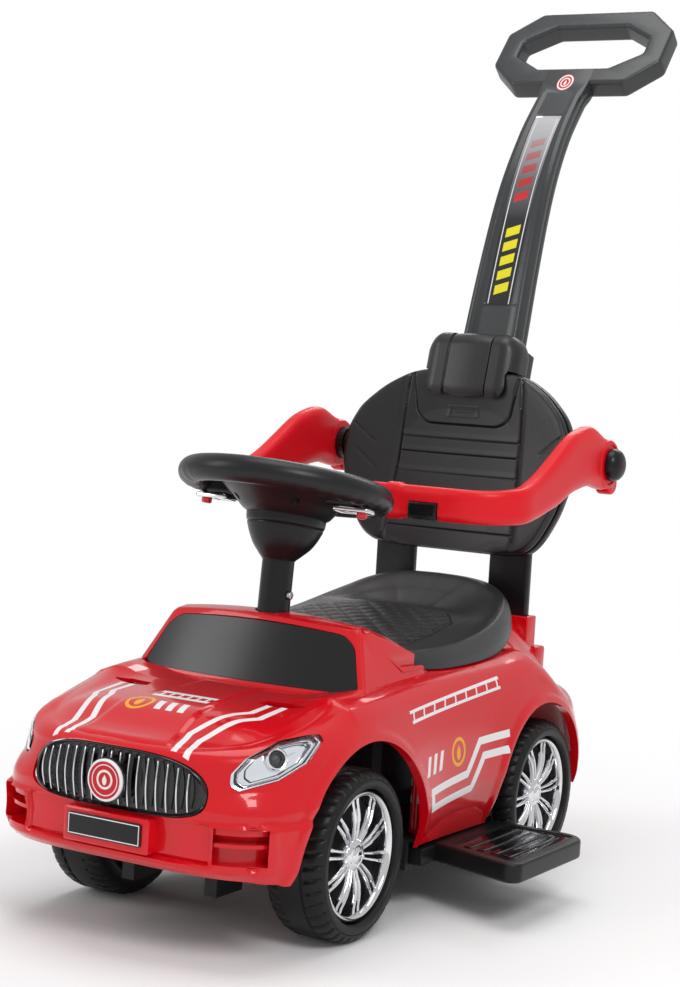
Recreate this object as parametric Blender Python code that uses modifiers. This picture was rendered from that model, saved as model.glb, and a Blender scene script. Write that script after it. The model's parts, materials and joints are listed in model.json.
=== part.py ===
"""Ride-on push car for a toddler: body shell, steering, wheels, seat, guard, backrest and push handle.

Metres, +Z up, front towards -Y, +X is the car's left. Pieces are placed from the middle of the
wheelbase on the ground; TRUCK_SHIFT then moves the whole car so that its box is centred on the origin.
"""

import math

import bmesh
import bpy
from mathutils import Matrix, Vector

TRUCK_SHIFT = -0.083
GAP = 0.0003

WHEEL_RADIUS = 0.075
WHEEL_WIDTH = 0.056
WHEEL_OUTER_X = 0.1444
HALF_WHEELBASE = 0.179
AXLE_RADIUS = 0.004
AXLE_END_X = 0.1345
KINGPIN_X = 0.072
KNUCKLE_ARM = 0.034

SHELL_WALL = 0.0032
NOSE_CENTRE_Y = -0.200
TAIL_CENTRE_Y = 0.160
NOSE_POWER = ((0.063, 4.4), (0.115, 4.4), (0.150, 3.0), (0.175, 2.7), (0.200, 3.1))
TAIL_POWER = 4.0
SPINE_FRONT_Y = -0.335
SPINE_REAR_Y = 0.262
SIDE_WAIST = 0.003
HALF_WIDTH = ((0.063, 0.1395), (0.075, 0.143), (0.09, 0.1465), (0.12, 0.1475), (0.15, 0.146),
              (0.18, 0.142), (0.20, 0.137), (0.22, 0.131), (0.245, 0.120))
NOSE_Y = ((0.063, -0.325), (0.076, -0.338), (0.084, -0.348), (0.10, -0.346), (0.125, -0.350),
          (0.175, -0.352))
TAIL_Y = ((0.063, 0.296), (0.080, 0.308), (0.106, 0.312), (0.134, 0.305), (0.165, 0.285), (0.19, 0.262))
SILL_Z = ((-0.355, 0.076), (-0.29, 0.073), (-0.20, 0.064), (0.10, 0.063), (0.22, 0.070), (0.31, 0.085))
SHOULDER_Z = ((-0.355, 0.177), (-0.33, 0.182), (-0.30, 0.189), (-0.25, 0.200), (-0.20, 0.209),
              (-0.15, 0.214), (-0.06, 0.217), (0.10, 0.219), (0.15, 0.221), (0.19, 0.212), (0.22, 0.192),
              (0.25, 0.178), (0.31, 0.178))
SHOULDER_ROUND = ((0.0, 0.008), (0.5, 0.018), (1.0, 0.030), (2.0, 0.030), (2.5, 0.022), (3.0, 0.014))
SPINE_Z = ((-0.335, 0.181), (-0.282, 0.199), (-0.20, 0.204), (-0.146, 0.206), (-0.06, 0.217),
           (0.10, 0.224), (0.16, 0.240), (0.20, 0.262), (0.235, 0.248), (0.255, 0.222), (0.262, 0.208))
SCREW_BOSSES = ((0.030, -0.285, 0.0963, 0.1961), (0.118, -0.040, 0.0688, 0.213),
                (0.118, 0.048, 0.0688, 0.214), (0.060, 0.242, 0.0963, 0.200))
INTAKE_Z = 0.0925
INTAKE_PITCH = 0.0145
INTAKE_SLOT = 0.0105
FRONT_ARCH = (-0.183, 0.066, 0.110)
REAR_ARCH = (0.163, 0.075, 0.0955)

COWL_STATIONS = ((-0.158, 0.126, 0.123, 0.205), (-0.129, 0.125, 0.102, 0.2605),
                 (-0.118, 0.124, 0.102, 0.2625), (-0.088, 0.123, 0.106, 0.253),
                 (-0.040, 0.122, 0.113, 0.233), (-0.035, 0.122, 0.114, 0.223),
                 (-0.018, 0.122, 0.116, 0.216))
COWL_FOOT_Z = 0.200
SCREEN_BOTTOM = (-0.1560, 0.2090)
SCREEN_TOP = (-0.1333, 0.2552)
SCREEN_HALF_BOTTOM = 0.115
SCREEN_HALF_TOP = 0.096
SCREEN_THICK = 0.0020
SCREEN_SUNK = 0.0007
SCREEN_ROOM = 0.0004
SCREEN_BULGE = 0.0120
SCREEN_CROWN = 0.0060
SCREEN_ROWS = (0.0, 0.04, 0.12, 0.5, 0.77, 0.88, 0.96, 1.0)
SCREEN_ACROSS = (-1.0, -0.75, -0.4, 0.0, 0.4, 0.75, 1.0)
SCREEN_ROUND = (0.006, 0.014)

GRILLE_HALF = 0.088
GRILLE_SLATS = 17
SLAT_PITCH = 0.009
BADGE_Z = 0.146
BADGE_RADIUS = 0.0175
PLATE_HALF = 0.037
PLATE_Z = (0.096, 0.115)
BOSS_FRONT_Y = -0.3575

LAMP_CENTRE = (0.121, -0.286, 0.170)
LAMP_FACING = (0.80, -0.52, 0.30)
LAMP_RISE = 0.08
LAMP_OUTLINE = ((-0.0490, -0.0150), (-0.0430, -0.0207), (-0.0090, -0.0162), (0.0210, -0.0045),
                (0.0435, 0.0140), (0.0395, 0.0178), (0.0280, 0.0182), (-0.0014, 0.0154), (-0.0345, 0.0042),
                (-0.0470, -0.0060))

STEER_CENTRE = (0.0, -0.109, 0.380)
STEER_LEAN = math.radians(5.0)
WHEEL_TILT = math.radians(7.0)
STEER_RADIUS = 0.0995
STEER_TUBE = 0.0125
HUB_FOOT = (0.0090, -0.0265, 0.0368)
COLUMN_RADIUS = 0.0148
ROD_RADIUS = 0.004
ROD_FOOT_Z = 0.0735

SEAT_EDGE = ((0.0, -0.0795, 0.228), (0.075, -0.0785, 0.227), (0.098, -0.066, 0.2245),
             (0.107, -0.043, 0.2205), (0.1150, -0.018, 0.2180), (0.1200, 0.020, 0.2175),
             (0.1200, 0.080, 0.2190), (0.114, 0.130, 0.225), (0.102, 0.170, 0.238), (0.084, 0.197, 0.254),
             (0.052, 0.2125, 0.267), (0.0, 0.2165, 0.270))
SEAT_RIM = ((-0.08, 0.236), (0.0, 0.239), (0.05, 0.2425), (0.10, 0.250), (0.14, 0.262), (0.175, 0.275),
            (0.20, 0.2815), (0.217, 0.2835))
SEAT_PANEL = ((-0.08, 0.237), (0.0, 0.2415), (0.06, 0.247), (0.13, 0.252))
SEAT_HINGE = (-0.0865, 0.2335)
SEAT_WALL = 0.0035
HINGE_PIN_RADIUS = 0.0025

GUARD_PIVOT_Y = 0.2405
GUARD_PIVOT_Z = 0.408
GUARD_X = 0.158
GUARD_FRONT_Y = 0.017
GUARD_SPLIT_X = 0.038
GUARD_THICK = 0.0185
GUARD_RISE = ((0.017, 0.368), (0.05, 0.370), (0.080, 0.377), (0.120, 0.392), (0.165, 0.411),
              (0.198, 0.4165), (0.240, 0.408))
GUARD_HEIGHT = ((0.017, 0.032), (0.05, 0.034), (0.09, 0.041), (0.14, 0.055), (0.19, 0.060),
                (0.240, 0.052))
LATCH_BOX = ((0.064, 0.0062, 0.3530), (0.094, 0.0212, 0.3690))
SPACER_IN_X = 0.1400
PIVOT_PIN_RADIUS = 0.004
PIVOT_PIN_X = 0.118

BACK_LEAN = math.radians(7.9)
BACK_FOOT = (0.2205, 0.307)
BACK_HALF = 0.131
BACK_WRAP = 0.014
BACK_OUTLINE = ((0.0, 0.0), (0.060, 0.0), (0.088, 0.003), (0.101, 0.012), (0.112, 0.028), (0.124, 0.055),
                (0.131, 0.088), (0.130, 0.112), (0.121, 0.138), (0.102, 0.160), (0.080, 0.176),
                (0.052, 0.187), (0.0, 0.189))
BACK_DEEP = -0.0233
LEG_FOOT_Z = 0.1893
HEAD_CENTRE = (0, 0.2560, 0.4940)
HEAD_SIZE = (0.108, 0.050, 0.078)
HEAD_LEAN = math.radians(14)

HANDLE_THICK = 0.022
HANDLE_PATH = ((0.2500, 0.347, 0.0360), (0.2574, 0.400, 0.0360), (0.2642, 0.447, 0.0355),
               (0.2730, 0.490, 0.0350), (0.2850, 0.532, 0.0345), (0.3080, 0.610, 0.0325),
               (0.3370, 0.691, 0.0300), (0.3740, 0.757, 0.0275), (0.4170, 0.8085, 0.0265),
               (0.4320, 0.824, 0.0300))
HANDLE_BOLTS = (("lower", 0.375), ("upper", 0.430))
BOLT_RADIUS = 0.003
BOLT_REACH = 0.012
RING_CENTRE = (0, 0.4780, 0.8600)
RING_TILT = math.radians(50)

FOOTREST_OUT_X = 0.232
FOOTREST_IN_X = 0.0725
PAN_TOP = 0.0685
PLATE_TOP = 0.0960
KINGPIN_RADIUS = 0.003
ARM_Z = (0.0662, 0.0712)
TIE_Z = (0.0590, 0.0645)
SPOKES = 10
WHEEL_STEPS = 24
HUB_FACE = 0.009

SCENE_MATERIALS = {
    "red_gloss": ((0.72, 0.012, 0.018), 0.15, 0.0),
    "red_satin": ((0.78, 0.020, 0.022), 0.38, 0.0),
    "black_satin": ((0.018, 0.018, 0.019), 0.38, 0.0),
    "black_matte": ((0.024, 0.024, 0.025), 0.55, 0.0),
    "black_gloss": ((0.010, 0.010, 0.011), 0.12, 0.0),
    "grey_dark": ((0.035, 0.037, 0.040), 0.42, 0.0),
    "chrome": ((0.86, 0.86, 0.88), 0.08, 1.0),
    "steel": ((0.62, 0.62, 0.63), 0.30, 1.0),
    "clear": ((0.92, 0.93, 0.95), 0.04, 0.0),
    "white": ((0.85, 0.85, 0.85), 0.40, 0.0),
}


def clear_scene():
    for item in list(bpy.data.objects):
        bpy.data.objects.remove(item, do_unlink=True)


def make_collection(name, hidden=False):
    group = bpy.data.collections.new(name)
    group.hide_render = hidden
    bpy.context.scene.collection.children.link(group)
    return group


clear_scene()
TRUCK = make_collection("ride_on_truck")
CUTTERS = make_collection("cutters", hidden=True)


def make_empty(name, location=(0, 0, 0), rotation=(0, 0, 0), parent=None):
    empty = bpy.data.objects.new(name, None)
    empty.empty_display_size = 0.02
    empty.location = location
    empty.rotation_euler = rotation
    empty.parent = parent
    TRUCK.objects.link(empty)
    return empty


FRAME = make_empty("truck_frame", (0, TRUCK_SHIFT, 0))


def make_material(name, finish):
    colour, roughness, metallic = SCENE_MATERIALS[finish]
    material = bpy.data.materials.new(name)
    material.use_nodes = True
    shader = material.node_tree.nodes["Principled BSDF"]
    shader.inputs["Base Color"].default_value = (*colour, 1)
    shader.inputs["Roughness"].default_value = roughness
    shader.inputs["Metallic"].default_value = metallic
    material.diffuse_color = (*colour, 1)
    return material


def place(name, mesh, finish, location=(0, 0, 0), rotation=(0, 0, 0), parent=FRAME, smooth=30):
    """Put a mesh in the truck as one named piece with a material of its own."""
    obj = bpy.data.objects.new(name, mesh)
    TRUCK.objects.link(obj)
    obj.parent = parent
    obj.location = location
    obj.rotation_euler = rotation
    mesh.materials.clear()
    mesh.materials.append(make_material(name, finish))
    mesh.shade_smooth()
    mesh.set_sharp_from_angle(angle=math.radians(smooth))
    return obj


def helper(name, mesh, location=(0, 0, 0), rotation=(0, 0, 0), parent=FRAME):
    """A cutter or a shape to be joined: kept out of renders and drawn as wire."""
    obj = bpy.data.objects.new(name, mesh)
    CUTTERS.objects.link(obj)
    obj.parent = parent
    obj.location = location
    obj.rotation_euler = rotation
    obj.hide_render = True
    obj.display_type = "WIRE"
    return obj


def boolean(obj, other, operation, solver="EXACT"):
    modifier = obj.modifiers.new(f"{operation.lower()}_{other.name}", "BOOLEAN")
    modifier.object = other
    modifier.operation = operation
    modifier.solver = solver
    return obj


def cut(obj, *others, solver="EXACT"):
    for other in others:
        boolean(obj, other, "DIFFERENCE", solver)
    return obj


def join(obj, *others, solver="EXACT"):
    for other in others:
        boolean(obj, other, "UNION", solver)
    return obj


def bevel(obj, width, segments=2, angle=40):
    modifier = obj.modifiers.new("edges", "BEVEL")
    modifier.width = width
    modifier.segments = segments
    modifier.limit_method = "ANGLE"
    modifier.angle_limit = math.radians(angle)
    return obj


def finished_mesh(name, work):
    mesh = bpy.data.meshes.new(name)
    work.to_mesh(mesh)
    work.free()
    return mesh


def box_mesh(name, low, high):
    work = bmesh.new()
    bmesh.ops.create_cube(work, size=1)
    size = [high[i] - low[i] for i in range(3)]
    centre = [(high[i] + low[i]) / 2 for i in range(3)]
    bmesh.ops.scale(work, vec=size, verts=work.verts)
    bmesh.ops.translate(work, vec=centre, verts=work.verts)
    return finished_mesh(name, work)


def rod_mesh(name, start, end, radius, sides=20, end_radius=None):
    """A round bar, or a cone, between two points."""
    start, end = Vector(start), Vector(end)
    along = end - start
    turn = along.to_track_quat("Z", "Y").to_matrix().to_4x4()
    work = bmesh.new()
    bmesh.ops.create_cone(work, cap_ends=True, segments=sides, radius1=radius,
                          radius2=radius if end_radius is None else end_radius, depth=along.length,
                          matrix=Matrix.Translation((start + end) / 2) @ turn)
    return finished_mesh(name, work)


def loft_mesh(name, rings, strips=False):
    """Skin between rings with the same number of points; the ends are flat caps, or strips on curved slabs."""
    work = bmesh.new()
    rows = [[work.verts.new(point) for point in ring] for ring in rings]
    count = len(rows[0])
    for lower, upper in zip(rows, rows[1:]):
        for i in range(count):
            j = (i + 1) % count
            work.faces.new((lower[i], lower[j], upper[j], upper[i]))
    for row in (rows[0], rows[-1]):
        if strips:
            for i in range(count // 2 - 1):
                work.faces.new((row[i], row[i + 1], row[count - 2 - i], row[count - 1 - i]))
        else:
            work.faces.new(row)
    bmesh.ops.remove_doubles(work, verts=work.verts, dist=1e-6)
    bmesh.ops.recalc_face_normals(work, faces=work.faces)
    return finished_mesh(name, work)


def turned_mesh(name, profile, steps=32):
    """A closed (radius, height) profile spun about local Z with the Screw modifier, as a plain mesh."""
    work = bmesh.new()
    verts = [work.verts.new((radius, 0, height)) for radius, height in profile]
    for a, b in zip(verts, verts[1:] + verts[:1]):
        if max(a.co.x, b.co.x) > 1e-6:
            work.edges.new((a, b))
    guide = helper(name + "_profile", finished_mesh(name + "_profile", work))
    screw = guide.modifiers.new("turn", "SCREW")
    screw.steps = screw.render_steps = steps
    screw.merge_threshold = 0.00001
    screw.use_merge_vertices = True
    return evaluated_mesh(name, guide)


def evaluated_mesh(name, obj):
    """The shape of a helper with its modifiers, as a mesh with its faces outwards; the helper goes."""
    graph = bpy.context.evaluated_depsgraph_get()
    graph.update()
    mesh = bpy.data.meshes.new_from_object(obj.evaluated_get(graph))
    mesh.name = name
    bpy.data.objects.remove(obj, do_unlink=True)
    work = bmesh.new()
    work.from_mesh(mesh)
    bmesh.ops.remove_doubles(work, verts=work.verts, dist=1e-6)
    bmesh.ops.recalc_face_normals(work, faces=work.faces)
    work.to_mesh(mesh)
    work.free()
    return mesh


def plate_mesh(name, outline, thickness, bevel_depth=0.0, holes=()):
    """A flat outline as a filled curve, with holes, given its thickness and rounded edges."""
    curve = bpy.data.curves.new(name + "_outline", "CURVE")
    curve.dimensions = "2D"
    curve.fill_mode = "BOTH"
    curve.extrude = thickness / 2 - bevel_depth
    curve.bevel_depth = bevel_depth
    curve.bevel_resolution = 1
    curve.offset = -bevel_depth
    for ring in (outline, *holes):
        spline = curve.splines.new("POLY")
        spline.points.add(len(ring) - 1)
        for point, (x, y) in zip(spline.points, ring):
            point.co = (x, y, 0, 1)
        spline.use_cyclic_u = True
    guide = bpy.data.objects.new(name + "_outline", curve)
    CUTTERS.objects.link(guide)
    return evaluated_mesh(name, guide)


def mirrored_mesh(name, mesh):
    """The right-hand twin of a left-hand mesh."""
    work = bmesh.new()
    work.from_mesh(mesh)
    bmesh.ops.scale(work, vec=(-1, 1, 1), verts=work.verts)
    bmesh.ops.reverse_faces(work, faces=work.faces)
    return finished_mesh(name, work)


def rounded_outline(points, radius, steps=4):
    """Corners of a polygon rounded to arcs; radius is one number or one per corner."""
    count = len(points)
    radii = radius if isinstance(radius, (list, tuple)) else [radius] * count
    outline = []
    for i in range(count):
        before, here, after = (Vector(points[(i + k) % count]) for k in (-1, 0, 1))
        into, out = (before - here).normalized(), (after - here).normalized()
        half = into.angle(out) / 2
        if radii[i] <= 0:
            outline.append(tuple(here))
            continue
        reach = radii[i] / math.tan(half)
        centre = here + (into + out).normalized() * radii[i] / math.sin(half)
        first, last = here + into * reach - centre, here + out * reach - centre
        sweep = first.angle_signed(last)
        for k in range(steps + 1):
            turn = Matrix.Rotation(-sweep * k / steps, 2)
            outline.append(tuple(centre + turn @ first))
    return outline


def keyed(keys, at):
    """Smooth value at a position, through (position, value) keys, without overshoot."""
    if at <= keys[0][0]:
        return keys[0][1]
    if at >= keys[-1][0]:
        return keys[-1][1]
    k = max(i for i in range(len(keys) - 1) if keys[i][0] <= at)

    def slope(i):
        if i <= 0 or i >= len(keys) - 1:
            return 0.0 if len(keys) > 2 else (keys[1][1] - keys[0][1]) / (keys[1][0] - keys[0][0])
        left = (keys[i][1] - keys[i - 1][1]) / (keys[i][0] - keys[i - 1][0])
        right = (keys[i + 1][1] - keys[i][1]) / (keys[i + 1][0] - keys[i][0])
        return 0.0 if left * right <= 0 else 2 * left * right / (left + right)

    (x0, y0), (x1, y1) = keys[k], keys[k + 1]
    span = x1 - x0
    t = (at - x0) / span
    return (y0 * (1 + 2 * t) * (1 - t) ** 2 + slope(k) * span * t * (1 - t) ** 2
            + y1 * t * t * (3 - 2 * t) - slope(k + 1) * span * t * t * (1 - t))


def side_to_side(half):
    """A whole ring from its left half, which starts and ends on the centre plane."""
    return list(half) + [(-x, y, z) for x, y, z in reversed(half[1:-1])]


def plan_point(station, z, inset):
    """Plan position of the body's skin. station runs 0 nose, 1 and 2 the ends of the side, 3 tail."""
    half = keyed(HALF_WIDTH, z) - inset
    nose = NOSE_CENTRE_Y - keyed(NOSE_Y, z) - inset
    tail = keyed(TAIL_Y, z) - TAIL_CENTRE_Y - inset
    if station < 1:
        a = station * math.pi / 2
        power = 2 / keyed(NOSE_POWER, z)
        return half * math.sin(a) ** power, NOSE_CENTRE_Y - nose * math.cos(a) ** power
    if station > 2:
        a = (station - 2) * math.pi / 2
        return (half * max(0.0, math.cos(a)) ** (2 / TAIL_POWER),
                TAIL_CENTRE_Y + tail * math.sin(a) ** (2 / TAIL_POWER))
    along = station - 1
    y = NOSE_CENTRE_Y + (TAIL_CENTRE_Y - NOSE_CENTRE_Y) * along
    return half - SIDE_WAIST * math.sin(math.pi * along) ** 2, y


def body_rings(inset=0.0, foot=None, nose_steps=8, side_steps=7, tail_steps=6):
    """Rings of the body skin from the sill up, over the shoulder and in to the centre line of the top."""
    stations = [k / nose_steps for k in range(nose_steps)]
    stations += [1 + k / side_steps for k in range(side_steps)]
    stations += [2 + k / tail_steps for k in range(tail_steps + 1)]
    lift = (0.0, 0.13, 0.30, 0.65, 1.0)
    arc = [k * math.pi / 6 for k in range(1, 4)]
    inward = (0.25, 0.5, 0.75, 1.0)
    columns = []
    for s in stations:
        radius = max(keyed(SHOULDER_ROUND, s) - inset / 2, 0.003)
        _, y_here = plan_point(s, 0.12, 0)
        top = keyed(SHOULDER_Z, y_here) - inset
        low = keyed(SILL_Z, y_here) if foot is None else foot
        column = []
        for t in lift:
            z = low + (top - radius - low) * t
            column.append((*plan_point(s, z, inset), z))
        x_side, y_side = plan_point(s, top - radius, inset)
        x_in, y_in = plan_point(s, top - radius, inset + radius)
        for a in arc:
            f = 1 - math.cos(a)
            column.append((x_side + (x_in - x_side) * f, y_side + (y_in - y_side) * f,
                           top - radius + radius * math.sin(a)))
        y_spine = min(max(y_in, SPINE_FRONT_Y + inset), SPINE_REAR_Y - inset)
        z_spine = keyed(SPINE_Z, y_spine) - inset
        for t in inward:
            rise = 1 - (1 - t) ** 4
            column.append((x_in * (1 - t), y_in + (y_spine - y_in) * t, top + (z_spine - top) * rise))
        columns.append(column)
    return [side_to_side([column[level] for column in columns]) for level in range(len(columns[0]))]


def open_loft(work, rings):
    rows = [[work.verts.new(point) for point in ring] for ring in rings]
    count = len(rows[0])
    for lower, upper in zip(rows, rows[1:]):
        for i in range(count):
            j = (i + 1) % count
            work.faces.new((lower[i], lower[j], upper[j], upper[i]))
    return rows


def shell_mesh(name, outer, inner):
    """A hollow shell from an outer and an inner set of rings, joined round the open foot."""
    work = bmesh.new()
    out_rows = open_loft(work, outer)
    in_rows = open_loft(work, inner)
    count = len(outer[0])
    for i in range(count):
        j = (i + 1) % count
        work.faces.new((out_rows[0][i], out_rows[0][j], in_rows[0][j], in_rows[0][i]))
    bmesh.ops.remove_doubles(work, verts=work.verts, dist=1e-6)
    bmesh.ops.recalc_face_normals(work, faces=work.faces)
    return finished_mesh(name, work)


def body_solid(name, inset):
    """The body's outside as a closed block down to the sill, for lamps that follow the skin."""
    return helper(name, loft_mesh(name, body_rings(inset, foot=0.07)))


def screen_bulge(x):
    """How far the windscreen stands forward of its ends."""
    return SCREEN_BULGE * max(0.0, 1 - (x / SCREEN_HALF_BOTTOM) ** 2)


def screen_crown(x):
    """How far the windscreen's upper edge rises above its ends."""
    return SCREEN_CROWN * max(0.0, 1 - (x / SCREEN_HALF_TOP) ** 2)


def cowl_mesh(name, inset, foot, setback=0.0):
    """The windscreen frame and the dash with its arms beside the seat, as rings along the car."""
    rings = []
    for k, (y, half_low, half_top, top) in enumerate(COWL_STATIONS):
        low, high, top = half_low - inset, half_top - inset, top - inset
        rise = max(top - COWL_FOOT_Z, 0.001)
        shoulder, edge = (low + high) / 2, top - min(0.004, 0.4 * rise)
        middle = COWL_FOOT_Z + (edge - COWL_FOOT_Z) / 2
        flat = high - 0.006
        half = [(low, foot), (low, COWL_FOOT_Z), (shoulder, middle), (high, edge)]
        half += [(flat * part, top) for part in (1.0, 0.75, 0.4)]
        ring = half + [(0.0, top)] + [(-x, z) for x, z in reversed(half)]
        forward = (1.0, 1.0, 0.0, 0.0, 0.0, 0.0, 0.0)[k]
        lift = (0.0, 1.0, 1.0, 0.6, 0.0, 0.0, 0.0)[k]
        rings.append([(x, y + (setback if k < 2 else 0.0) - forward * screen_bulge(x),
                       z + (lift * screen_crown(x) if z == top else 0.0)) for x, z in ring])
    return loft_mesh(name, rings)


def grille_half_height(x):
    """Upper and lower edge of the grille opening at a distance from the centre."""
    t = min(abs(x) / GRILLE_HALF, 1.0)
    top = 0.1395 + 0.0335 * (1 - t ** 3.4) ** (1 / 2.2)
    low = 0.1395 - 0.0175 * (1 - t ** 5.0) ** (1 / 2.2)
    return low, top


def nose_face_y(x, z):
    """Skin position on the nose at a distance from the centre."""
    half = keyed(HALF_WIDTH, z)
    nose = NOSE_CENTRE_Y - keyed(NOSE_Y, z)
    power = keyed(NOSE_POWER, z)
    return NOSE_CENTRE_Y - nose * (1 - (abs(x) / half) ** power) ** (1 / power)


def grille_block(name, margin, front, depth, steps=14):
    """A slab that follows the nose inside the grille outline: from front before the skin, depth thick."""
    rings = []
    for k in range(steps + 1):
        x = GRILLE_HALF * math.sin(math.pi * (k / steps - 0.5))
        low, top = grille_half_height(x * 0.9995)
        low, top = low - margin, top + margin
        x *= 1 + margin / GRILLE_HALF
        y = nose_face_y(x, 0.15) - front
        rings.append([(x, y, low), (x, y + depth, low), (x, y + depth, top), (x, y, top)])
    return loft_mesh(name, rings)


def paired_box(name, low, high, side):
    """A box on one side of the centre plane, from its left-hand corners."""
    x0, x1 = sorted((side * low[0], side * high[0]))
    return box_mesh(name, (x0, low[1], low[2]), (x1, high[1], high[2]))


def intake_piece(side, half, low, high, inset, operation):
    """A box at a front corner, kept to what lies inside or outside of the skin at some depth."""
    location, rotation = (side * 0.112, -0.326, 0), (0, 0, side * math.radians(36))
    mesh = box_mesh("intake", (-half, -0.02, low), (half, 0.02, high))
    piece = helper("intake", mesh, location, rotation)
    boolean(piece, body_solid("intake_depth", inset), operation, "MANIFOLD")
    return helper("intake", evaluated_mesh("intake", piece), location, rotation)


def body_additions():
    """What is moulded on the skin: screen frame, dash, post sockets, tail blocks, plate and screw bosses."""
    added = [helper("cowl_outside", cowl_mesh("cowl_outside", 0.0, 0.188))]
    added.append(helper("plate_boss", box_mesh("plate_boss", (-0.043, BOSS_FRONT_Y, 0.090),
                                               (0.043, -0.340, 0.119))))
    for side in (-1, 1):
        added.append(helper("lip_lug", paired_box("lip_lug", (0.052, -0.3372, 0.0775),
                                                  (0.068, -0.3200, 0.085), side)))
        added.append(helper("post_socket", paired_box("post_socket", (0.039, 0.2190, 0.185),
                                                      (0.096, 0.2400, 0.246), side)))
        added.append(helper("tail_block", paired_box("tail_block", (0.066, 0.2350, 0.165),
                                                     (0.101, 0.2560, 0.214), side)))
        added.append(intake_piece(side, 0.0225, INTAKE_Z - 0.002, INTAKE_Z + 2 * INTAKE_PITCH - 0.002,
                                  0.0014, "INTERSECT"))
        for x, y, foot, top in SCREW_BOSSES:
            boss = rod_mesh("screw_boss", (side * x, y, foot), (side * x, y, top), 0.006, 10)
            added.append(helper("screw_boss", boss))
    return added


def body_openings():
    """What is open in the skin: arches, seat well, post pockets, column, grille, screen, intakes, vents."""
    opened = [helper("cowl_inside", cowl_mesh("cowl_inside", 0.0036, 0.180, 0.0055))]
    for (y, z, radius), name in ((FRONT_ARCH, "front_arch"), (REAR_ARCH, "rear_arch")):
        opened.append(helper(name, rod_mesh(name, (-0.2, y, z), (0.2, y, z), radius, 36)))
        opened.append(helper(name + "_skirt", box_mesh(name + "_skirt", (-0.2, y - radius, 0.03),
                                                       (0.2, y + radius, z))))
    opened.append(helper("seat_well", plate_mesh("seat_well", tub_outline(0.001), 0.12), (0, 0, 0.255)))
    opened.append(helper("seat_front", box_mesh("seat_front", (-0.1005, -0.0895, 0.219),
                                                (0.1005, -0.02, 0.30))))
    opened.append(helper("seat_bed", seat_bed_mesh()))
    opened.append(helper("column_hole", rod_mesh("column_hole", column_point(-0.20), column_point(-0.09),
                                                 COLUMN_RADIUS + 0.002, 24)))
    opened.append(helper("grille_opening", grille_block("grille_opening", 0.0006, 0.02, 0.05)))
    opened.append(helper("screen_recess", screen_block("screen_recess", 0.0005,
                                                       -SCREEN_SUNK - SCREEN_THICK - SCREEN_ROOM, 0.008)))
    for side in (-1, 1):
        opened.append(helper("post_pocket", paired_box("post_pocket", (0.0440, 0.2240, 0.189),
                                                       (0.0910, 0.2350, 0.32), side)))
        for row in range(2):
            z = INTAKE_Z + row * INTAKE_PITCH
            opened.append(intake_piece(side, 0.021, z, z + INTAKE_SLOT, 0.0075, "DIFFERENCE"))
        vent = box_mesh("bonnet_vent", (-0.021, -0.0050, -0.02), (0.021, 0.0050, 0.02))
        opened.append(helper("bonnet_vent", vent, (side * 0.0800, -0.2205, 0.20),
                             (0, 0, side * math.radians(8))))
        lip = rod_mesh("lip_bore", (side * 0.060, -0.3262, 0.070), (side * 0.060, -0.3262, 0.0835),
                       0.0018 + GAP, 10)
        opened.append(helper("lip_bore", lip))
    return opened


def tub_outline(margin=0.0):
    """Plan of the storage tub, or of the hole that it hangs in."""
    x, front, rear = 0.0795 + margin, -0.0465 - margin, 0.1865 + margin
    return rounded_outline([(-x, front), (x, front), (x, rear), (-x, rear)], 0.018 + margin, 3)


def build_body():
    """The red shell. The exact solver loses this skin at its second union; the manifold one keeps it."""
    shell = place("body_shell", shell_mesh("body_shell", body_rings(), body_rings(SHELL_WALL)), "red_gloss")
    join(shell, *body_additions(), solver="MANIFOLD")
    cut(shell, *body_openings(), solver="MANIFOLD")
    y, z = SEAT_HINGE
    for side in (-1, 1):
        profile = ((-0.099, z - 0.0045), (y + 0.0045, z - 0.0045), (y + 0.0045, z + 0.0045),
                   (-0.0895, z + 0.0045), (-0.0895, 0.2560), (-0.099, 0.2560))
        lug = loft_mesh("hinge_lug", [[(side * x, *point) for point in profile] for x in (0.0265, 0.0350)])
        join(shell, helper("hinge_lug", lug), solver="MANIFOLD")
    bore = rod_mesh("hinge_bore", (-0.04, y, z), (0.04, y, z), HINGE_PIN_RADIUS + GAP, 14)
    cut(shell, helper("hinge_bore", bore), solver="MANIFOLD")
    return shell


def column_point(along):
    """A point on the steering axis, at a distance above the middle of the steering wheel."""
    return (0.0, STEER_CENTRE[1] + along * math.sin(STEER_LEAN),
            STEER_CENTRE[2] + along * math.cos(STEER_LEAN))


def screen_slope():
    return math.atan2(SCREEN_TOP[1] - SCREEN_BOTTOM[1], SCREEN_TOP[0] - SCREEN_BOTTOM[0])


def screen_skin(x, rise, out):
    """A point of the windscreen: across, as a share of its height, and out of its face."""
    slope = screen_slope()
    y = SCREEN_BOTTOM[0] + (SCREEN_TOP[0] - SCREEN_BOTTOM[0]) * rise - screen_bulge(x)
    z = SCREEN_BOTTOM[1] + (SCREEN_TOP[1] - SCREEN_BOTTOM[1]) * rise
    return (x, y - out * math.sin(slope), z + out * math.cos(slope))


def corner_loss(distance, radius):
    """How much a rounded corner takes from the width, at a distance from the end."""
    return radius - math.sqrt(max(radius ** 2 - max(radius - distance, 0.0) ** 2, 0.0))


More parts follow.
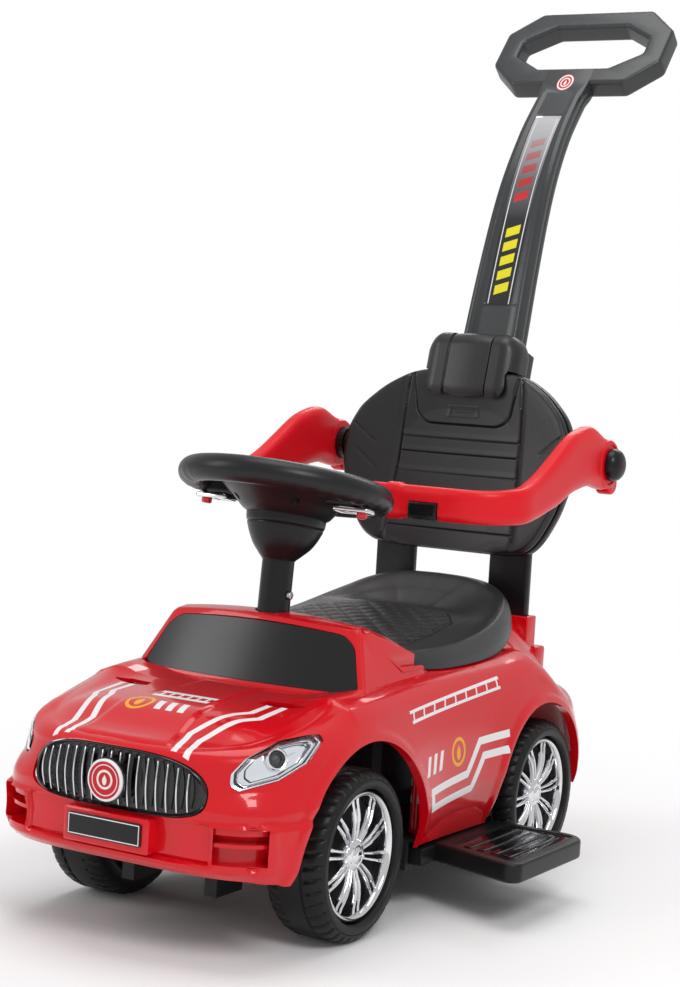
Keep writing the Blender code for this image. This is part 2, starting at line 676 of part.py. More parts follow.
def screen_block(name, margin, back, front):
    """A slab in the windscreen's outline, curved like it, between two distances out of its face."""
    height = math.dist(SCREEN_BOTTOM, SCREEN_TOP)
    rings = []
    for row in SCREEN_ROWS:
        half = SCREEN_HALF_BOTTOM + (SCREEN_HALF_TOP - SCREEN_HALF_BOTTOM) * row
        half -= corner_loss(row * height, SCREEN_ROUND[0]) + corner_loss((1 - row) * height,
                                                                         SCREEN_ROUND[1])
        ring = []
        for out, across in ((front, SCREEN_ACROSS), (back, SCREEN_ACROSS[::-1])):
            for part in across:
                x = half * part + (margin * part if abs(part) == 1 else 0.0)
                top = 1 + (screen_crown(x) + margin) / height
                ring.append(screen_skin(x, row * top - (1 - row) * margin / height, out))
        rings.append(ring)
    return loft_mesh(name, rings, strips=True)


def build_front():
    """Screen panel, grille with slats, badge, plate and lip screws."""
    panel = screen_block("windscreen_panel", 0.0, -SCREEN_SUNK - SCREEN_THICK, -SCREEN_SUNK)
    place("windscreen_panel", panel, "black_satin")
    grille = place("grille", grille_block("grille", 0.0, 0.001, 0.010), "black_gloss")
    for k in range(GRILLE_SLATS):
        x = (k - GRILLE_SLATS // 2) * SLAT_PITCH
        low, top = grille_half_height(x)
        y = nose_face_y(x, 0.15)
        slat = helper("slat", box_mesh("slat", (x - 0.0008, y - 0.004, low + 0.004),
                                       (x + 0.0008, y + 0.003, top - 0.004)))
        if abs(x) > BADGE_RADIUS + 0.006:
            join(grille, slat)
    ring = helper("badge_seat", rod_mesh("badge_seat", (0, -0.351, BADGE_Z), (0, -0.3590, BADGE_Z),
                                         BADGE_RADIUS + 0.0035, 28))
    join(grille, ring)
    badge = rod_mesh("grille_badge", (0, -0.3593, BADGE_Z), (0, -0.3620, BADGE_Z), BADGE_RADIUS, 28,
                     BADGE_RADIUS - 0.001)
    place("grille_badge", badge, "white")
    plate = box_mesh("number_plate", (-PLATE_HALF, BOSS_FRONT_Y - 0.0023, PLATE_Z[0]),
                     (PLATE_HALF, BOSS_FRONT_Y - GAP, PLATE_Z[1]))
    place("number_plate", plate, "black_gloss")
    for side, name in ((1, "bumper_screw_left"), (-1, "bumper_screw_right")):
        x, y = side * 0.060, -0.3262
        screw = place(name, rod_mesh(name, (x, y, 0.0745), (x, y, 0.0772), 0.0042, 12), "steel")
        join(screw, helper("screw_shaft", rod_mesh("screw_shaft", (x, y, 0.0760), (x, y, 0.0830), 0.0018,
                                                   10)))


def lamp_frame():
    """Axes of the left lamp: along its length towards the tip, up, and out of the body."""
    facing = Vector(LAMP_FACING).normalized()
    along = Vector((-facing.y, facing.x, 0)).normalized()
    along = (along + Vector((0, 0, LAMP_RISE))).normalized()
    upward = facing.cross(along).normalized()
    along = upward.cross(facing).normalized()
    return Matrix.Translation(LAMP_CENTRE) @ Matrix((along, upward, facing)).transposed().to_4x4()


def lamp_plug(name, margin, outer_inset, inner_inset):
    """A teardrop slice of the body's skin at the left front corner, between two depths."""
    grown = [tuple(Vector(p) * (1 + margin / Vector(p).length)) for p in LAMP_OUTLINE]
    mesh = plate_mesh(name, rounded_outline(grown, 0.004, 3), 0.060)
    mesh.transform(lamp_frame())
    plug = helper(name, mesh)
    boolean(plug, body_solid(name + "_front", outer_inset), "INTERSECT", "MANIFOLD")
    if inner_inset is not None:
        boolean(plug, body_solid(name + "_back", inner_inset), "DIFFERENCE", "MANIFOLD")
    return evaluated_mesh(name, plug)


def build_lamps(shell):
    """Headlamp bowls and lenses, and the pockets that they sit in."""
    left = [lamp_plug("lamp_pocket", 0.0006, -0.006, None),
            lamp_plug("headlight_lens", 0.0, -0.0012, 0.0016),
            lamp_plug("headlight_reflector", -0.0005, 0.0019, 0.0100)]
    right = [mirrored_mesh(mesh.name, mesh) for mesh in left]
    for word, (pocket, lens, bowl) in (("left", left), ("right", right)):
        cut(shell, helper("lamp_pocket", pocket), solver="MANIFOLD")
        place("headlight_lens_" + word, lens, "clear")
        place("headlight_reflector_" + word, bowl, "chrome")


def build_seat():
    """Saddle seat: a hollow moulding with a skirt, hinged at its front edge."""
    hinge = make_empty("seat_hinge", (0, *SEAT_HINGE), parent=FRAME)
    seat = place("seat", shell_mesh("seat", seat_rings(0.0), seat_rings(SEAT_WALL)), "black_matte",
                 parent=hinge)
    lug = helper("seat_lug", box_mesh("seat_lug", (-0.024, -0.0045, -0.0045), (0.024, 0.011, 0.0022)),
                 parent=hinge)
    join(seat, lug, solver="MANIFOLD")
    bore = rod_mesh("seat_lug_bore", (-0.05, 0, 0), (0.05, 0, 0), HINGE_PIN_RADIUS + GAP, 14)
    cut(seat, helper("seat_lug_bore", bore, parent=hinge), solver="MANIFOLD")
    place("seat_hinge_pin", rod_mesh("seat_hinge_pin", (-0.034, 0, 0), (0.034, 0, 0), HINGE_PIN_RADIUS, 14),
          "steel", parent=hinge)


def seat_rings(inset):
    """Rings of the saddle: up its skirt to the rim, down into the dish and in to the middle."""
    columns = []
    shrink = 1 - inset / 0.1
    for x, y, z in seat_edge_points():
        rear = min(max((y - 0.11) / 0.10, 0.0), 1.0)
        crest, dish = 0.17 + 0.05 * rear, 0.30 + 0.45 * rear
        y_end = min(max(y, -0.050), 0.125)
        rim, panel = keyed(SEAT_RIM, y), keyed(SEAT_PANEL, y_end)
        column = []
        for t, height in ((0.0, z), (0.03, z + 0.52 * (rim - z)), (0.09, z + 0.88 * (rim - z)),
                          (crest, rim),
                          ((crest + dish) / 2, (rim + panel) / 2), (dish, panel), (1.0, panel + 0.001)):
            y_here = y + (y_end - y) * t
            column.append((x * (1 - t) * shrink, y_here * shrink + 0.07 * (1 - shrink) - SEAT_HINGE[0],
                           height - (inset if t > 0 else 0.0) - SEAT_HINGE[1]))
        columns.append(column)
    return [side_to_side([column[level] for column in columns]) for level in range(len(columns[0]))]


def seat_bed_mesh():
    """Room for the seat's rim: a band round its lower edge, open upwards."""
    rings = []
    for reach, lift, top in ((0.65, 0.010, None), (0.94, -0.0006, None), (1.009, -0.0006, None),
                             (1.009, 0.0, 0.33)):
        half = [(x * reach, (y - 0.07) * reach + 0.07, (z + lift) if top is None else top)
                for x, y, z in seat_edge_points()]
        rings.append(side_to_side(half))
    return loft_mesh("seat_bed", rings)


def seat_edge_points(steps=2):
    """The seat's lower edge, with smooth points between its keys."""
    keys = SEAT_EDGE
    points = []
    for k in range(len(keys) - 1):
        before = keys[max(k - 1, 0)]
        after = keys[min(k + 2, len(keys) - 1)]
        for i in range(steps):
            t = i / steps
            blend = []
            for axis in range(3):
                p0, p1, p2, p3 = before[axis], keys[k][axis], keys[k + 1][axis], after[axis]
                m1, m2 = (p2 - p0) / 2, (p3 - p1) / 2
                blend.append((2 * t ** 3 - 3 * t ** 2 + 1) * p1 + (t ** 3 - 2 * t ** 2 + t) * m1
                             + (3 * t ** 2 - 2 * t ** 3) * p2 + (t ** 3 - t ** 2) * m2)
            points.append(tuple(blend))
    points.append(keys[-1])
    return points


def build_chassis():
    """The black floor: middle pan, raised plates, kingpin beam, axle lugs and footrest guides."""
    pan = place("chassis_pan", box_mesh("chassis_pan", (-0.128, -0.060, 0.0645), (0.128, 0.098, PAN_TOP)),
                "black_satin")
    beam_y = -HALF_WHEELBASE
    parts = [box_mesh("pan_middle", (-0.086, -0.070, 0.0640), (0.086, 0.1035, PAN_TOP - 0.0005)),
             box_mesh("pan_front", (-0.050, -0.300, 0.0925), (0.050, -0.062, PLATE_TOP)),
             box_mesh("pan_front_wall", (-0.0495, -0.0690, 0.0650), (0.0495, -0.0640, PLATE_TOP - 0.001)),
             box_mesh("pan_rear", (-0.080, 0.0965, 0.0915), (0.080, 0.262, PLATE_TOP)),
             box_mesh("pan_rear_wall", (-0.0795, 0.0975, 0.0650), (0.0795, 0.1025, PLATE_TOP - 0.001)),
             box_mesh("kingpin_beam", (-0.082, beam_y - 0.012, 0.0921), (0.082, beam_y + 0.012, 0.104))]
    for side in (-1, 1):
        axle_y = HALF_WHEELBASE
        parts.append(paired_box("axle_lug", (0.069, axle_y - 0.014, 0.062), (0.0795, axle_y + 0.014, 0.093),
                                side))
        parts.append(paired_box("pan_rib", (0.047, -0.0645, 0.067), (0.051, 0.0975, PLATE_TOP - 0.0005),
                                side))
        parts.append(paired_box("bumper_block", (0.037, -0.262, 0.038), (0.0495, -0.222, 0.094), side))
        parts.append(paired_box("guide_front", (0.012, -0.0685, 0.0395), (0.125, -0.0640, 0.0650), side))
        parts.append(paired_box("guide_rear", (0.012, 0.0985, 0.0395), (0.085, 0.1030, 0.0650), side))
        parts.append(paired_box("lip_front", (0.0125, -0.0650, 0.0395), (0.1245, -0.0590, 0.0415), side))
        parts.append(paired_box("lip_rear", (0.0125, 0.0930, 0.0395), (0.0845, 0.0990, 0.0415), side))
        parts.append(paired_box("guide_rib_front", (0.0125, -0.0520, 0.0616), (0.1245, -0.0490, 0.0650),
                                side))
        parts.append(paired_box("guide_rib_rear", (0.0125, 0.0800, 0.0616), (0.1245, 0.0830, 0.0650), side))
    for mesh in parts:
        join(pan, helper(mesh.name, mesh))
    front_strip = box_mesh("guide_strip", (-0.1245, -0.0690, 0.0642), (0.1245, -0.0590, PAN_TOP - 0.001))
    join(pan, helper("guide_strip", front_strip))
    bores = [rod_mesh("axle_bore", (-0.1, axle_y, WHEEL_RADIUS), (0.1, axle_y, WHEEL_RADIUS),
                      AXLE_RADIUS + GAP, 16)]
    for x in (-KINGPIN_X, KINGPIN_X):
        bores.append(rod_mesh("kingpin_bore", (x, beam_y, 0.08), (x, beam_y, 0.12), KINGPIN_RADIUS + GAP,
                              12))
    rod_y = column_point(-0.288)[1]
    bores.append(rod_mesh("rod_bore", (0, rod_y, 0.08), (0, rod_y, 0.11), ROD_RADIUS + 0.002, 12))
    for mesh in bores:
        cut(pan, helper(mesh.name, mesh))


def build_steering_links():
    """Knuckles on their kingpins, stub axles, and the tie rod that joins their arms."""
    for side, word in ((1, "left"), (-1, "right")):
        x, y = side * KINGPIN_X, -HALF_WHEELBASE
        pivot = make_empty("kingpin_" + word, (x, y, 0), parent=FRAME)
        stem = rod_mesh("knuckle", (0, 0, 0.0600), (0, 0, 0.0917), 0.0105, 14)
        knuckle = place("steering_knuckle_" + word, stem, "black_satin", parent=pivot)
        boss = paired_box("knuckle_boss", (0.004, -0.0085, 0.0665), (0.0145, 0.0085, 0.0835), side)
        arm = box_mesh("knuckle_arm", (-0.005, 0.0, ARM_Z[0]), (0.005, KNUCKLE_ARM, ARM_Z[1]))
        end = rod_mesh("knuckle_end", (0, KNUCKLE_ARM, ARM_Z[0]), (0, KNUCKLE_ARM, ARM_Z[1]), 0.005, 10)
        pin = rod_mesh("knuckle_pin", (0, KNUCKLE_ARM, ARM_Z[0] + 0.001),
                       (0, KNUCKLE_ARM, TIE_Z[0] - 0.001), 0.003, 10)
        for mesh in (boss, arm, end, pin):
            join(knuckle, helper(mesh.name, mesh, parent=pivot))
        kingpin_bore = rod_mesh("knuckle_bore", (0, 0, 0.05), (0, 0, 0.1), KINGPIN_RADIUS + GAP, 12)
        stub_bore = rod_mesh("stub_bore", (side * 0.0045, 0, WHEEL_RADIUS), (side * 0.03, 0, WHEEL_RADIUS),
                             AXLE_RADIUS + GAP, 14)
        for mesh in (kingpin_bore, stub_bore):
            cut(knuckle, helper(mesh.name, mesh, parent=pivot))
        stub = rod_mesh("stub_axle", (side * 0.0048, 0, WHEEL_RADIUS),
                        (side * (AXLE_END_X - KINGPIN_X), 0, WHEEL_RADIUS), AXLE_RADIUS, 16)
        place("stub_axle_" + word, stub, "steel", parent=pivot)
        shank = rod_mesh("kingpin_bolt", (x, y, 0.0580), (x, y, 0.110), KINGPIN_RADIUS, 16)
        bolt = place("kingpin_bolt_" + word, shank, "steel")
        join(bolt, helper("bolt_head", rod_mesh("bolt_head", (x, y, 0.0550), (x, y, 0.0595), 0.0065, 6)))
    tie_y = -HALF_WHEELBASE + KNUCKLE_ARM
    pivot = make_empty("tie_rod_pivot", (KINGPIN_X, tie_y, 0), parent=FRAME)
    flat = box_mesh("tie_rod", (-2 * KINGPIN_X, -0.0045, TIE_Z[0]), (0, 0.0045, TIE_Z[1]))
    bar = place("tie_rod", flat, "black_satin", parent=pivot)
    crank_y = column_foot()[1] + KNUCKLE_ARM - tie_y
    tab = box_mesh("tie_tab", (-KINGPIN_X - 0.007, 0, TIE_Z[0]),
                   (-KINGPIN_X + 0.007, crank_y + 0.007, TIE_Z[1]))
    ends = [rod_mesh("tie_end", (x, 0, TIE_Z[0]), (x, 0, TIE_Z[1]), 0.0068, 12)
            for x in (0, -2 * KINGPIN_X)]
    for mesh in (tab, *ends):
        join(bar, helper(mesh.name, mesh, parent=pivot))
    for x, y, radius in ((0, 0, 0.0034), (-2 * KINGPIN_X, 0, 0.0042), (-KINGPIN_X, crank_y, 0.0045)):
        cut(bar, helper("tie_bore", rod_mesh("tie_bore", (x, y, 0.04), (x, y, 0.08), radius, 12),
                        parent=pivot))
    place("rear_axle", rod_mesh("rear_axle", (-AXLE_END_X, HALF_WHEELBASE, WHEEL_RADIUS),
                                (AXLE_END_X, HALF_WHEELBASE, WHEEL_RADIUS), AXLE_RADIUS, 20), "steel")


def column_foot():
    """Where the steering axis meets the level of the crank."""
    along = (ROD_FOOT_Z - STEER_CENTRE[2]) / math.cos(STEER_LEAN)
    return column_point(along)


def wheel_profile():
    """Section of the blow-moulded wheel as (radius, distance outwards from its middle)."""
    half = WHEEL_WIDTH / 2
    bore, hub = AXLE_RADIUS + 0.0004, 0.0125
    return [(bore, HUB_FACE), (0.050, HUB_FACE), (0.0585, HUB_FACE + 0.0065), (0.0590, half),
            (0.0675, half), (0.0730, half - 0.004), (WHEEL_RADIUS, half - 0.012),
            (WHEEL_RADIUS, -half + 0.010), (0.068, -half), (0.057, -half),
            (hub + 0.002, HUB_FACE - 0.0045), (hub, -half), (bore, -half)]


def hubcap_mesh(name):
    """Chrome cap: a rim ring, a domed hub over the axle nut and ten spokes on a thin disc, about local Z."""
    lift = HUB_FACE + GAP
    profile = [(0.0085, lift), (0.0085, 0.0195), (0.0, 0.0195), (0.0, 0.0225), (0.0140, 0.0190),
               (0.0160, lift + 0.0020), (0.0475, lift + 0.0020), (0.0540, 0.0240),
               (0.0580, lift + 0.0072), (0.0496, lift)]
    cap = helper(name, turned_mesh(name, profile[::-1], WHEEL_STEPS))
    for k in range(SPOKES):
        turn = Matrix.Rotation(2 * math.pi * k / SPOKES, 4, "Z")
        foot = [(0.0135, -0.0032), (0.0500, -0.0075), (0.0500, 0.0075), (0.0135, 0.0032)]
        tops = (0.0180, 0.0205, 0.0205, 0.0180)
        low = [tuple(turn @ Vector((x, y, lift + 0.0012))) for x, y in foot]
        high = [tuple(turn @ Vector((x, y * 0.7, z))) for (x, y), z in zip(foot, tops)]
        join(cap, helper("spoke", loft_mesh("spoke", [low, high])), solver="MANIFOLD")
    return evaluated_mesh(name, cap)


def build_wheels():
    """Four wheels with their caps and the push-on nuts that keep them on the axles."""
    tyre = turned_mesh("wheel", wheel_profile()[::-1], WHEEL_STEPS)
    cap = hubcap_mesh("hubcap")
    inner, foot, top = AXLE_RADIUS + GAP, HUB_FACE + 2 * GAP, HUB_FACE + 0.0060
    nut = turned_mesh("axle_nut", [(inner, top), (0.0055, top), (0.0075, foot), (inner, foot)], 12)
    middle = WHEEL_OUTER_X - WHEEL_WIDTH / 2
    for end, y in (("front", -HALF_WHEELBASE), ("rear", HALF_WHEELBASE)):
        for side, word in ((1, "left"), (-1, "right")):
            hub = make_empty(f"hub_{end}_{word}", (side * middle, y, WHEEL_RADIUS),
                             (0, side * math.pi / 2, 0), FRAME)
            place(f"wheel_{end}_{word}", tyre.copy(), "black_satin", parent=hub)
            place(f"hubcap_{end}_{word}", cap.copy(), "chrome", parent=hub)
            place(f"axle_nut_{end}_{word}", nut.copy(), "steel", parent=hub)


def build_steering():
    """Steering rod with its crank, column with its funnel, and the tilted wheel with all that it holds."""
    axis = make_empty("steering_axis", STEER_CENTRE, (-STEER_LEAN, 0, 0), FRAME)
    foot = column_foot()
    foot_along = (foot[2] - STEER_CENTRE[2]) / math.cos(STEER_LEAN)
    bar = rod_mesh("steering_rod", (0, 0, foot_along), (0, 0, -0.035), ROD_RADIUS, 16)
    rod = place("steering_rod", bar, "steel", parent=axis)
    crank = box_mesh("crank", (-0.0045, foot[1] - 0.005, foot[2] - 0.0045),
                     (0.0045, foot[1] + KNUCKLE_ARM + 0.0045, foot[2] + 0.0005))
    pin_y = foot[1] + KNUCKLE_ARM
    pin = rod_mesh("crank_pin", (0, pin_y, foot[2] - 0.003), (0, pin_y, TIE_Z[0] - 0.001), 0.003, 14)
    join(rod, helper("crank", crank), helper("crank_pin", pin))
    tube = rod_mesh("steering_column", (0, 0, -0.180), (0, 0, -0.060), COLUMN_RADIUS, 20)
    column = place("steering_column", tube, "black_satin", parent=axis)
    join(column, helper("funnel", funnel_mesh(), parent=axis))
    bore = rod_mesh("rod_bore", (0, 0, -0.2), (0, 0, 0.02), ROD_RADIUS + GAP, 12)
    cut(column, helper("column_rod_bore", bore, parent=axis))
    along, out = -0.098, COLUMN_RADIUS
    screw_bore = rod_mesh("column_bore", (0.007, 0, along), (0.03, 0, along), 0.0022 + GAP, 10)
    cut(column, helper("column_bore", screw_bore, parent=axis))
    head = rod_mesh("column_screw", (out + GAP, 0, along), (out + 0.0028, 0, along), 0.0042, 12)
    screw = place("column_screw", head, "steel", parent=axis)
    shaft = rod_mesh("column_shaft", (0.0075, 0, along), (out + 0.001, 0, along), 0.0022, 10)
    join(screw, helper("column_shaft", shaft, parent=axis))
    tilt = make_empty("wheel_tilt", (0, 0, 0), (-WHEEL_TILT, 0, 0), axis)
    build_steering_wheel(tilt)


def leaning_ring(radius, rise, shift, sides=20):
    """A level ring in the wheel's own plane, shifted back, as it lies about the steering axis."""
    turn = Matrix.Rotation(-WHEEL_TILT, 3, "X")
    angles = [2 * math.pi * k / sides for k in range(sides)]
    return [tuple(turn @ Vector((radius * math.cos(a), shift + radius * math.sin(a), rise)))
            for a in angles]


def funnel_mesh():
    """The skirt between the column and the hub; its upper edge lies in the wheel's plane."""
    shift, rise, radius = HUB_FOOT
    sides = 20
    angles = [2 * math.pi * k / sides for k in range(sides)]
    foot = [(COLUMN_RADIUS * math.cos(a), COLUMN_RADIUS * math.sin(a)) for a in angles]
    top = leaning_ring(radius, rise - GAP, shift, sides)
    rings = []
    for t, spread in ((0.0, 0.03), (0.08, 0.16), (0.35, 0.58), (0.65, 0.85), (0.9, 0.99), (1.0, 1.0)):
        rings.append([(x + (u - x) * spread, y + (v - y) * spread, -0.067 + (w + 0.067) * t)
                      for (x, y), (u, v, w) in zip(foot, top)])
    return loft_mesh("funnel", rings)


def hub_mesh():
    """The wheel's hub: a bowl that narrows to the top of the funnel."""
    shift, rise, radius = HUB_FOOT
    rings = []
    for t, size in ((0.0, radius), (0.12, radius + 0.0040), (0.45, 0.0480), (0.80, 0.0570), (1.0, 0.0600)):
        height = rise + (-0.002 - rise) * t
        centre = shift * (1 - t)
        angles = [2 * math.pi * k / 24 for k in range(24)]
        rings.append([(size * math.cos(a), centre + size * math.sin(a), height) for a in angles])
    rings.append([(x * 0.9, y * 0.9, 0.006) for x, y, _ in rings[-1]])
    return loft_mesh("wheel_hub", rings)


def build_steering_wheel(tilt):
    major = STEER_RADIUS - STEER_TUBE
    turns = [2 * math.pi * k / 10 for k in range(10)]
    ring = [(major + STEER_TUBE * math.cos(a), STEER_TUBE * math.sin(a)) for a in turns]
    wheel = place("steering_wheel", turned_mesh("steering_wheel", ring[::-1], 30), "black_matte",
                  parent=tilt)
    join(wheel, helper("wheel_hub", hub_mesh(), parent=tilt))
    for angle, reach in ((0, -0.0130), (180, -0.0130), (270, -0.0055)):
        spoke = box_mesh("spoke_web", (0.045, -0.0110, reach), (0.0815, 0.0110, 0.0045))
        spoke.transform(Matrix.Rotation(math.radians(angle), 4, "Z"))
        join(wheel, helper("spoke_web", spoke, parent=tilt))
    cut(wheel, helper("sound_well", rod_mesh("sound_well", (0, 0, -0.0150), (0, 0, 0.03), 0.0365, 28),
                      parent=tilt))
    for side in (-1, 1):
        well = rod_mesh("hub_screw_well", (side * 0.031, -0.030, -0.03), (side * 0.031, -0.030, -0.009),
                        0.0035, 10)
        cut(wheel, helper("hub_screw_well", well, parent=tilt))
    place("sound_module", box_mesh("sound_module", (-0.024, -0.020, -0.0147), (0.024, 0.020, 0.0035)),
          "black_matte", parent=tilt)
    cover = [(0.0, 0.0045), (0.0360, 0.0045), (0.0360, 0.0085), (0.0320, 0.0120), (0.020, 0.0145),
             (0.0, 0.0150)]
    place("hub_cover", turned_mesh("hub_cover", cover[::-1], 28), "black_satin", parent=tilt)
    for side, word in ((1, "left"), (-1, "right")):
        outline = [(0.0560, -0.0105), (0.0930, -0.0080), (0.0930, 0.0080), (0.0560, 0.0105)]
        outline = [(side * x, y) for x, y in outline]
        outline = outline if side > 0 else outline[::-1]
        trim = plate_mesh("trim", rounded_outline(outline, 0.004, 3), 0.0045, 0.0010)
        piece = place("wheel_trim_" + word, trim, "chrome", (0, 0, -0.01555), parent=tilt)
        x = side * 0.0835
        well = rod_mesh("button_well", (x, 0, -0.02), (x, 0, -0.01), 0.0052, 14)
        cut(piece, helper("button_well", well, parent=tilt))
        button = rod_mesh("sound_button", (x, 0, -0.0225), (x, 0, -0.0152), 0.0048, 14)
        place("sound_button_" + word, button, "red_satin", parent=tilt)


def section_ring(centre, along, height, thick, lift=Vector((0, 0, 1)), sides=10):
    """A rounded-rectangle section square to a path."""
    across = along.cross(lift).normalized()
    up = across.cross(along).normalized()
    ring = []
    for k in range(sides):
        a = 2 * math.pi * (k + 0.5) / sides
        c, s = math.cos(a), math.sin(a)
        squash = (abs(c) ** 3.2 + abs(s) ** 3.2) ** (-1 / 3.2)
        ring.append(tuple(centre + across * (c * squash * thick / 2) + up * (s * squash * height / 2)))
    return ring


def guard_path(points=19):
    """Middle line of the left guard arm, from the pivot forwards and round the corner, with its height."""
    path = []
    for k in range(points):
        t = k / (points - 1)
        if t < 0.62:
            f = t / 0.62
            y = GUARD_PIVOT_Y - 0.004 - (GUARD_PIVOT_Y - 0.070) * f
            path.append((Vector((GUARD_X, y, keyed(GUARD_RISE, y))), keyed(GUARD_HEIGHT, y)))
        elif t < 0.84:
            a = (t - 0.62) / 0.22 * math.pi / 2
            r = 0.066 - GUARD_FRONT_Y
            y = 0.066 - r * math.sin(a)
            path.append((Vector((GUARD_X - r + r * math.cos(a), y, keyed(GUARD_RISE, y))),
                         keyed(GUARD_HEIGHT, y)))
        else:
            f = (t - 0.84 + 0.006) / (0.16 + 0.006)
            start = GUARD_X - (0.066 - GUARD_FRONT_Y)
            path.append((Vector((start * (1 - f), GUARD_FRONT_Y, GUARD_RISE[0][1])), GUARD_HEIGHT[0][1]))
    return path


def guard_half(name, to_centre):
    """Left guard arm as a loft; to_centre shortens or lengthens its straight front past the middle."""
    path = [(point, height) for point, height in guard_path() if point.x > to_centre + 0.004]
    path.append((Vector((to_centre, GUARD_FRONT_Y, GUARD_RISE[0][1])), GUARD_HEIGHT[0][1]))
    rings = []
    for k, (point, height) in enumerate(path):
        before = path[max(k - 1, 0)][0]
        after = path[min(k + 1, len(path) - 1)][0]
        along = Vector((after.x - before.x, after.y - before.y, 0)).normalized()
        rings.append(section_ring(point, along, height, GUARD_THICK))
    return loft_mesh(name, rings)


def build_guard():
    """Two guard arms that swing on the backrest, their knobs and spacers, and the latch that joins them."""
    pivot = make_empty("guard_pivot", (0, GUARD_PIVOT_Y, GUARD_PIVOT_Z), parent=FRAME)
    back = Matrix.Translation((0, -GUARD_PIVOT_Y, -GUARD_PIVOT_Z))
    for side, word in ((1, "left"), (-1, "right")):
        mesh = guard_half("guard_arm_" + word, GUARD_SPLIT_X if side > 0 else -GUARD_SPLIT_X + GAP)
        if side < 0:
            mesh = mirrored_mesh("guard_arm_right", mesh)
        mesh.transform(back)
        arm = place("guard_arm_" + word, mesh, "red_satin", parent=pivot)
        eye = rod_mesh("guard_eye", (side * (GUARD_X - 0.009), 0, 0), (side * (GUARD_X + 0.009), 0, 0),
                       0.0250, 24)
        hook = rod_mesh("guard_hook", (side * (GUARD_X - 0.008), 0.012, -0.020),
                        (side * (GUARD_X + 0.008), 0.012, -0.020), 0.0110, 14)
        join(arm, helper("guard_eye", eye, parent=pivot), helper("guard_hook", hook, parent=pivot))
        bore = rod_mesh("guard_bore", (side * 0.1, 0, 0), (side * 0.2, 0, 0), PIVOT_PIN_RADIUS + GAP, 14)
        cut(arm, helper("guard_bore", bore, parent=pivot))
        face = GUARD_X + GUARD_THICK / 2 + GAP
        shank, pin = PIVOT_PIN_X - face, PIVOT_PIN_RADIUS
        knob = [(0.0, shank), (pin, shank), (pin, 0.0), (0.0165, 0.0), (0.0165, 0.0040),
                (0.0140, 0.0095), (0.0085, 0.0125), (0.0, 0.0135)]
        place("guard_knob_" + word, turned_mesh("guard_knob", knob[::-1], 20), "black_satin",
              (side * face, GUARD_PIVOT_Y, GUARD_PIVOT_Z), (0, side * math.pi / 2, 0))
        spacer = rod_mesh("guard_spacer", (side * SPACER_IN_X, 0, 0),
                          (side * (GUARD_X - GUARD_THICK / 2 - GAP), 0, 0), 0.0175, 24)
        piece = place("guard_spacer_" + word, spacer, "black_satin", (0, GUARD_PIVOT_Y, GUARD_PIVOT_Z))
        cut(piece, helper("spacer_bore", bore.copy(), (0, GUARD_PIVOT_Y, GUARD_PIVOT_Z)))
        if side > 0:
            low, high = LATCH_BOX
            notch = box_mesh("latch_notch", (low[0] - 0.0006, low[1] - 0.004, low[2] - 0.01),
                             (high[0] + 0.0006, high[1] + 0.0040, high[2] + 0.0006))
            notch.transform(back)
            cut(arm, helper("latch_notch", notch, parent=pivot))
            latch = box_mesh("guard_latch", low, high)
            latch.transform(back)
            place("guard_latch", latch, "black_satin", parent=pivot)


def back_point(x, up, out, wrap=1.0):
    """A point on the leaning backrest: up from its foot, out towards the child; its sides wrap forward."""
    c, s = math.cos(BACK_LEAN), math.sin(BACK_LEAN)
    out += wrap * BACK_WRAP * (abs(x) / BACK_HALF) ** 2.2
    return (x, BACK_FOOT[0] + up * s - out * c, BACK_FOOT[1] + up * c + out * s)


def back_rings(sections):
    """Rings of the backrest outline at (scale, distance out, share of wrap)."""
    half = list(BACK_OUTLINE)
    outline = half + [(-x, up) for x, up in reversed(half[1:-1])]
    middle = 0.095
    return [[back_point(x * scale, middle + (up - middle) * scale, out, wrap) for x, up in outline]
            for scale, out, wrap in sections]


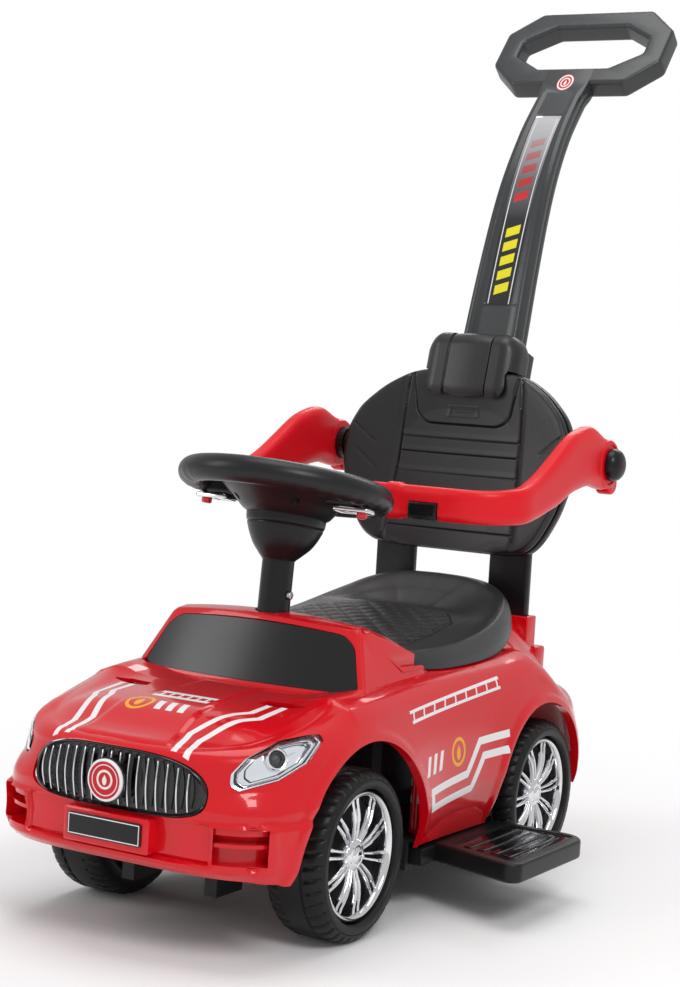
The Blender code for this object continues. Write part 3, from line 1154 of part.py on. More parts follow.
def build_backrest():
    """Bucket front shell, rear shell with its two legs and the socket for the handle, and the headrest."""
    front = back_rings(((0.30, 0.0, 1), (0.95, 0.0, 1), (1.0, 0.002, 1), (1.0, 0.006, 1),
                        (0.965, 0.0090, 1), (0.86, 0.0085, 1), (0.56, 0.0045, 1), (0.25, 0.0045, 1)))
    place("backrest_front", loft_mesh("backrest_front", front), "black_matte")
    rear = back_rings(((0.30, -GAP, 1), (0.95, -GAP, 1), (1.012, -0.002, 1), (1.012, -0.010, 0.9),
                       (0.92, -0.016, 0.7), (0.60, BACK_DEEP, 0.3), (0.30, BACK_DEEP, 0)))
    shell = place("backrest_rear", loft_mesh("backrest_rear", rear), "black_satin")
    socket = helper("handle_socket", loft_mesh("handle_socket", handle_rings(0.010, 0.0045, 0.0045, 5)[1:]))
    join(shell, socket, solver="MANIFOLD")
    for side in (-1, 1):
        leg = paired_box("leg", (0.0445, 0.2245, LEG_FOOT_Z), (0.0905, 0.2345, 0.330), side)
        ear = rod_mesh("ear", (side * 0.108, GUARD_PIVOT_Y, GUARD_PIVOT_Z),
                       (side * (SPACER_IN_X - GAP), GUARD_PIVOT_Y, GUARD_PIVOT_Z), 0.0160, 20)
        join(shell, helper("leg", leg), helper("ear", ear), solver="MANIFOLD")
    room = helper("handle_room", loft_mesh("handle_room", handle_rings(GAP, GAP, GAP, 0)))
    cut(shell, room, solver="MANIFOLD")
    for side in (-1, 1):
        pin = rod_mesh("pivot_bore", (side * (PIVOT_PIN_X - 0.001), GUARD_PIVOT_Y, GUARD_PIVOT_Z),
                       (side * 0.16, GUARD_PIVOT_Y, GUARD_PIVOT_Z), PIVOT_PIN_RADIUS + GAP, 14)
        cut(shell, helper("pivot_bore", pin), solver="MANIFOLD")
    for _, z in HANDLE_BOLTS:
        y = handle_face(z)
        bore = rod_mesh("back_bolt_bore", (0, y - BOLT_REACH - 0.0005, z), (0, y + 0.06, z),
                        BOLT_RADIUS + GAP, 12)
        cut(shell, helper("back_bolt_bore", bore), solver="MANIFOLD")
    half = [size / 2 for size in HEAD_SIZE]
    pillow = box_mesh("headrest", [-reach for reach in half], half)
    head = place("headrest", pillow, "black_matte", HEAD_CENTRE, (-HEAD_LEAN, 0, 0), smooth=60)
    bevel(head, 0.0175, 3)
    back = helper("headrest_back", loft_mesh("headrest_back", handle_rings(0.05, 0.0050, 0.02, 4)))
    resting = loft_mesh("headrest_rest", back_rings(((1.06, -0.055, 1), (1.06, 0.0095, 1))))
    rest = helper("headrest_rest", resting)
    cut(head, back, rest, solver="MANIFOLD")


def handle_rings(wider=0.0, front=0.0, back=0.0, spare=0):
    """Sections of the handle board along its curve, grown at its sides and faces; spare drops the last."""
    rings = []
    for k, (y, z, half) in enumerate(HANDLE_PATH[:len(HANDLE_PATH) - spare]):
        half += wider
        y0, z0, _ = HANDLE_PATH[max(k - 1, 0)]
        y1, z1, _ = HANDLE_PATH[min(k + 1, len(HANDLE_PATH) - 1)]
        along = Vector((0, y1 - y0, z1 - z0)).normalized()
        out = Vector((0, along.z, -along.y))
        face = Vector((0, y, z))
        edge, near, far = 0.004, -front, HANDLE_THICK + back
        section = ((-half, near + edge), (-half + edge, near), (half - edge, near), (half, near + edge),
                   (half, far - edge), (half - edge, far), (-half + edge, far), (-half, far - edge))
        rings.append([tuple(face + out * d + Vector((x, 0, 0))) for x, d in section])
    return rings


def build_handle():
    """Push handle: a curved board with a ring grip, bolted behind the backrest."""
    handle = place("push_handle", loft_mesh("push_handle", handle_rings()), "grey_dark")
    half_x, half_y, corner = 0.1025, 0.0610, 0.034
    outer = [(-half_x + corner, -half_y), (half_x - corner, -half_y), (half_x, -half_y + corner),
             (half_x, half_y - corner), (half_x - corner, half_y), (-half_x + corner, half_y),
             (-half_x, half_y - corner), (-half_x, -half_y + corner)]
    grip = 0.0255
    hole = [(x - math.copysign(grip, x), y - math.copysign(grip if abs(y) > 0.04 else grip * 0.55, y))
            for x, y in outer]
    ring = plate_mesh("grip_ring", rounded_outline(outer, 0.012, 2), 0.024, 0.006,
                      [rounded_outline(hole, 0.008, 2)[::-1]])
    join(handle, helper("grip_ring", ring, RING_CENTRE, (RING_TILT, 0, 0)), solver="MANIFOLD")
    for word, z in HANDLE_BOLTS:
        y = handle_face(z)
        seat_y = y + HANDLE_THICK + 0.0062
        bore = rod_mesh("bolt_bore", (0, y - 0.01, z), (0, y + 0.04, z), BOLT_RADIUS + GAP, 12)
        cut(handle, helper("bolt_bore", bore), solver="MANIFOLD")
        shank = rod_mesh("handle_bolt", (0, y - BOLT_REACH, z), (0, seat_y + 0.001, z), BOLT_RADIUS, 12)
        bolt = place("handle_bolt_" + word, shank, "steel")
        head = rod_mesh("handle_bolt_head", (0, seat_y, z), (0, seat_y + 0.0038, z), 0.0063, 14)
        join(bolt, helper("handle_bolt_head", head))


def handle_face(z):
    """Where the front of the handle board is at a height."""
    return keyed([(point[1], point[0]) for point in HANDLE_PATH], z)


def build_footrests():
    """Footrests that draw out sideways from under the sills."""
    for side, word in ((1, "left"), (-1, "right")):
        corners = [(FOOTREST_OUT_X, -0.0615), (FOOTREST_OUT_X, 0.0975), (0.130, 0.0975), (0.130, -0.0300)]
        plate = plate_mesh("footrest", rounded_outline(corners, [0.012, 0.024, 0.003, 0.003], 4), 0.0180,
                           0.0025)
        tread = [(0.2190, -0.0440), (0.2190, 0.0840), (0.1520, 0.0840), (0.1520, -0.0260)]
        well = plate_mesh("tread_well", rounded_outline(tread, 0.006, 3), 0.004)
        if side < 0:
            plate, well = mirrored_mesh("footrest", plate), mirrored_mesh("tread_well", well)
        piece = place("footrest_" + word, plate, "black_matte", (0, 0, 0.0520))
        tongue = paired_box("footrest_tongue", (FOOTREST_IN_X, -0.0585, 0.0435), (0.136, 0.0960, 0.0590),
                            side)
        join(piece, helper("footrest_tongue", tongue))
        cut(piece, helper("tread_well", well, (0, 0, 0.0612)))
        for k in range(4):
            x = side * (0.1645 + k * 0.0145)
            rib = box_mesh("tread_rib", (x - 0.0025, -0.022, 0.0580), (x + 0.0025, 0.070, 0.0608))
            join(piece, helper("tread_rib", rib))


def build_storage():
    """The tub under the seat, open on top, standing on the rear plate."""
    low, high = PLATE_TOP + GAP, 0.2035
    tub = place("storage_box", plate_mesh("storage_box", tub_outline(), high - low), "black_satin",
                (0, 0, (low + high) / 2))
    hollow = plate_mesh("tub_hollow", tub_outline(-0.0028), 0.14)
    cut(tub, helper("tub_hollow", hollow, (0, 0, low + 0.003 + 0.07)))


SHELL = build_body()
build_front()
build_lamps(SHELL)
build_seat()
build_chassis()
build_steering_links()
build_wheels()
build_steering()
build_guard()
build_backrest()
build_handle()
build_footrests()
build_storage()
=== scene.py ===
import json
import logging
import math
from dataclasses import dataclass
from enum import Enum

import bmesh
import bpy
import numpy as np
from mathutils import Matrix, Vector
from mathutils.bvhtree import BVHTree

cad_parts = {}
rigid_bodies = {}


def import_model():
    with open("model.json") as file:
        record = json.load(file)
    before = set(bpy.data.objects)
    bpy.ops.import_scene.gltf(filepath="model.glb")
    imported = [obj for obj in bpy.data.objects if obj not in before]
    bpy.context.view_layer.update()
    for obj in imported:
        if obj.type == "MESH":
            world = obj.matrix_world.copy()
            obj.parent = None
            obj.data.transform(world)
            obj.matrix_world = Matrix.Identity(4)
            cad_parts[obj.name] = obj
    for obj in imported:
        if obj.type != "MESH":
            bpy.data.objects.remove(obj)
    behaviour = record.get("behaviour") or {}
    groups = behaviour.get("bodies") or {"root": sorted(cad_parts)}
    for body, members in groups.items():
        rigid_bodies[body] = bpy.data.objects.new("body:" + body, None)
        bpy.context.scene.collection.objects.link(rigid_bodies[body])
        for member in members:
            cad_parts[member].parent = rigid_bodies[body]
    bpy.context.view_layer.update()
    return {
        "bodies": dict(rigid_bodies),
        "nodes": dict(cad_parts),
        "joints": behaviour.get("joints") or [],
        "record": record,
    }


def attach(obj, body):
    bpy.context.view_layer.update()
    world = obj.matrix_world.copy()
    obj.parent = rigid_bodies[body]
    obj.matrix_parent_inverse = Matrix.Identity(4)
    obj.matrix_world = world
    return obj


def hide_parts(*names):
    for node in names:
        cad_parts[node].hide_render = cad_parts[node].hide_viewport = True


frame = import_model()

log = logging.getLogger("ride_on_car")

Mesh, Material, Socket = bpy.types.Mesh, bpy.types.Material, bpy.types.NodeSocket
Point = tuple[float, float, float]
Keys = tuple[tuple[float, float], ...]

CAR_SHIFT = Vector((0.0, -0.083, 0.0))
GAP = 0.0003


class Side(Enum):
    """A side of the car, as the sign of its x."""

    LEFT = 1
    RIGHT = -1

    @property
    def word(self) -> str:
        """The side's name as it stands in the names of pieces."""
        return self.name.lower()


class Join(Enum):
    """What one solid does to another."""

    CUT = "DIFFERENCE"
    ADD = "UNION"
    KEEP = "INTERSECT"


def keyed(keys: Keys, at: float) -> float:
    """Smooth value at a position without overshoot.

    Args:
        keys: Pairs of position and value, in order.
        at: The position asked for.

    Returns:
        The value there, held level before the first key and after the last.
    """
    if at <= keys[0][0]:
        return keys[0][1]
    if at >= keys[-1][0]:
        return keys[-1][1]
    k = max(i for i in range(len(keys) - 1) if keys[i][0] <= at)

    def slope(i: int) -> float:
        """Slope of the curve at one key."""
        if i <= 0 or i >= len(keys) - 1:
            return 0.0 if len(keys) > 2 else (keys[1][1] - keys[0][1]) / (keys[1][0] - keys[0][0])
        left = (keys[i][1] - keys[i - 1][1]) / (keys[i][0] - keys[i - 1][0])
        right = (keys[i + 1][1] - keys[i][1]) / (keys[i + 1][0] - keys[i][0])
        return 0.0 if left * right <= 0 else 2 * left * right / (left + right)

    (x0, y0), (x1, y1) = keys[k], keys[k + 1]
    span = x1 - x0
    t = (at - x0) / span
    return (y0 * (1 + 2 * t) * (1 - t) ** 2 + slope(k) * span * t * (1 - t) ** 2
            + y1 * t * t * (3 - 2 * t) - slope(k + 1) * span * t * t * (1 - t))


def eased(low: float, high: float, value: np.ndarray) -> np.ndarray:
    """Smooth step from 0 at low to 1 at high, for whole arrays."""
    t = np.clip((value - low) / (high - low), 0.0, 1.0)
    return t * t * (3 - 2 * t)


def groove(distance: np.ndarray, half: float) -> np.ndarray:
    """A rounded furrow: 1 at distance 0, falling to 0 at half."""
    return 1 - eased(0.0, half, np.abs(distance))


def rounded_outline(points: list, radius: float | list, steps: int = 4) -> list:
    """A polygon with its corners rounded to arcs.

    Args:
        points: Corners in order.
        radius: One radius, or one for each corner.
        steps: Parts of each arc.

    Returns:
        The outline's points.
    """
    count = len(points)
    radii = radius if isinstance(radius, list) else [radius] * count
    outline = []
    for i in range(count):
        before, here, after = (Vector(points[(i + k) % count]) for k in (-1, 0, 1))
        into, out = (before - here).normalized(), (after - here).normalized()
        half = into.angle(out) / 2
        if radii[i] <= 0:
            outline.append(tuple(here))
            continue
        reach = radii[i] / math.tan(half)
        centre = here + (into + out).normalized() * radii[i] / math.sin(half)
        first, last = here + into * reach - centre, here + out * reach - centre
        sweep = first.angle_signed(last)
        for k in range(steps + 1):
            outline.append(tuple(centre + Matrix.Rotation(-sweep * k / steps, 2) @ first))
    return outline


def posed(at: Point, axis: str = "X", degrees: float = 0.0) -> Matrix:
    """A turn about one axis, then a move to a point."""
    return Matrix.Translation(at) @ Matrix.Rotation(math.radians(degrees), 4, axis)


def circle(radius: float, count: int) -> list:
    """Points round the origin."""
    angles = (2 * math.pi * k / count for k in range(count))
    return [(radius * math.cos(a), radius * math.sin(a)) for a in angles]


def linked(name: str, data: bpy.types.ID) -> bpy.types.Object:
    """A new object in the scene.

    Args:
        name: Its name.
        data: Its mesh, curve, light or camera.

    Returns:
        The object.
    """
    obj = bpy.data.objects.new(name, data)
    bpy.context.scene.collection.objects.link(obj)
    return obj


def both_halves(columns: list) -> np.ndarray:
    """Closed rings, as levels x points x 3, from the columns of their left half.

    Args:
        columns: Rows of points from the outer edge in to the centre line.

    Returns:
        The rings.
    """
    half = np.array(columns).transpose(1, 0, 2)
    other = half[:, -2:0:-1].copy()
    other[:, :, 0] *= -1
    return np.concatenate([half, other], 1)


def add_node(tree: bpy.types.NodeTree, kind: str, settings: dict, inputs: dict) -> bpy.types.Node:
    """Add a node to a tree.

    Args:
        tree: The tree of a material, a world or Geometry Nodes.
        kind: The node's type.
        settings: Its own properties, set first; stops are those of its ramp.
        inputs: Values or links, by socket name or number.

    Returns:
        The node.
    """
    made = tree.nodes.new(kind)
    for key, value in settings.items():
        if key != "stops":
            setattr(made, key, value)
            continue
        for _ in value[2:]:
            made.color_ramp.elements.new(0.5)
        for element, (at, colour) in zip(made.color_ramp.elements, value):
            element.position, element.color = at, (*colour, 1)
    for key, value in inputs.items():
        if isinstance(value, Socket):
            tree.links.new(value, made.inputs[key])
        else:
            made.inputs[key].default_value = value
    return made


class Draft:
    """Makes, joins and turns plain meshes before they become pieces of the car."""

    @staticmethod
    def tidy(work: bmesh.types.BMesh, name: str) -> Mesh:
        """Merge doubles, point the faces outwards and hand the mesh over.

        Args:
            work: The mesh being made; it is freed.
            name: Name of the finished mesh.

        Returns:
            The finished mesh.
        """
        bmesh.ops.remove_doubles(work, verts=work.verts, dist=1e-6)
        bmesh.ops.recalc_face_normals(work, faces=work.faces)
        mesh = bpy.data.meshes.new(name)
        work.to_mesh(mesh)
        work.free()
        return mesh

    @staticmethod
    def box(low: Point, high: Point) -> Mesh:
        """A block between two corners.

        Args:
            low: Lowest corner.
            high: Highest corner.

        Returns:
            The block.
        """
        work = bmesh.new()
        bmesh.ops.create_cube(work, size=1)
        bmesh.ops.scale(work, vec=[high[i] - low[i] for i in range(3)], verts=work.verts)
        bmesh.ops.translate(work, vec=[(high[i] + low[i]) / 2 for i in range(3)], verts=work.verts)
        return Draft.tidy(work, "box")

    @staticmethod
    def rod(start: Point, end: Point, radius: float, sides: int = 32,
            end_radius: float | None = None) -> Mesh:
        """A round bar or cone between two points.

        Args:
            start: Middle of its first end.
            end: Middle of its other end.
            radius: Radius of the first end.
            sides: Faces round it.
            end_radius: Radius of the other end, if it differs.

        Returns:
            The bar.
        """
        first, last = Vector(start), Vector(end)
        along = last - first
        turn = along.to_track_quat("Z", "Y").to_matrix().to_4x4()
        work = bmesh.new()
        bmesh.ops.create_cone(work, cap_ends=True, segments=sides, radius1=radius,
                              radius2=radius if end_radius is None else end_radius,
                              depth=along.length, matrix=Matrix.Translation((first + last) / 2) @ turn)
        return Draft.tidy(work, "rod")

    @staticmethod
    def web(work: bmesh.types.BMesh, rings: list, loop: bool = True) -> list:
        """Add points in rows with faces between the rows, and hand back the rows.

        Args:
            work: The mesh being made.
            rings: Rows of points.
            loop: Whether each row closes on itself.

        Returns:
            The rows of vertices.
        """
        rows = [[work.verts.new(point) for point in ring] for ring in rings]
        count = len(rows[0])
        for lower, upper in zip(rows, rows[1:]):
            for i in range(count if loop else count - 1):
                j = (i + 1) % count
                work.faces.new((lower[i], lower[j], upper[j], upper[i]))
        return rows

    @staticmethod
    def loft(rings: list, strips: bool = False, ends: bool = True) -> Mesh:
        """Skin between rings of equal count.

        Args:
            rings: Closed rings of points.
            strips: Close the ends with strips, for a curved slab.
            ends: Close the ends at all.

        Returns:
            The mesh, faces outwards.
        """
        work = bmesh.new()
        rows = Draft.web(work, rings)
        count = len(rows[0])
        for row in (rows[0], rows[-1]) if ends else ():
            if strips:
                for i in range(count // 2 - 1):
                    work.faces.new((row[i], row[i + 1], row[count - 2 - i], row[count - 1 - i]))
            else:
                work.faces.new(row)
        return Draft.tidy(work, "loft")

    @staticmethod
    def shell(outer: list, inner: list) -> Mesh:
        """A hollow form from outer and inner rings, joined round the open foot.

        Args:
            outer: Rings of the outside, the open foot first.
            inner: Rings of the inside, likewise.

        Returns:
            The mesh.
        """
        work = bmesh.new()
        feet = [Draft.web(work, rings)[0] for rings in (outer, inner)]
        for a, b, c, d in zip(feet[0], feet[0][1:] + feet[0][:1], feet[1][1:] + feet[1][:1], feet[1]):
            work.faces.new((a, b, c, d))
        return Draft.tidy(work, "shell")

    @staticmethod
    def round_web(rings: list) -> Mesh:
        """A mesh over closed rings that lead round to the first again; what lies on the axis stays bare.

        Args:
            rings: Closed rings of equal count.

        Returns:
            The mesh.
        """
        work = bmesh.new()
        rows = [[work.verts.new(point) for point in ring] for ring in rings]
        for here, there in zip(rows, rows[1:] + rows[:1]):
            for a, b, c, d in zip(here, there, there[1:] + there[:1], here[1:] + here[:1]):
                if a.co != b.co or c.co != d.co:
                    work.faces.new((a, b, c, d))
        return Draft.tidy(work, "round_web")

    @staticmethod
    def turned(profile: list, steps: int = 96) -> Mesh:
        """A closed profile of radius and height, turned about Z."""
        angles = [2 * math.pi * k / steps for k in range(steps)]
        return Draft.round_web([[(r * math.cos(a), r * math.sin(a), z) for r, z in profile] for a in angles])

    @staticmethod
    def plate(outline: list, thickness: float, bevel: float = 0.0, holes: tuple = (),
              rounds: int = 3) -> Mesh:
        """A flat outline with holes, given its thickness and rounded edges.

        Args:
            outline: Points of its edge.
            thickness: Its thickness.
            bevel: Width of the rounded edges.
            holes: Outlines of its holes.
            rounds: Steps of the rounding.

        Returns:
            The plate, with its middle at height 0.
        """
        curve = bpy.data.curves.new("outline", "CURVE")
        curve.dimensions = "2D"
        curve.fill_mode = "BOTH"
        curve.extrude = thickness / 2 - bevel
        curve.bevel_depth = bevel
        curve.bevel_resolution = rounds
        curve.offset = -bevel
        for ring in (outline, *holes):
            spline = curve.splines.new("POLY")
            spline.points.add(len(ring) - 1)
            for point, (x, y) in zip(spline.points, ring):
                point.co = (x, y, 0, 1)
            spline.use_cyclic_u = True
        return Draft.settled(linked("outline", curve))

    @staticmethod
    def board(corners: list, radius: float | list, arcs: int, thickness: float, bevel: float = 0.0,
              rounds: int = 3, at: Point = (0, 0, 0)) -> Mesh:
        """A plate with rounded corners, moved to its place.

        Args:
            corners: Its corners in order.
            radius: One radius, or one for each corner.
            arcs: Parts of each arc.
            thickness: Its thickness.
            bevel: Width of the rounded edges.
            rounds: Steps of the rounding.
            at: Where its middle goes.

        Returns:
            The plate.
        """
        plate = Draft.plate(rounded_outline(corners, radius, arcs), thickness, bevel, (), rounds)
        return Draft.placed(plate, posed(at))

    @staticmethod
    def settled(obj: bpy.types.Object) -> Mesh:
        """The shape of a loose object with its modifiers applied; the object goes.

        Args:
            obj: The object.

        Returns:
            A plain mesh.
        """
        graph = bpy.context.evaluated_depsgraph_get()
        graph.update()
        mesh = bpy.data.meshes.new_from_object(obj.evaluated_get(graph))
        bpy.data.objects.remove(obj, do_unlink=True)
        work = bmesh.new()
        work.from_mesh(mesh)
        bpy.data.meshes.remove(mesh)
        return Draft.tidy(work, "settled")

    @staticmethod
    def placed(mesh: Mesh, matrix: Matrix) -> Mesh:
        """The mesh moved by a matrix, with its faces still outwards.

        Args:
            mesh: The mesh.
            matrix: Where it goes.

        Returns:
            The same mesh.
        """
        mesh.transform(matrix)
        if matrix.determinant() < 0:
            mesh.flip_normals()
        return mesh

    @staticmethod
    def sided(mesh: Mesh, side: Side) -> Mesh:
        """A copy of a left-hand mesh for one side of the car."""
        return Draft.placed(mesh.copy(), Matrix.Scale(side.value, 4, (1, 0, 0)))

    @staticmethod
    def together(meshes: list) -> Mesh:
        """Several meshes as one, without joining their volumes.

        Args:
            meshes: The meshes.

        Returns:
            One mesh.
        """
        work = bmesh.new()
        for mesh in meshes:
            work.from_mesh(mesh)
        joined = bpy.data.meshes.new("together")
        work.to_mesh(joined)
        work.free()
        return joined

    @staticmethod
    def worked(mesh: Mesh, how: Join, tools: list, exact: bool = False) -> Mesh:
        """A solid after others have cut it, joined it or kept part of it.

        Args:
            mesh: The solid worked on.
            how: What the tools do.
            tools: The other solids.
            exact: Use the slower solver.

        Returns:
            The resulting solid.
        """
        obj = linked("worked", mesh)
        others = [linked("tool", tool) for tool in tools]
        for other in others:
            modifier = obj.modifiers.new("step", "BOOLEAN")
            modifier.object = other
            modifier.operation = how.value
            modifier.solver = "EXACT" if exact else "MANIFOLD"
        result = Draft.settled(obj)
        for other in others:
            bpy.data.objects.remove(other, do_unlink=True)
        return result

    @staticmethod
    def softened(mesh: Mesh, width: float, segments: int = 3, angle: float = 30) -> Mesh:
        """A mesh with its edges rounded.

        Args:
            mesh: The mesh.
            width: Width of the rounding.
            segments: Its steps.
            angle: Edges over this angle in degrees are rounded.

        Returns:
            The rounded mesh.
        """
        obj = linked("softened", mesh)
        edges = obj.modifiers.new("edges", "BEVEL")
        edges.width = width
        edges.segments = segments
        edges.limit_method = "ANGLE"
        edges.angle_limit = math.radians(angle)
        edges.miter_outer = "MITER_ARC"
        return Draft.settled(obj)


def grid_normals(grid: np.ndarray) -> np.ndarray:
    """Unit normals of a grid of points in closed rings, from the steps to its neighbours."""
    normal = np.cross(np.roll(grid, -1, 1) - np.roll(grid, 1, 1), np.gradient(grid, axis=0))
    return normal / np.maximum(np.linalg.norm(normal, axis=2, keepdims=True), 1e-12)


class Tree:
    """A Geometry Nodes tree with named inputs, run on a mesh and turned into a plain mesh."""

    def __init__(self, name: str, sizes: dict) -> None:
        """Start a tree.

        Args:
            name: Name of the tree.
            sizes: Its named number inputs with their values.
        """
        self.group = bpy.data.node_groups.new(name, "GeometryNodeTree")
        self.group.interface.new_socket(name="Geometry", in_out="INPUT", socket_type="NodeSocketGeometry")
        self.sizes = sizes
        self.keys = {}
        for label, value in sizes.items():
            kind = "NodeSocketInt" if isinstance(value, int) else "NodeSocketFloat"
            socket = self.group.interface.new_socket(name=label, in_out="INPUT", socket_type=kind)
            self.keys[label] = socket.identifier
        finish = self.group.interface.new_socket(name="Finish", in_out="INPUT",
                                                 socket_type="NodeSocketMaterial")
        self.keys["Finish"] = finish.identifier
        self.group.interface.new_socket(name="Geometry", in_out="OUTPUT", socket_type="NodeSocketGeometry")
        self.entry = self.group.nodes.new("NodeGroupInput")

    def node(self, kind: str, settings: dict, inputs: dict) -> bpy.types.Node:
        """Add a node with its settings, then the values or links of its inputs."""
        return add_node(self.group, kind, settings, inputs)

    def close(self, geometry: Socket) -> None:
        """End the tree: instances made real, and the finish set.

        Args:
            geometry: What comes out of the tree.
        """
        real = self.node("GeometryNodeRealizeInstances", {}, {"Geometry": geometry})
        dressed = self.node("GeometryNodeSetMaterial", {}, {"Geometry": real.outputs[0],
                                                            "Material": self.entry.outputs["Finish"]})
        end = self.group.nodes.new("NodeGroupOutput")
        self.group.links.new(dressed.outputs[0], end.inputs[0])

    def run(self, mesh: Mesh, finish: Material) -> Mesh:
        """Run the tree on a mesh.

        Args:
            mesh: What goes in.
            finish: Material of what comes out.

        Returns:
            A plain mesh, faces outwards.
        """
        obj = linked("guide", mesh)
        modifier = obj.modifiers.new("tree", "NODES")
        modifier.node_group = self.group
        for label, value in self.sizes.items():
            modifier[self.keys[label]] = value
        modifier[self.keys["Finish"]] = finish
        return Draft.settled(obj)


def sweep_tree(width: float, depth: float) -> Tree:
    """A tree that gives each edge path of a mesh a rectangular section.

    Args:
        width: Width of the section.
        depth: Its depth.

    Returns:
        The tree.
    """
    tree = Tree("swept_bars", {"Width": width, "Depth": depth})
    path = tree.node("GeometryNodeMeshToCurve", {}, {"Mesh": tree.entry.outputs["Geometry"]})
    section = tree.node("GeometryNodeCurvePrimitiveQuadrilateral", {},
                        {"Width": tree.entry.outputs["Width"], "Height": tree.entry.outputs["Depth"]})
    swept = tree.node("GeometryNodeCurveToMesh", {}, {"Curve": path.outputs[0],
                                                      "Profile Curve": section.outputs[0],
                                                      "Fill Caps": True})
    tree.close(swept.outputs[0])
    return tree


def ring_tree(count: int) -> Tree:
    """A tree that repeats a mesh about Z.

    Args:
        count: How many copies.

    Returns:
        The tree.
    """
    tree = Tree("repeated_round", {"Count": count, "Full Turn": 2 * math.pi})
    line = tree.node("GeometryNodeMeshLine", {}, {"Count": tree.entry.outputs["Count"],
                                                  "Offset": (0, 0, 0)})
    index = tree.node("GeometryNodeInputIndex", {}, {})
    part = tree.node("ShaderNodeMath", {"operation": "DIVIDE"}, {0: index.outputs[0],
                                                                 1: tree.entry.outputs["Count"]})
    angle = tree.node("ShaderNodeMath", {"operation": "MULTIPLY"}, {0: part.outputs[0],
                                                                    1: tree.entry.outputs["Full Turn"]})
    turn = tree.node("ShaderNodeCombineXYZ", {}, {"Z": angle.outputs[0]})
    copies = tree.node("GeometryNodeInstanceOnPoints", {}, {"Points": line.outputs[0],
                                                            "Instance": tree.entry.outputs["Geometry"],
                                                            "Rotation": turn.outputs[0]})
    tree.close(copies.outputs[0])
    return tree


def path_mesh(paths: list) -> Mesh:
    """Open paths of points as one mesh of edges.

    Args:
        paths: Rows of points.

    Returns:
        A mesh without faces.
    """
    mesh = bpy.data.meshes.new("paths")
    points, edges = [], []
    for path in paths:
        edges += [(len(points) + k, len(points) + k + 1) for k in range(len(path) - 1)]
        points += [tuple(point) for point in path]
    mesh.from_pydata(points, edges, [])
    return mesh


class Signal:
    """A shader socket that takes part in arithmetic, each step a Math node."""

    def __init__(self, paint: "Paint", socket: Socket) -> None:
        """Wrap one output socket of a material."""
        self.paint = paint
        self.socket = socket

    def maths(self, operation: str, *values: "Signal | float") -> "Signal":
        """One Math node on these values, in order.

        Args:
            operation: What the node does.
            values: Its inputs.

        Returns:
            The result.
        """
        inputs = {k: v.socket if isinstance(v, Signal) else v for k, v in enumerate(values)}
        node = self.paint.node("ShaderNodeMath", {"operation": operation}, inputs)
        return Signal(self.paint, node.outputs[0])

    def __add__(self, other: "Signal | float") -> "Signal":
        """Sum."""
        return self.maths("ADD", self, other)

    def __radd__(self, other: float) -> "Signal":
        """Sum with a number in front."""
        return self.maths("ADD", other, self)

    def __sub__(self, other: "Signal | float") -> "Signal":
        """Difference."""
        return self.maths("SUBTRACT", self, other)

    def __rsub__(self, other: float) -> "Signal":
        """Difference from a number."""
        return self.maths("SUBTRACT", other, self)

    def __mul__(self, other: "Signal | float") -> "Signal":
        """Product."""
        return self.maths("MULTIPLY", self, other)

    def __rmul__(self, other: float) -> "Signal":
        """Product with a number in front."""
        return self.maths("MULTIPLY", other, self)

    def __truediv__(self, other: "Signal | float") -> "Signal":
        """Quotient."""
        return self.maths("DIVIDE", self, other)

    def size(self) -> "Signal":
        """Value without its sign."""
        return self.maths("ABSOLUTE", self)

    def least(self, other: "Signal | float") -> "Signal":
        """The smaller of two values."""
        return self.maths("MINIMUM", self, other)

    def most(self, other: "Signal | float") -> "Signal":
        """The larger of two values."""
        return self.maths("MAXIMUM", self, other)

    def ranged(self, low: float, high: float, first: float, last: float) -> "Signal":
        """A smooth step from one value to another between two edges.

        Args:
            low: Where the step starts.
            high: Where it ends.
            first: Value before it.
            last: Value after it.

        Returns:
            The result.
        """
        node = self.paint.node("ShaderNodeMapRange", {"interpolation_type": "SMOOTHSTEP"},
                               {"Value": self.socket, "From Min": low, "From Max": high,
                                "To Min": first, "To Max": last})
        return Signal(self.paint, node.outputs[0])

    def above(self, edge: float, soft: float = 0.0003) -> "Signal":
        """1 above an edge and 0 below it, over a soft width."""
        return self.ranged(edge - soft, edge + soft, 0.0, 1.0)

    def below(self, edge: float, soft: float = 0.0003) -> "Signal":
        """1 below an edge and 0 above it, over a soft width."""
        return self.ranged(edge - soft, edge + soft, 1.0, 0.0)

    def within(self, low: float, high: float, soft: float = 0.0003) -> "Signal":
        """1 between two edges."""
        return (self - (low + high) / 2).size().below((high - low) / 2, soft)

    def bars(self, first: float, pitch: float, count: int, half: float) -> "Signal":
        """Equal bars at a pitch, the first of them centred at a value.

        Args:
            first: Middle of the first bar.
            pitch: Distance from bar to bar.
            count: How many bars.
            half: Half of a bar's width.

        Returns:
            A mask, 1 on the bars.
        """
        last = first + pitch * (count - 1)
        near = (self - first).maths("WRAP", self - first, pitch / 2, -pitch / 2)
        return near.size().below(half) * self.within(first - pitch / 2, last + pitch / 2)


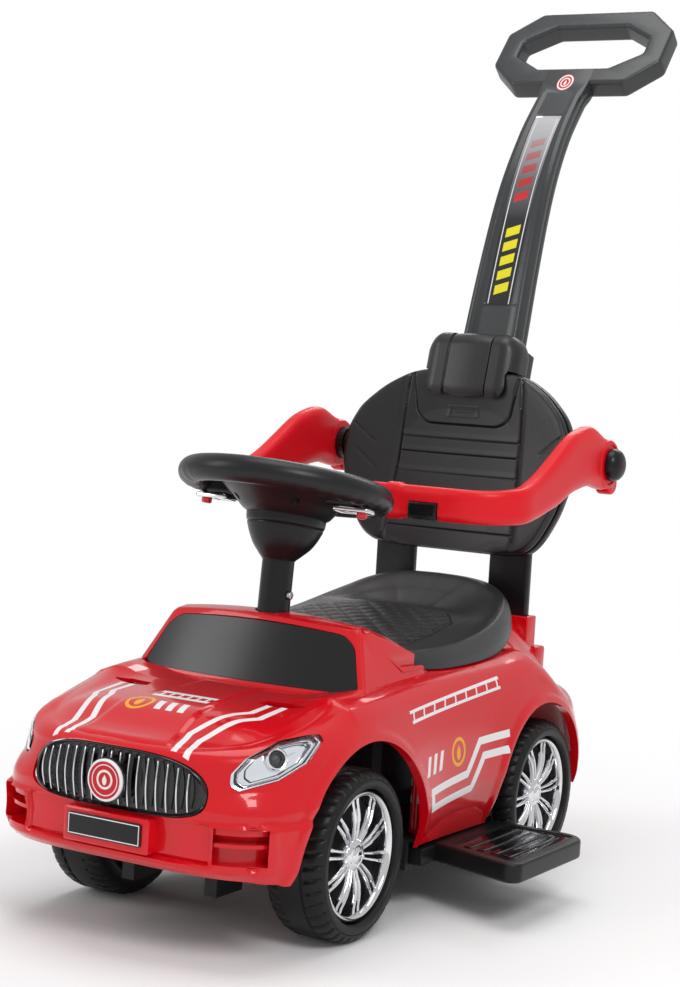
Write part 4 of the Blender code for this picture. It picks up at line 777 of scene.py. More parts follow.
class Paint:
    """One procedural material: its nodes and the shader at their end."""

    def __init__(self, name: str) -> None:
        """Start a material with a Principled shader.

        Args:
            name: Name of the material.
        """
        self.material = bpy.data.materials.new(name)
        self.material.use_nodes = True
        self.tree = self.material.node_tree
        self.shader = self.tree.nodes["Principled BSDF"]
        self._place = None

    def node(self, kind: str, settings: dict, inputs: dict) -> bpy.types.Node:
        """Add a node, its inputs given as values, sockets or signals."""
        inputs = {key: v.socket if isinstance(v, Signal) else v for key, v in inputs.items()}
        return add_node(self.tree, kind, settings, inputs)

    @property
    def place(self) -> tuple:
        """Object coordinates in metres from the middle of the wheelbase: across, along and up.

        Returns:
            The three values.
        """
        if self._place is None:
            where = self.node("ShaderNodeTexCoord", {}, {})
            moved = self.node("ShaderNodeVectorMath", {"operation": "SUBTRACT"},
                              {0: where.outputs["Object"], 1: tuple(CAR_SHIFT)})
            parts = self.node("ShaderNodeSeparateXYZ", {}, {0: moved.outputs[0]})
            self.spot = moved.outputs[0]
            self._place = tuple(Signal(self, parts.outputs[k]) for k in range(3))
        return self._place

    def facing(self) -> tuple:
        """The surface's normal as three values.

        Returns:
            Its parts along x, y and z.
        """
        geometry = self.node("ShaderNodeNewGeometry", {}, {})
        parts = self.node("ShaderNodeSeparateXYZ", {}, {0: geometry.outputs["Normal"]})
        return tuple(Signal(self, parts.outputs[k]) for k in range(3))

    def attribute(self, name: str) -> Signal:
        """A number that the mesh holds for each of its points."""
        return Signal(self, self.node("ShaderNodeAttribute", {"attribute_name": name}, {}).outputs["Fac"])

    def noise(self, scale: float, detail: float = 2.0) -> Signal:
        """Smooth random values over the surface, from 0 to 1.

        Args:
            scale: Waves per metre.
            detail: How many finer layers.

        Returns:
            The values.
        """
        assert self.place
        node = self.node("ShaderNodeTexNoise", {}, {"Vector": self.spot, "Scale": scale, "Detail": detail})
        return Signal(self, node.outputs[0])

    def cells(self, scale: float) -> Signal:
        """Distance to the nearest cell centre, for grain.

        Args:
            scale: Cells per metre.

        Returns:
            The distance.
        """
        assert self.place
        node = self.node("ShaderNodeTexVoronoi", {"feature": "F1"}, {"Vector": self.spot, "Scale": scale})
        return Signal(self, node.outputs[0])

    def mixed(self, mask: Signal, first: "Point | Socket",
              second: "Point | Socket") -> Socket:
        """The first colour where a mask is 0 and the second where it is 1.

        Args:
            mask: What mixes the colours.
            first: Colour at 0.
            second: Colour at 1.

        Returns:
            The mixed colour.
        """
        inputs = {0: mask}
        for key, colour in ((6, first), (7, second)):
            inputs[key] = colour if isinstance(colour, Socket) else (*colour, 1)
        return self.node("ShaderNodeMix", {"data_type": "RGBA"}, inputs).outputs[2]

    def bump(self, height: Signal, distance: float, strength: float = 1.0) -> None:
        """Give the surface a fine relief.

        Args:
            height: The relief.
            distance: Metres for a height of 1.
            strength: Share of it that shows.
        """
        node = self.node("ShaderNodeBump", {}, {"Height": height, "Distance": distance,
                                                "Strength": strength})
        self.tree.links.new(node.outputs[0], self.shader.inputs["Normal"])

    def set(self, socket: str, value: "Signal | Socket | float | Point") -> None:
        """Set or link one socket of the shader.

        Args:
            socket: Its name.
            value: A number, a colour or a link.
        """
        target = self.shader.inputs[socket]
        if isinstance(value, Signal):
            value = value.socket
        if isinstance(value, Socket):
            self.tree.links.new(value, target)
        elif isinstance(value, tuple):
            target.default_value = (*value, 1)
        else:
            target.default_value = value

    def stroke(self, across: Signal, along: Signal, points: list, half: float) -> Signal:
        """A painted line of one width through points.

        Args:
            across: First coordinate.
            along: Second coordinate.
            points: The line's corners.
            half: Half of its width.

        Returns:
            A mask, 1 on the line.
        """
        mask = None
        last = len(points) - 2
        for k, ((x0, y0), (x1, y1)) in enumerate(zip(points, points[1:])):
            length = math.dist((x0, y0), (x1, y1))
            ux, uy = (x1 - x0) / length, (y1 - y0) / length
            du, dv = across - x0, along - y0
            reach = du * ux + dv * uy
            aside = (du * -uy + dv * ux).size()
            start, end = (0.0 if k == 0 else -half * 0.4), (length if k == last else length + half * 0.4)
            part = aside.below(half, 0.00025) * reach.within(start, end, 0.00025)
            mask = part if mask is None else mask.most(part)
        return mask


@dataclass(frozen=True)
class MouldedPlastic:
    """A plain moulded plastic with fine grain.

    Grain is the height of the texture in metres; its scale is in grains per metre.
    """

    name: str
    colour: Point
    roughness: float
    grain: float = 0.00002
    scale: float = 900.0
    coat: float = 0.0
    lift: float = 0.12
    shine: float = 0.30

    def material(self) -> Material:
        """Build the material.

        Returns:
            The material.
        """
        paint = Paint(self.name)
        paint.set("Specular IOR Level", self.shine)
        broad = paint.noise(14.0, 3.0)
        fine = paint.noise(self.scale, 2.0)
        deep = tuple(c * (1 - self.lift) for c in self.colour)
        pale = tuple(min(c * (1 + self.lift), 1.0) for c in self.colour)
        paint.set("Base Color", paint.mixed(broad, deep, pale))
        paint.set("Roughness", self.roughness + (broad - 0.5) * 0.10 + (fine - 0.5) * 0.06)
        paint.set("Coat Weight", self.coat)
        paint.set("Coat Roughness", 0.06)
        paint.bump(fine, self.grain)
        return paint.material


@dataclass(frozen=True)
class LeatherLook:
    """Black moulded plastic grained like leather, as on the seat and the backrest."""

    name: str
    colour: Point
    roughness: float = 0.42
    pitch: float = 0.0

    def stitching(self, paint: Paint) -> Signal:
        """Painted shade in the furrows of a quilted panel, as double lines and the seam round it; 1 in the
        furrows.

        Args:
            paint: The material being made.

        Returns:
            A mask.
        """
        x, y, _ = paint.place
        half = paint.node("ShaderNodeValToRGB", {"stops": [(0.000, (0.78,) * 3), (0.244, (0.86,) * 3),
                                                           (0.465, (0.86,) * 3), (0.700, (0.80,) * 3),
                                                           (0.880, (0.55,) * 3), (0.975, (0.10,) * 3)]},
                          {"Fac": (y + 0.075) / 0.222})
        end = (Signal(paint, half.outputs[0]) * 0.1 - x.size()).least((y * -1 + 0.141) * 1.2)
        lines = None
        for way in (0.90, -0.90):
            value = x + y * way
            near = value.maths("WRAP", value, self.pitch / 2, -self.pitch / 2).size()
            line = (near - 0.0013).size().below(0.0005, 0.0004)
            lines = line if lines is None else lines.most(line)
        return (lines * end.above(0.0012, 0.0004)).most(end.size().below(0.0010, 0.0006))

    def material(self) -> Material:
        """Build the material.

        Returns:
            The material.
        """
        paint = Paint(self.name)
        paint.set("Specular IOR Level", 0.50)
        broad = paint.noise(11.0, 3.0)
        pebble = paint.cells(620.0)
        fine = paint.noise(1500.0, 2.0)
        deep = tuple(c * 0.82 for c in self.colour)
        pale = tuple(c * 1.2 for c in self.colour)
        colour, relief = paint.mixed(broad, deep, pale), pebble * 0.00007 + fine * 0.00003
        if self.pitch:
            lines = self.stitching(paint)
            # the furrows are painted near-black as the shade in them, and the bump sinks them
            colour, relief = paint.mixed(lines, colour, (0.001, 0.001, 0.001)), relief - lines * 0.0009
        paint.set("Base Color", colour)
        paint.set("Roughness", self.roughness + (broad - 0.5) * 0.08 + (pebble - 0.4) * 0.08)
        paint.bump(relief, 1.0)
        return paint.material


@dataclass(frozen=True)
class PlatedChrome:
    """Bright plating with faint unevenness."""

    name: str
    colour: Point = (0.80, 0.80, 0.82)
    roughness: float = 0.07

    def material(self) -> Material:
        """Build the material.

        Returns:
            The material.
        """
        paint = Paint(self.name)
        broad = paint.noise(38.0, 2.0)
        fine = paint.noise(700.0, 2.0)
        deep = tuple(c * 0.93 for c in self.colour)
        paint.set("Base Color", paint.mixed(broad, deep, self.colour))
        paint.set("Metallic", 1.0)
        paint.set("Roughness", self.roughness + broad * 0.05 + fine * 0.02)
        paint.bump(broad, 0.00025, 0.5)
        return paint.material


@dataclass(frozen=True)
class BareSteel:
    """Zinc-plated steel of screws, pins and axles."""

    name: str
    roughness: float = 0.30

    def material(self) -> Material:
        """Build the material.

        Returns:
            The material.
        """
        paint = Paint(self.name)
        broad = paint.noise(60.0, 3.0)
        fine = paint.noise(1800.0, 3.0)
        paint.set("Base Color", paint.mixed(broad, (0.42, 0.42, 0.44), (0.60, 0.60, 0.61)))
        paint.set("Metallic", 1.0)
        paint.set("Roughness", self.roughness + (fine - 0.5) * 0.16)
        paint.bump(fine, 0.00001)
        return paint.material


@dataclass(frozen=True)
class ClearLens:
    """The clear moulding over a headlamp."""

    name: str

    def material(self) -> Material:
        """Build the material.

        Returns:
            The material.
        """
        paint = Paint(self.name)
        broad = paint.noise(30.0, 2.0)
        paint.set("Base Color", paint.mixed(broad, (0.93, 0.95, 0.97), (0.97, 0.98, 1.0)))
        paint.set("Roughness", 0.02 + broad * 0.02)
        paint.set("Transmission Weight", 1.0)
        paint.set("IOR", 1.12)
        paint.set("Coat Weight", 0.35)
        paint.set("Coat Roughness", 0.02)
        return paint.material


@dataclass(frozen=True)
class RedBody:
    """Gloss red shell with the white stripes and signs of its decals painted on."""

    name: str
    red: Point = (0.70, 0.0018, 0.0090)
    white: Point = (0.86, 0.85, 0.86)
    yellow: Point = (0.86, 0.42, 0.012)
    hood_inner: tuple = ((0.0545, -0.3440), (0.0500, -0.3150), (0.0580, -0.2940), (0.0640, -0.2720),
                         (0.0720, -0.2580), (0.0715, -0.2290))
    hood_outer: tuple = ((0.0665, -0.3440), (0.0640, -0.3215), (0.0700, -0.3010), (0.0765, -0.2800),
                         (0.0850, -0.2650), (0.0850, -0.2265))
    side_upper: tuple = ((-0.0680, 0.1140), (0.0060, 0.1210), (0.0300, 0.1485), (0.0860, 0.1500))
    side_lower: tuple = ((-0.0600, 0.0990), (0.0160, 0.1060), (0.0380, 0.1340), (0.0815, 0.1350))

    def side_signs(self, paint: Paint, y: Signal, z: Signal) -> tuple:
        """White and yellow masks of the decals on the body's sides.

        Args:
            paint: The material being made.
            y: Place along the car.
            z: Height.

        Returns:
            The two masks.
        """
        white = paint.stroke(y, z, list(self.side_upper), 0.0036)
        white = white.most(paint.stroke(y, z, list(self.side_lower), 0.0036))
        white = white.most(paint.stroke(y, z, [(-0.0645, 0.1175), (-0.0600, 0.0955)], 0.0034))
        rail = [((-0.1040, 0.1905), (0.0770, 0.2030)), ((-0.1000, 0.1815), (0.0775, 0.1940))]
        for start, end in rail:
            white = white.most(paint.stroke(y, z, [start, end], 0.0014))
        rungs = y.bars(-0.0960, 0.0210, 9, 0.0013) * (z - y * 0.069).within(0.1889, 0.1974)
        leaning = (y - z * 0.25).bars(-0.1076, 0.0130, 3, 0.0030)
        white = white.most(rungs).most(leaning * (z - y * 0.08).within(0.1355, 0.1530))
        yellow = self.ring_sign(y + 0.0118, z - 0.1440, 0.0135)
        return white, yellow

    @staticmethod
    def ring_sign(u: Signal, v: Signal, radius: float) -> Signal:
        """A ring with a plain bell-shaped drop in it.

        Args:
            u: Place across the sign.
            v: Place up the sign.
            radius: Radius of the ring.

        Returns:
            A mask.
        """
        away = (u * u + v * v).maths("SQRT", u * u + v * v)
        ring = (away - radius * 0.88).size().below(radius * 0.12)
        drop = ((u * u * 2.4 + (v + radius * 0.14) * (v + radius * 0.14))).below((radius * 0.42) ** 2,
                                                                              radius ** 2 * 0.02)
        point = (u.size() * 1.7 + v).below(radius * 0.50) * v.above(0.0)
        return ring.most(drop).most(point * u.size().below(radius * 0.3))

    def hood_signs(self, paint: Paint, x: Signal, y: Signal) -> tuple:
        """White and yellow masks of the decals on the bonnet.

        Args:
            paint: The material being made.
            x: Place across the car.
            y: Place along the car.

        Returns:
            The two masks.
        """
        aside = x.size()
        white = paint.stroke(aside, y, list(self.hood_inner), 0.0028)
        white = white.most(paint.stroke(aside, y, list(self.hood_outer), 0.0028))
        for low, high in ((-0.2500, -0.2440), (-0.2640, -0.2580)):
            white = white.most(x.within(-0.0270, 0.0300) * y.within(low, high))
        white = white.most(x.bars(-0.0215, 0.0092, 6, 0.0013) * y.within(-0.2640, -0.2440))
        leaning = (x + (y + 0.285) * 0.25).bars(-0.0020, 0.0120, 3, 0.0032)
        white = white.most(leaning * y.within(-0.2950, -0.2770))
        yellow = self.ring_sign(x + 0.0225, (y + 0.2860) * 0.9, 0.0125)
        return white, yellow

    def material(self) -> Material:
        """Build the material.

        Returns:
            The material.
        """
        paint = Paint(self.name)
        x, y, z = paint.place
        nx, _, nz = paint.facing()
        broad = paint.noise(9.0, 2.0)
        ripple = paint.noise(26.0, 1.0)
        fine = paint.noise(900.0, 1.0)
        deep = tuple(c * 0.90 for c in self.red)
        colour = paint.mixed(broad, deep, self.red)
        outside = nx.size().above(0.5, 0.05) * x.size().above(0.1, 0.001)
        on_side = outside * y.within(-0.12, 0.10, 0.001) * z.below(0.2120, 0.0008)
        on_hood = nz.above(0.30, 0.05) * y.within(-0.36, -0.2262, 0.0003) * z.above(0.1690, 0.0004)
        white, yellow = self.side_signs(paint, y, z)
        top_white, top_yellow = self.hood_signs(paint, x, y)
        white = (white * on_side).most(top_white * on_hood)
        yellow = (yellow * on_side).most(top_yellow * on_hood)
        colour = paint.mixed(white, colour, self.white)
        colour = paint.mixed(yellow, colour, self.yellow)
        signs = white.most(yellow)
        paint.set("Base Color", colour)
        paint.set("Specular IOR Level", 0.18)
        paint.set("Roughness", 0.20 + ripple * 0.05 + signs * 0.10)
        paint.set("Coat Weight", 0.60 - signs * 0.38)
        paint.set("Coat Roughness", 0.035)
        paint.bump(ripple * 0.9 + fine * 0.02, 0.0005, 0.6)
        return paint.material


@dataclass(frozen=True)
class HandlePlastic:
    """Dark grain of the push handle with the printed strip and the small round sign let into its face.

    The strip is known by two attributes of the mesh: across the board and up along it, in metres.
    """

    name: str
    colour: Point = (0.030, 0.032, 0.034)
    foot: float = 0.224
    length: float = 0.237
    sign: Point = (0.0, 0.4303, 0.8218)
    tilt: float = math.radians(50)
    half: float = 0.0150

    def material(self) -> Material:
        """Build the material.

        Returns:
            The material.
        """
        paint = Paint(self.name)
        across, along, strip = (paint.attribute(name) for name in ("across", "along", "strip"))
        strip = strip.above(0.5, 0.2)
        broad = paint.noise(14.0, 3.0)
        fine = paint.noise(1100.0, 2.0)
        plastic = paint.mixed(broad, tuple(c * 0.8 for c in self.colour),
                              tuple(c * 1.25 for c in self.colour))
        share = (along - self.foot) / self.length
        ramp = paint.node("ShaderNodeValToRGB", {"stops": [(0.0, (0.012, 0.012, 0.013)),
                                                           (0.42, (0.018, 0.018, 0.020)),
                                                           (0.62, (0.17, 0.17, 0.18)),
                                                           (0.86, (0.50, 0.50, 0.52)),
                                                           (1.0, (0.62, 0.62, 0.64))]}, {"Fac": share})
        lines = (across.size() - (self.half - 0.0028)).size().below(0.00055)
        print_colour = paint.mixed(lines * share.within(0.01, 0.985, 0.003), ramp.outputs[0],
                                   (0.82, 0.82, 0.84))
        leaning = along - self.foot - across * 0.35
        yellow = leaning.bars(0.020, 0.0165, 5, 0.0052)
        red = leaning.bars(0.128, 0.0175, 5, 0.0052) * share.ranged(0.45, 0.98, 1.0, 0.25)
        middle = across.size().below(0.0078)
        print_colour = paint.mixed(yellow * middle, print_colour, (0.80, 0.72, 0.010))
        print_colour = paint.mixed(red * middle, print_colour, (0.62, 0.030, 0.035))
        x, y, z = paint.place
        ahead, above = y - self.sign[1], z - self.sign[2]
        u, v = x, ahead * math.cos(self.tilt) + above * math.sin(self.tilt)
        out = above * math.cos(self.tilt) - ahead * math.sin(self.tilt)
        away = (u * u + v * v * 0.55).maths("SQRT", u * u + v * v * 0.55)
        disc = away.below(0.0098)
        rim = (away - 0.0084).size().below(0.0008)
        drop = RedBody.ring_sign(u, v * 0.74, 0.0056)
        sign = paint.mixed(rim.most(drop), (0.60, 0.012, 0.020), (0.85, 0.85, 0.86))
        facing = out.size().below(0.0024)
        colour = paint.mixed(strip, plastic, print_colour)
        paint.set("Base Color", paint.mixed(disc * facing, colour, sign))
        paint.set("Metallic", strip * share.within(0.55, 1.2, 0.1) * 0.5)
        gloss = strip.most(disc * facing)
        paint.set("Specular IOR Level", 0.55)
        paint.set("Roughness", 0.27 + (broad - 0.5) * 0.08 - gloss * 0.12)
        paint.bump(fine, 0.00002)
        return paint.material


@dataclass(frozen=True)
class BadgeFace:
    """The round sign in the grille: red with a white rim and a plain ringed drop."""

    name: str
    centre_z: float
    radius: float

    def material(self) -> Material:
        """Build the material.

        Returns:
            The material.
        """
        paint = Paint(self.name)
        x, _, z = paint.place
        v = z - self.centre_z
        away = (x * x + v * v).maths("SQRT", x * x + v * v)
        rim = away.above(self.radius * 0.885)
        thin = (away - self.radius * 0.72).size().below(self.radius * 0.022)
        sign = RedBody.ring_sign(x, v - 0.0005, self.radius * 0.46)
        broad = paint.noise(60.0, 2.0)
        red = paint.mixed(broad, (0.50, 0.008, 0.020), (0.58, 0.012, 0.026))
        colour = paint.mixed(rim.most(thin), red, (0.86, 0.86, 0.87))
        paint.set("Base Color", paint.mixed(sign, colour, (0.88, 0.80, 0.74)))
        paint.set("Specular IOR Level", 0.3)
        paint.set("Roughness", 0.20 + broad * 0.06)
        paint.bump(rim, 0.0002)
        return paint.material


@dataclass(frozen=True)
class PlateFace:
    """The bare plate: gloss black with a thin white line round it."""

    name: str
    low: tuple
    high: tuple

    def material(self) -> Material:
        """Build the material.

        Returns:
            The material.
        """
        paint = Paint(self.name)
        x, _, z = paint.place
        middle = (self.low[1] + self.high[1]) / 2
        u = (x.size() - self.high[0]) * -1
        v = ((z - middle).size() - (self.high[1] - middle)) * -1
        edge = u.least(v)
        line = edge.within(0.0011, 0.0019, 0.00012)
        broad = paint.noise(50.0, 2.0)
        black = paint.mixed(broad, (0.008, 0.008, 0.009), (0.014, 0.014, 0.015))
        paint.set("Base Color", paint.mixed(line, black, (0.84, 0.84, 0.85)))
        paint.set("Specular IOR Level", 0.3)
        paint.set("Roughness", 0.24 + broad * 0.06)
        paint.bump(line, 0.0001)
        return paint.material


class Car:
    """The finished pieces: names them, places them and lets them ride on their bodies."""

    def __init__(self, nodes: dict) -> None:
        """Keep the CAD nodes and count what is added.

        Args:
            nodes: The CAD's objects by their node names.
        """
        self.nodes = nodes
        self.dressed: set = set()
        self.count = 0

    def add(self, name: str, mesh: Mesh, body: str, finish: Material, slot: str,
            stands_for: tuple = (), sharp: float = 35.0) -> bpy.types.Object:
        """Make a mesh a piece of the car.

        Args:
            name: Name of the piece.
            mesh: Its shape, measured from the middle of the wheelbase.
            body: CAD body that it rides on.
            finish: Its material.
            slot: Material slot of the record; not used.
            stands_for: CAD nodes that it replaces.
            sharp: Edges over this angle in degrees stay sharp.

        Returns:
            The piece.
        """
        mesh.transform(Matrix.Translation(CAR_SHIFT))
        mesh.name = name
        mesh.materials.clear()
        mesh.materials.append(finish)
        for face in mesh.polygons:
            face.material_index = 0
        mesh.shade_smooth()
        mesh.set_sharp_from_angle(angle=math.radians(sharp))
        piece = linked(name, mesh)
        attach(piece, body)
        if stands_for:
            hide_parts(*stands_for)
            self.dressed.update(stands_for)
        self.count += 1
        log.info("%s: %d faces on %s", name, len(mesh.polygons), body)
        return piece

    def dress(self, finish: Material, *names: str) -> None:
        """Give CAD nodes that stay a procedural finish.

        Args:
            finish: The material.
            names: The nodes.
        """
        for name in names:
            mesh = self.nodes[name].data
            for k in range(max(len(mesh.materials), 1)):
                if k < len(mesh.materials):
                    mesh.materials[k] = finish
                else:
                    mesh.materials.append(finish)
            self.dressed.add(name)


@dataclass
class BodySkin:
    """The red shell's outer surface, as rings from the sill up and in to the centre line."""

    nose_centre: float = -0.200
    tail_centre: float = 0.160
    nose_power: Keys = ((0.063, 4.4), (0.115, 4.4), (0.150, 3.0), (0.175, 2.7), (0.200, 3.1))
    tail_power: float = 4.0
    spine_front: float = -0.335
    spine_rear: float = 0.262
    waist: float = 0.003
    half_width: Keys = ((0.063, 0.1395), (0.075, 0.143), (0.09, 0.1465), (0.12, 0.1475), (0.15, 0.146),
                        (0.18, 0.142), (0.20, 0.137), (0.22, 0.131), (0.245, 0.120))
    nose_y: Keys = ((0.063, -0.325), (0.076, -0.338), (0.084, -0.348), (0.10, -0.346), (0.125, -0.350),
                    (0.175, -0.352))
    tail_y: Keys = ((0.063, 0.296), (0.080, 0.308), (0.106, 0.312), (0.134, 0.305), (0.165, 0.285),
                    (0.19, 0.262))
    sill_z: Keys = ((-0.355, 0.076), (-0.29, 0.073), (-0.20, 0.064), (0.10, 0.063), (0.22, 0.070),
                    (0.31, 0.085))
    shoulder_z: Keys = ((-0.355, 0.177), (-0.33, 0.182), (-0.30, 0.189), (-0.25, 0.200), (-0.20, 0.209),
                        (-0.15, 0.214), (-0.06, 0.217), (0.10, 0.219), (0.15, 0.221), (0.19, 0.212),
                        (0.22, 0.192), (0.25, 0.178), (0.31, 0.178))
    shoulder_round: Keys = ((0.0, 0.008), (0.5, 0.018), (1.0, 0.030), (2.0, 0.030), (2.5, 0.022),
                            (3.0, 0.014))
    spine_z: Keys = ((-0.335, 0.181), (-0.282, 0.199), (-0.20, 0.204), (-0.146, 0.206), (-0.06, 0.217),
                     (0.10, 0.224), (0.16, 0.240), (0.20, 0.262), (0.235, 0.248), (0.255, 0.222),
                     (0.262, 0.208))
    front_arch: Point = (-0.183, 0.066, 0.110)
    rear_arch: Point = (0.163, 0.075, 0.0955)

    def plan_point(self, station: float, z: float, inset: float) -> tuple:
        """Plan position of the skin; station runs 0 nose, 1 and 2 the ends of the side, 3 tail.

        Args:
            station: Place round half of the plan.
            z: Height.
            inset: Depth below the outside.

        Returns:
            Its x and y.
        """
        half = keyed(self.half_width, z) - inset
        nose = self.nose_centre - keyed(self.nose_y, z) - inset
        tail = keyed(self.tail_y, z) - self.tail_centre - inset
        if station < 1:
            a = station * math.pi / 2
            power = 2 / keyed(self.nose_power, z)
            return half * math.sin(a) ** power, self.nose_centre - nose * math.cos(a) ** power
        if station > 2:
            a = (station - 2) * math.pi / 2
            power = 2 / self.tail_power
            return (half * max(0.0, math.cos(a)) ** power, self.tail_centre + tail * math.sin(a) ** power)
        along = station - 1
        y = self.nose_centre + (self.tail_centre - self.nose_centre) * along
        return half - self.waist * math.sin(math.pi * along) ** 2, y

    def face_y(self, x: float, z: float) -> float:
        """Where the nose is at a distance from the centre.

        Args:
            x: Distance from the centre.
            z: Height.

        Returns:
            Its y.
        """
        half = keyed(self.half_width, z)
        nose = self.nose_centre - keyed(self.nose_y, z)
        power = keyed(self.nose_power, z)
        return self.nose_centre - nose * (1 - min(abs(x) / half, 1.0) ** power) ** (1 / power)

    def stations(self, counts: tuple) -> list:
        """Stations round half of the plan, spaced evenly along the skin in each of its three parts.

        Args:
            counts: Steps along nose, side and tail.

        Returns:
            The stations from 0 to 3.
        """
        made = []
        for part, count in enumerate(counts):
            fine = [part + k / 400 for k in range(401)]
            walk = [self.plan_point(min(s, 3.0), 0.12, 0) for s in fine]
            length = [0.0]
            for a, b in zip(walk, walk[1:]):
                length.append(length[-1] + math.dist(a, b))
            for k in range(count):
                made.append(float(np.interp(length[-1] * k / count, length, fine)))
        return made + [3.0]

    def rings(self, inset: float = 0.0, foot: float | None = None, counts: tuple = (8, 7, 6),
              lift: int = 4, arc: int = 3, inward: int = 4) -> np.ndarray:
        """Rings of the skin from the sill up and in to the centre line.

        Args:
            inset: Depth below the outside.
            foot: Level of the lowest ring, or the sill if left out.
            counts: Steps along nose, side and tail.
            lift: Steps up the side.
            arc: Steps round the shoulder.
            inward: Steps from the shoulder to the centre.

        Returns:
            Levels x points x 3.
        """
        columns = []
        for s in self.stations(counts):
            radius = max(keyed(self.shoulder_round, s) - inset / 2, 0.003)
            _, y_here = self.plan_point(s, 0.12, 0)
            top = keyed(self.shoulder_z, y_here) - inset
            low = keyed(self.sill_z, y_here) if foot is None else foot
            column = []
            for k in range(lift + 1):
                z = low + (top - radius - low) * k / lift
                column.append((*self.plan_point(s, z, inset), z))
            x_side, y_side = self.plan_point(s, top - radius, inset)
            x_in, y_in = self.plan_point(s, top - radius, inset + radius)
            for k in range(1, arc + 1):
                a = k * math.pi / 2 / arc
                f = 1 - math.cos(a)
                column.append((x_side + (x_in - x_side) * f, y_side + (y_in - y_side) * f,
                               top - radius + radius * math.sin(a)))
            y_spine = min(max(y_in, self.spine_front + inset), self.spine_rear - inset)
            z_spine = keyed(self.spine_z, y_spine) - inset
            for k in range(1, inward + 1):
                t = k / inward
                rise = 1 - (1 - t) ** 4
                column.append((x_in * (1 - t), y_in + (y_spine - y_in) * t, top + (z_spine - top) * rise))
            columns.append(column)
        return both_halves(columns)

    def relief(self, grid: np.ndarray, normal: np.ndarray) -> np.ndarray:
        """How far each point of the outside stands proud of the plain skin.

        Args:
            grid: Points of the skin.
            normal: Normals there.

        Returns:
            Heights in metres, negative inwards.
        """
        x, y, z = np.abs(grid[..., 0]), grid[..., 1], grid[..., 2]
        up, aside = normal[..., 2], np.abs(normal[..., 0])
        edge = np.interp(y, (-0.335, -0.3238, -0.2976, -0.2653, -0.2228, -0.17),
                         (0.0440, 0.0412, 0.0386, 0.0362, 0.0279, 0.0285))
        on_top = eased(0.35, 0.6, up) * eased(-0.345, -0.325, y) * (1 - eased(-0.185, -0.165, y))
        rise = 0.0016 * on_top * (1 - eased(0.0, 0.0035, x - edge))
        power = 0.0022 * on_top * (1 - eased(0.0, 0.020, np.abs(x - 0.112 + (y + 0.25) * 0.1)))
        height = rise + power
        for yc, zc, radius in (self.front_arch, self.rear_arch):
            away = np.hypot(y - yc, z - zc) - radius
            flank = eased(0.35, 0.6, aside) * eased(0.085, 0.10, x)
            lip = 0.0026 * (1 - eased(0.0045, 0.0095, np.abs(away)))
            flare = 0.0030 * np.exp(-(np.maximum(away, 0) / 0.030) ** 2)
            height = height + flank * (lip + flare)
        crease = 0.0985 + (y + 0.07) * 0.105
        sill = np.maximum(crease - z, 0.0) * eased(-0.095, -0.080, y) * (1 - eased(0.075, 0.09, y))
        height = height - 0.16 * sill * eased(0.4, 0.7, aside)
        front = eased(0.55, 0.8, -normal[..., 1])
        mouth = (1 - eased(0.0905, 0.0940, x)) * eased(0.0870, 0.0900, z) * (1 - eased(0.1175, 0.1215, z))
        height = height - 0.0064 * mouth * front
        level = eased(0.0840, 0.0910, z) * (1 - eased(0.1175, 0.1250, z)) * (y < -0.24)
        channel = eased(0.1215, 0.1230, x) * (1 - eased(0.1272, 0.1290, x))
        blade = eased(0.1285, 0.1305, x) * (1 - eased(0.1345, 0.1385, x))
        height = height + level * (0.0024 * blade - 0.0050 * channel)
        corner = eased(0.030, 0.075, x) * (y < -0.24)
        ledge = eased(0.1185, 0.1235, z) * (1 - eased(0.1235, 0.1330, z))
        height = height - 0.0022 * corner * ledge * (1 - eased(0.4, 0.9, up))
        return height

    def solid(self, inset: float, foot: float = 0.07) -> Mesh:
        """The body's outside as a closed block, for pieces that follow the skin."""
        return Draft.loft([ring for ring in self.rings(inset, foot, (26, 20, 14), 10, 5, 10)])


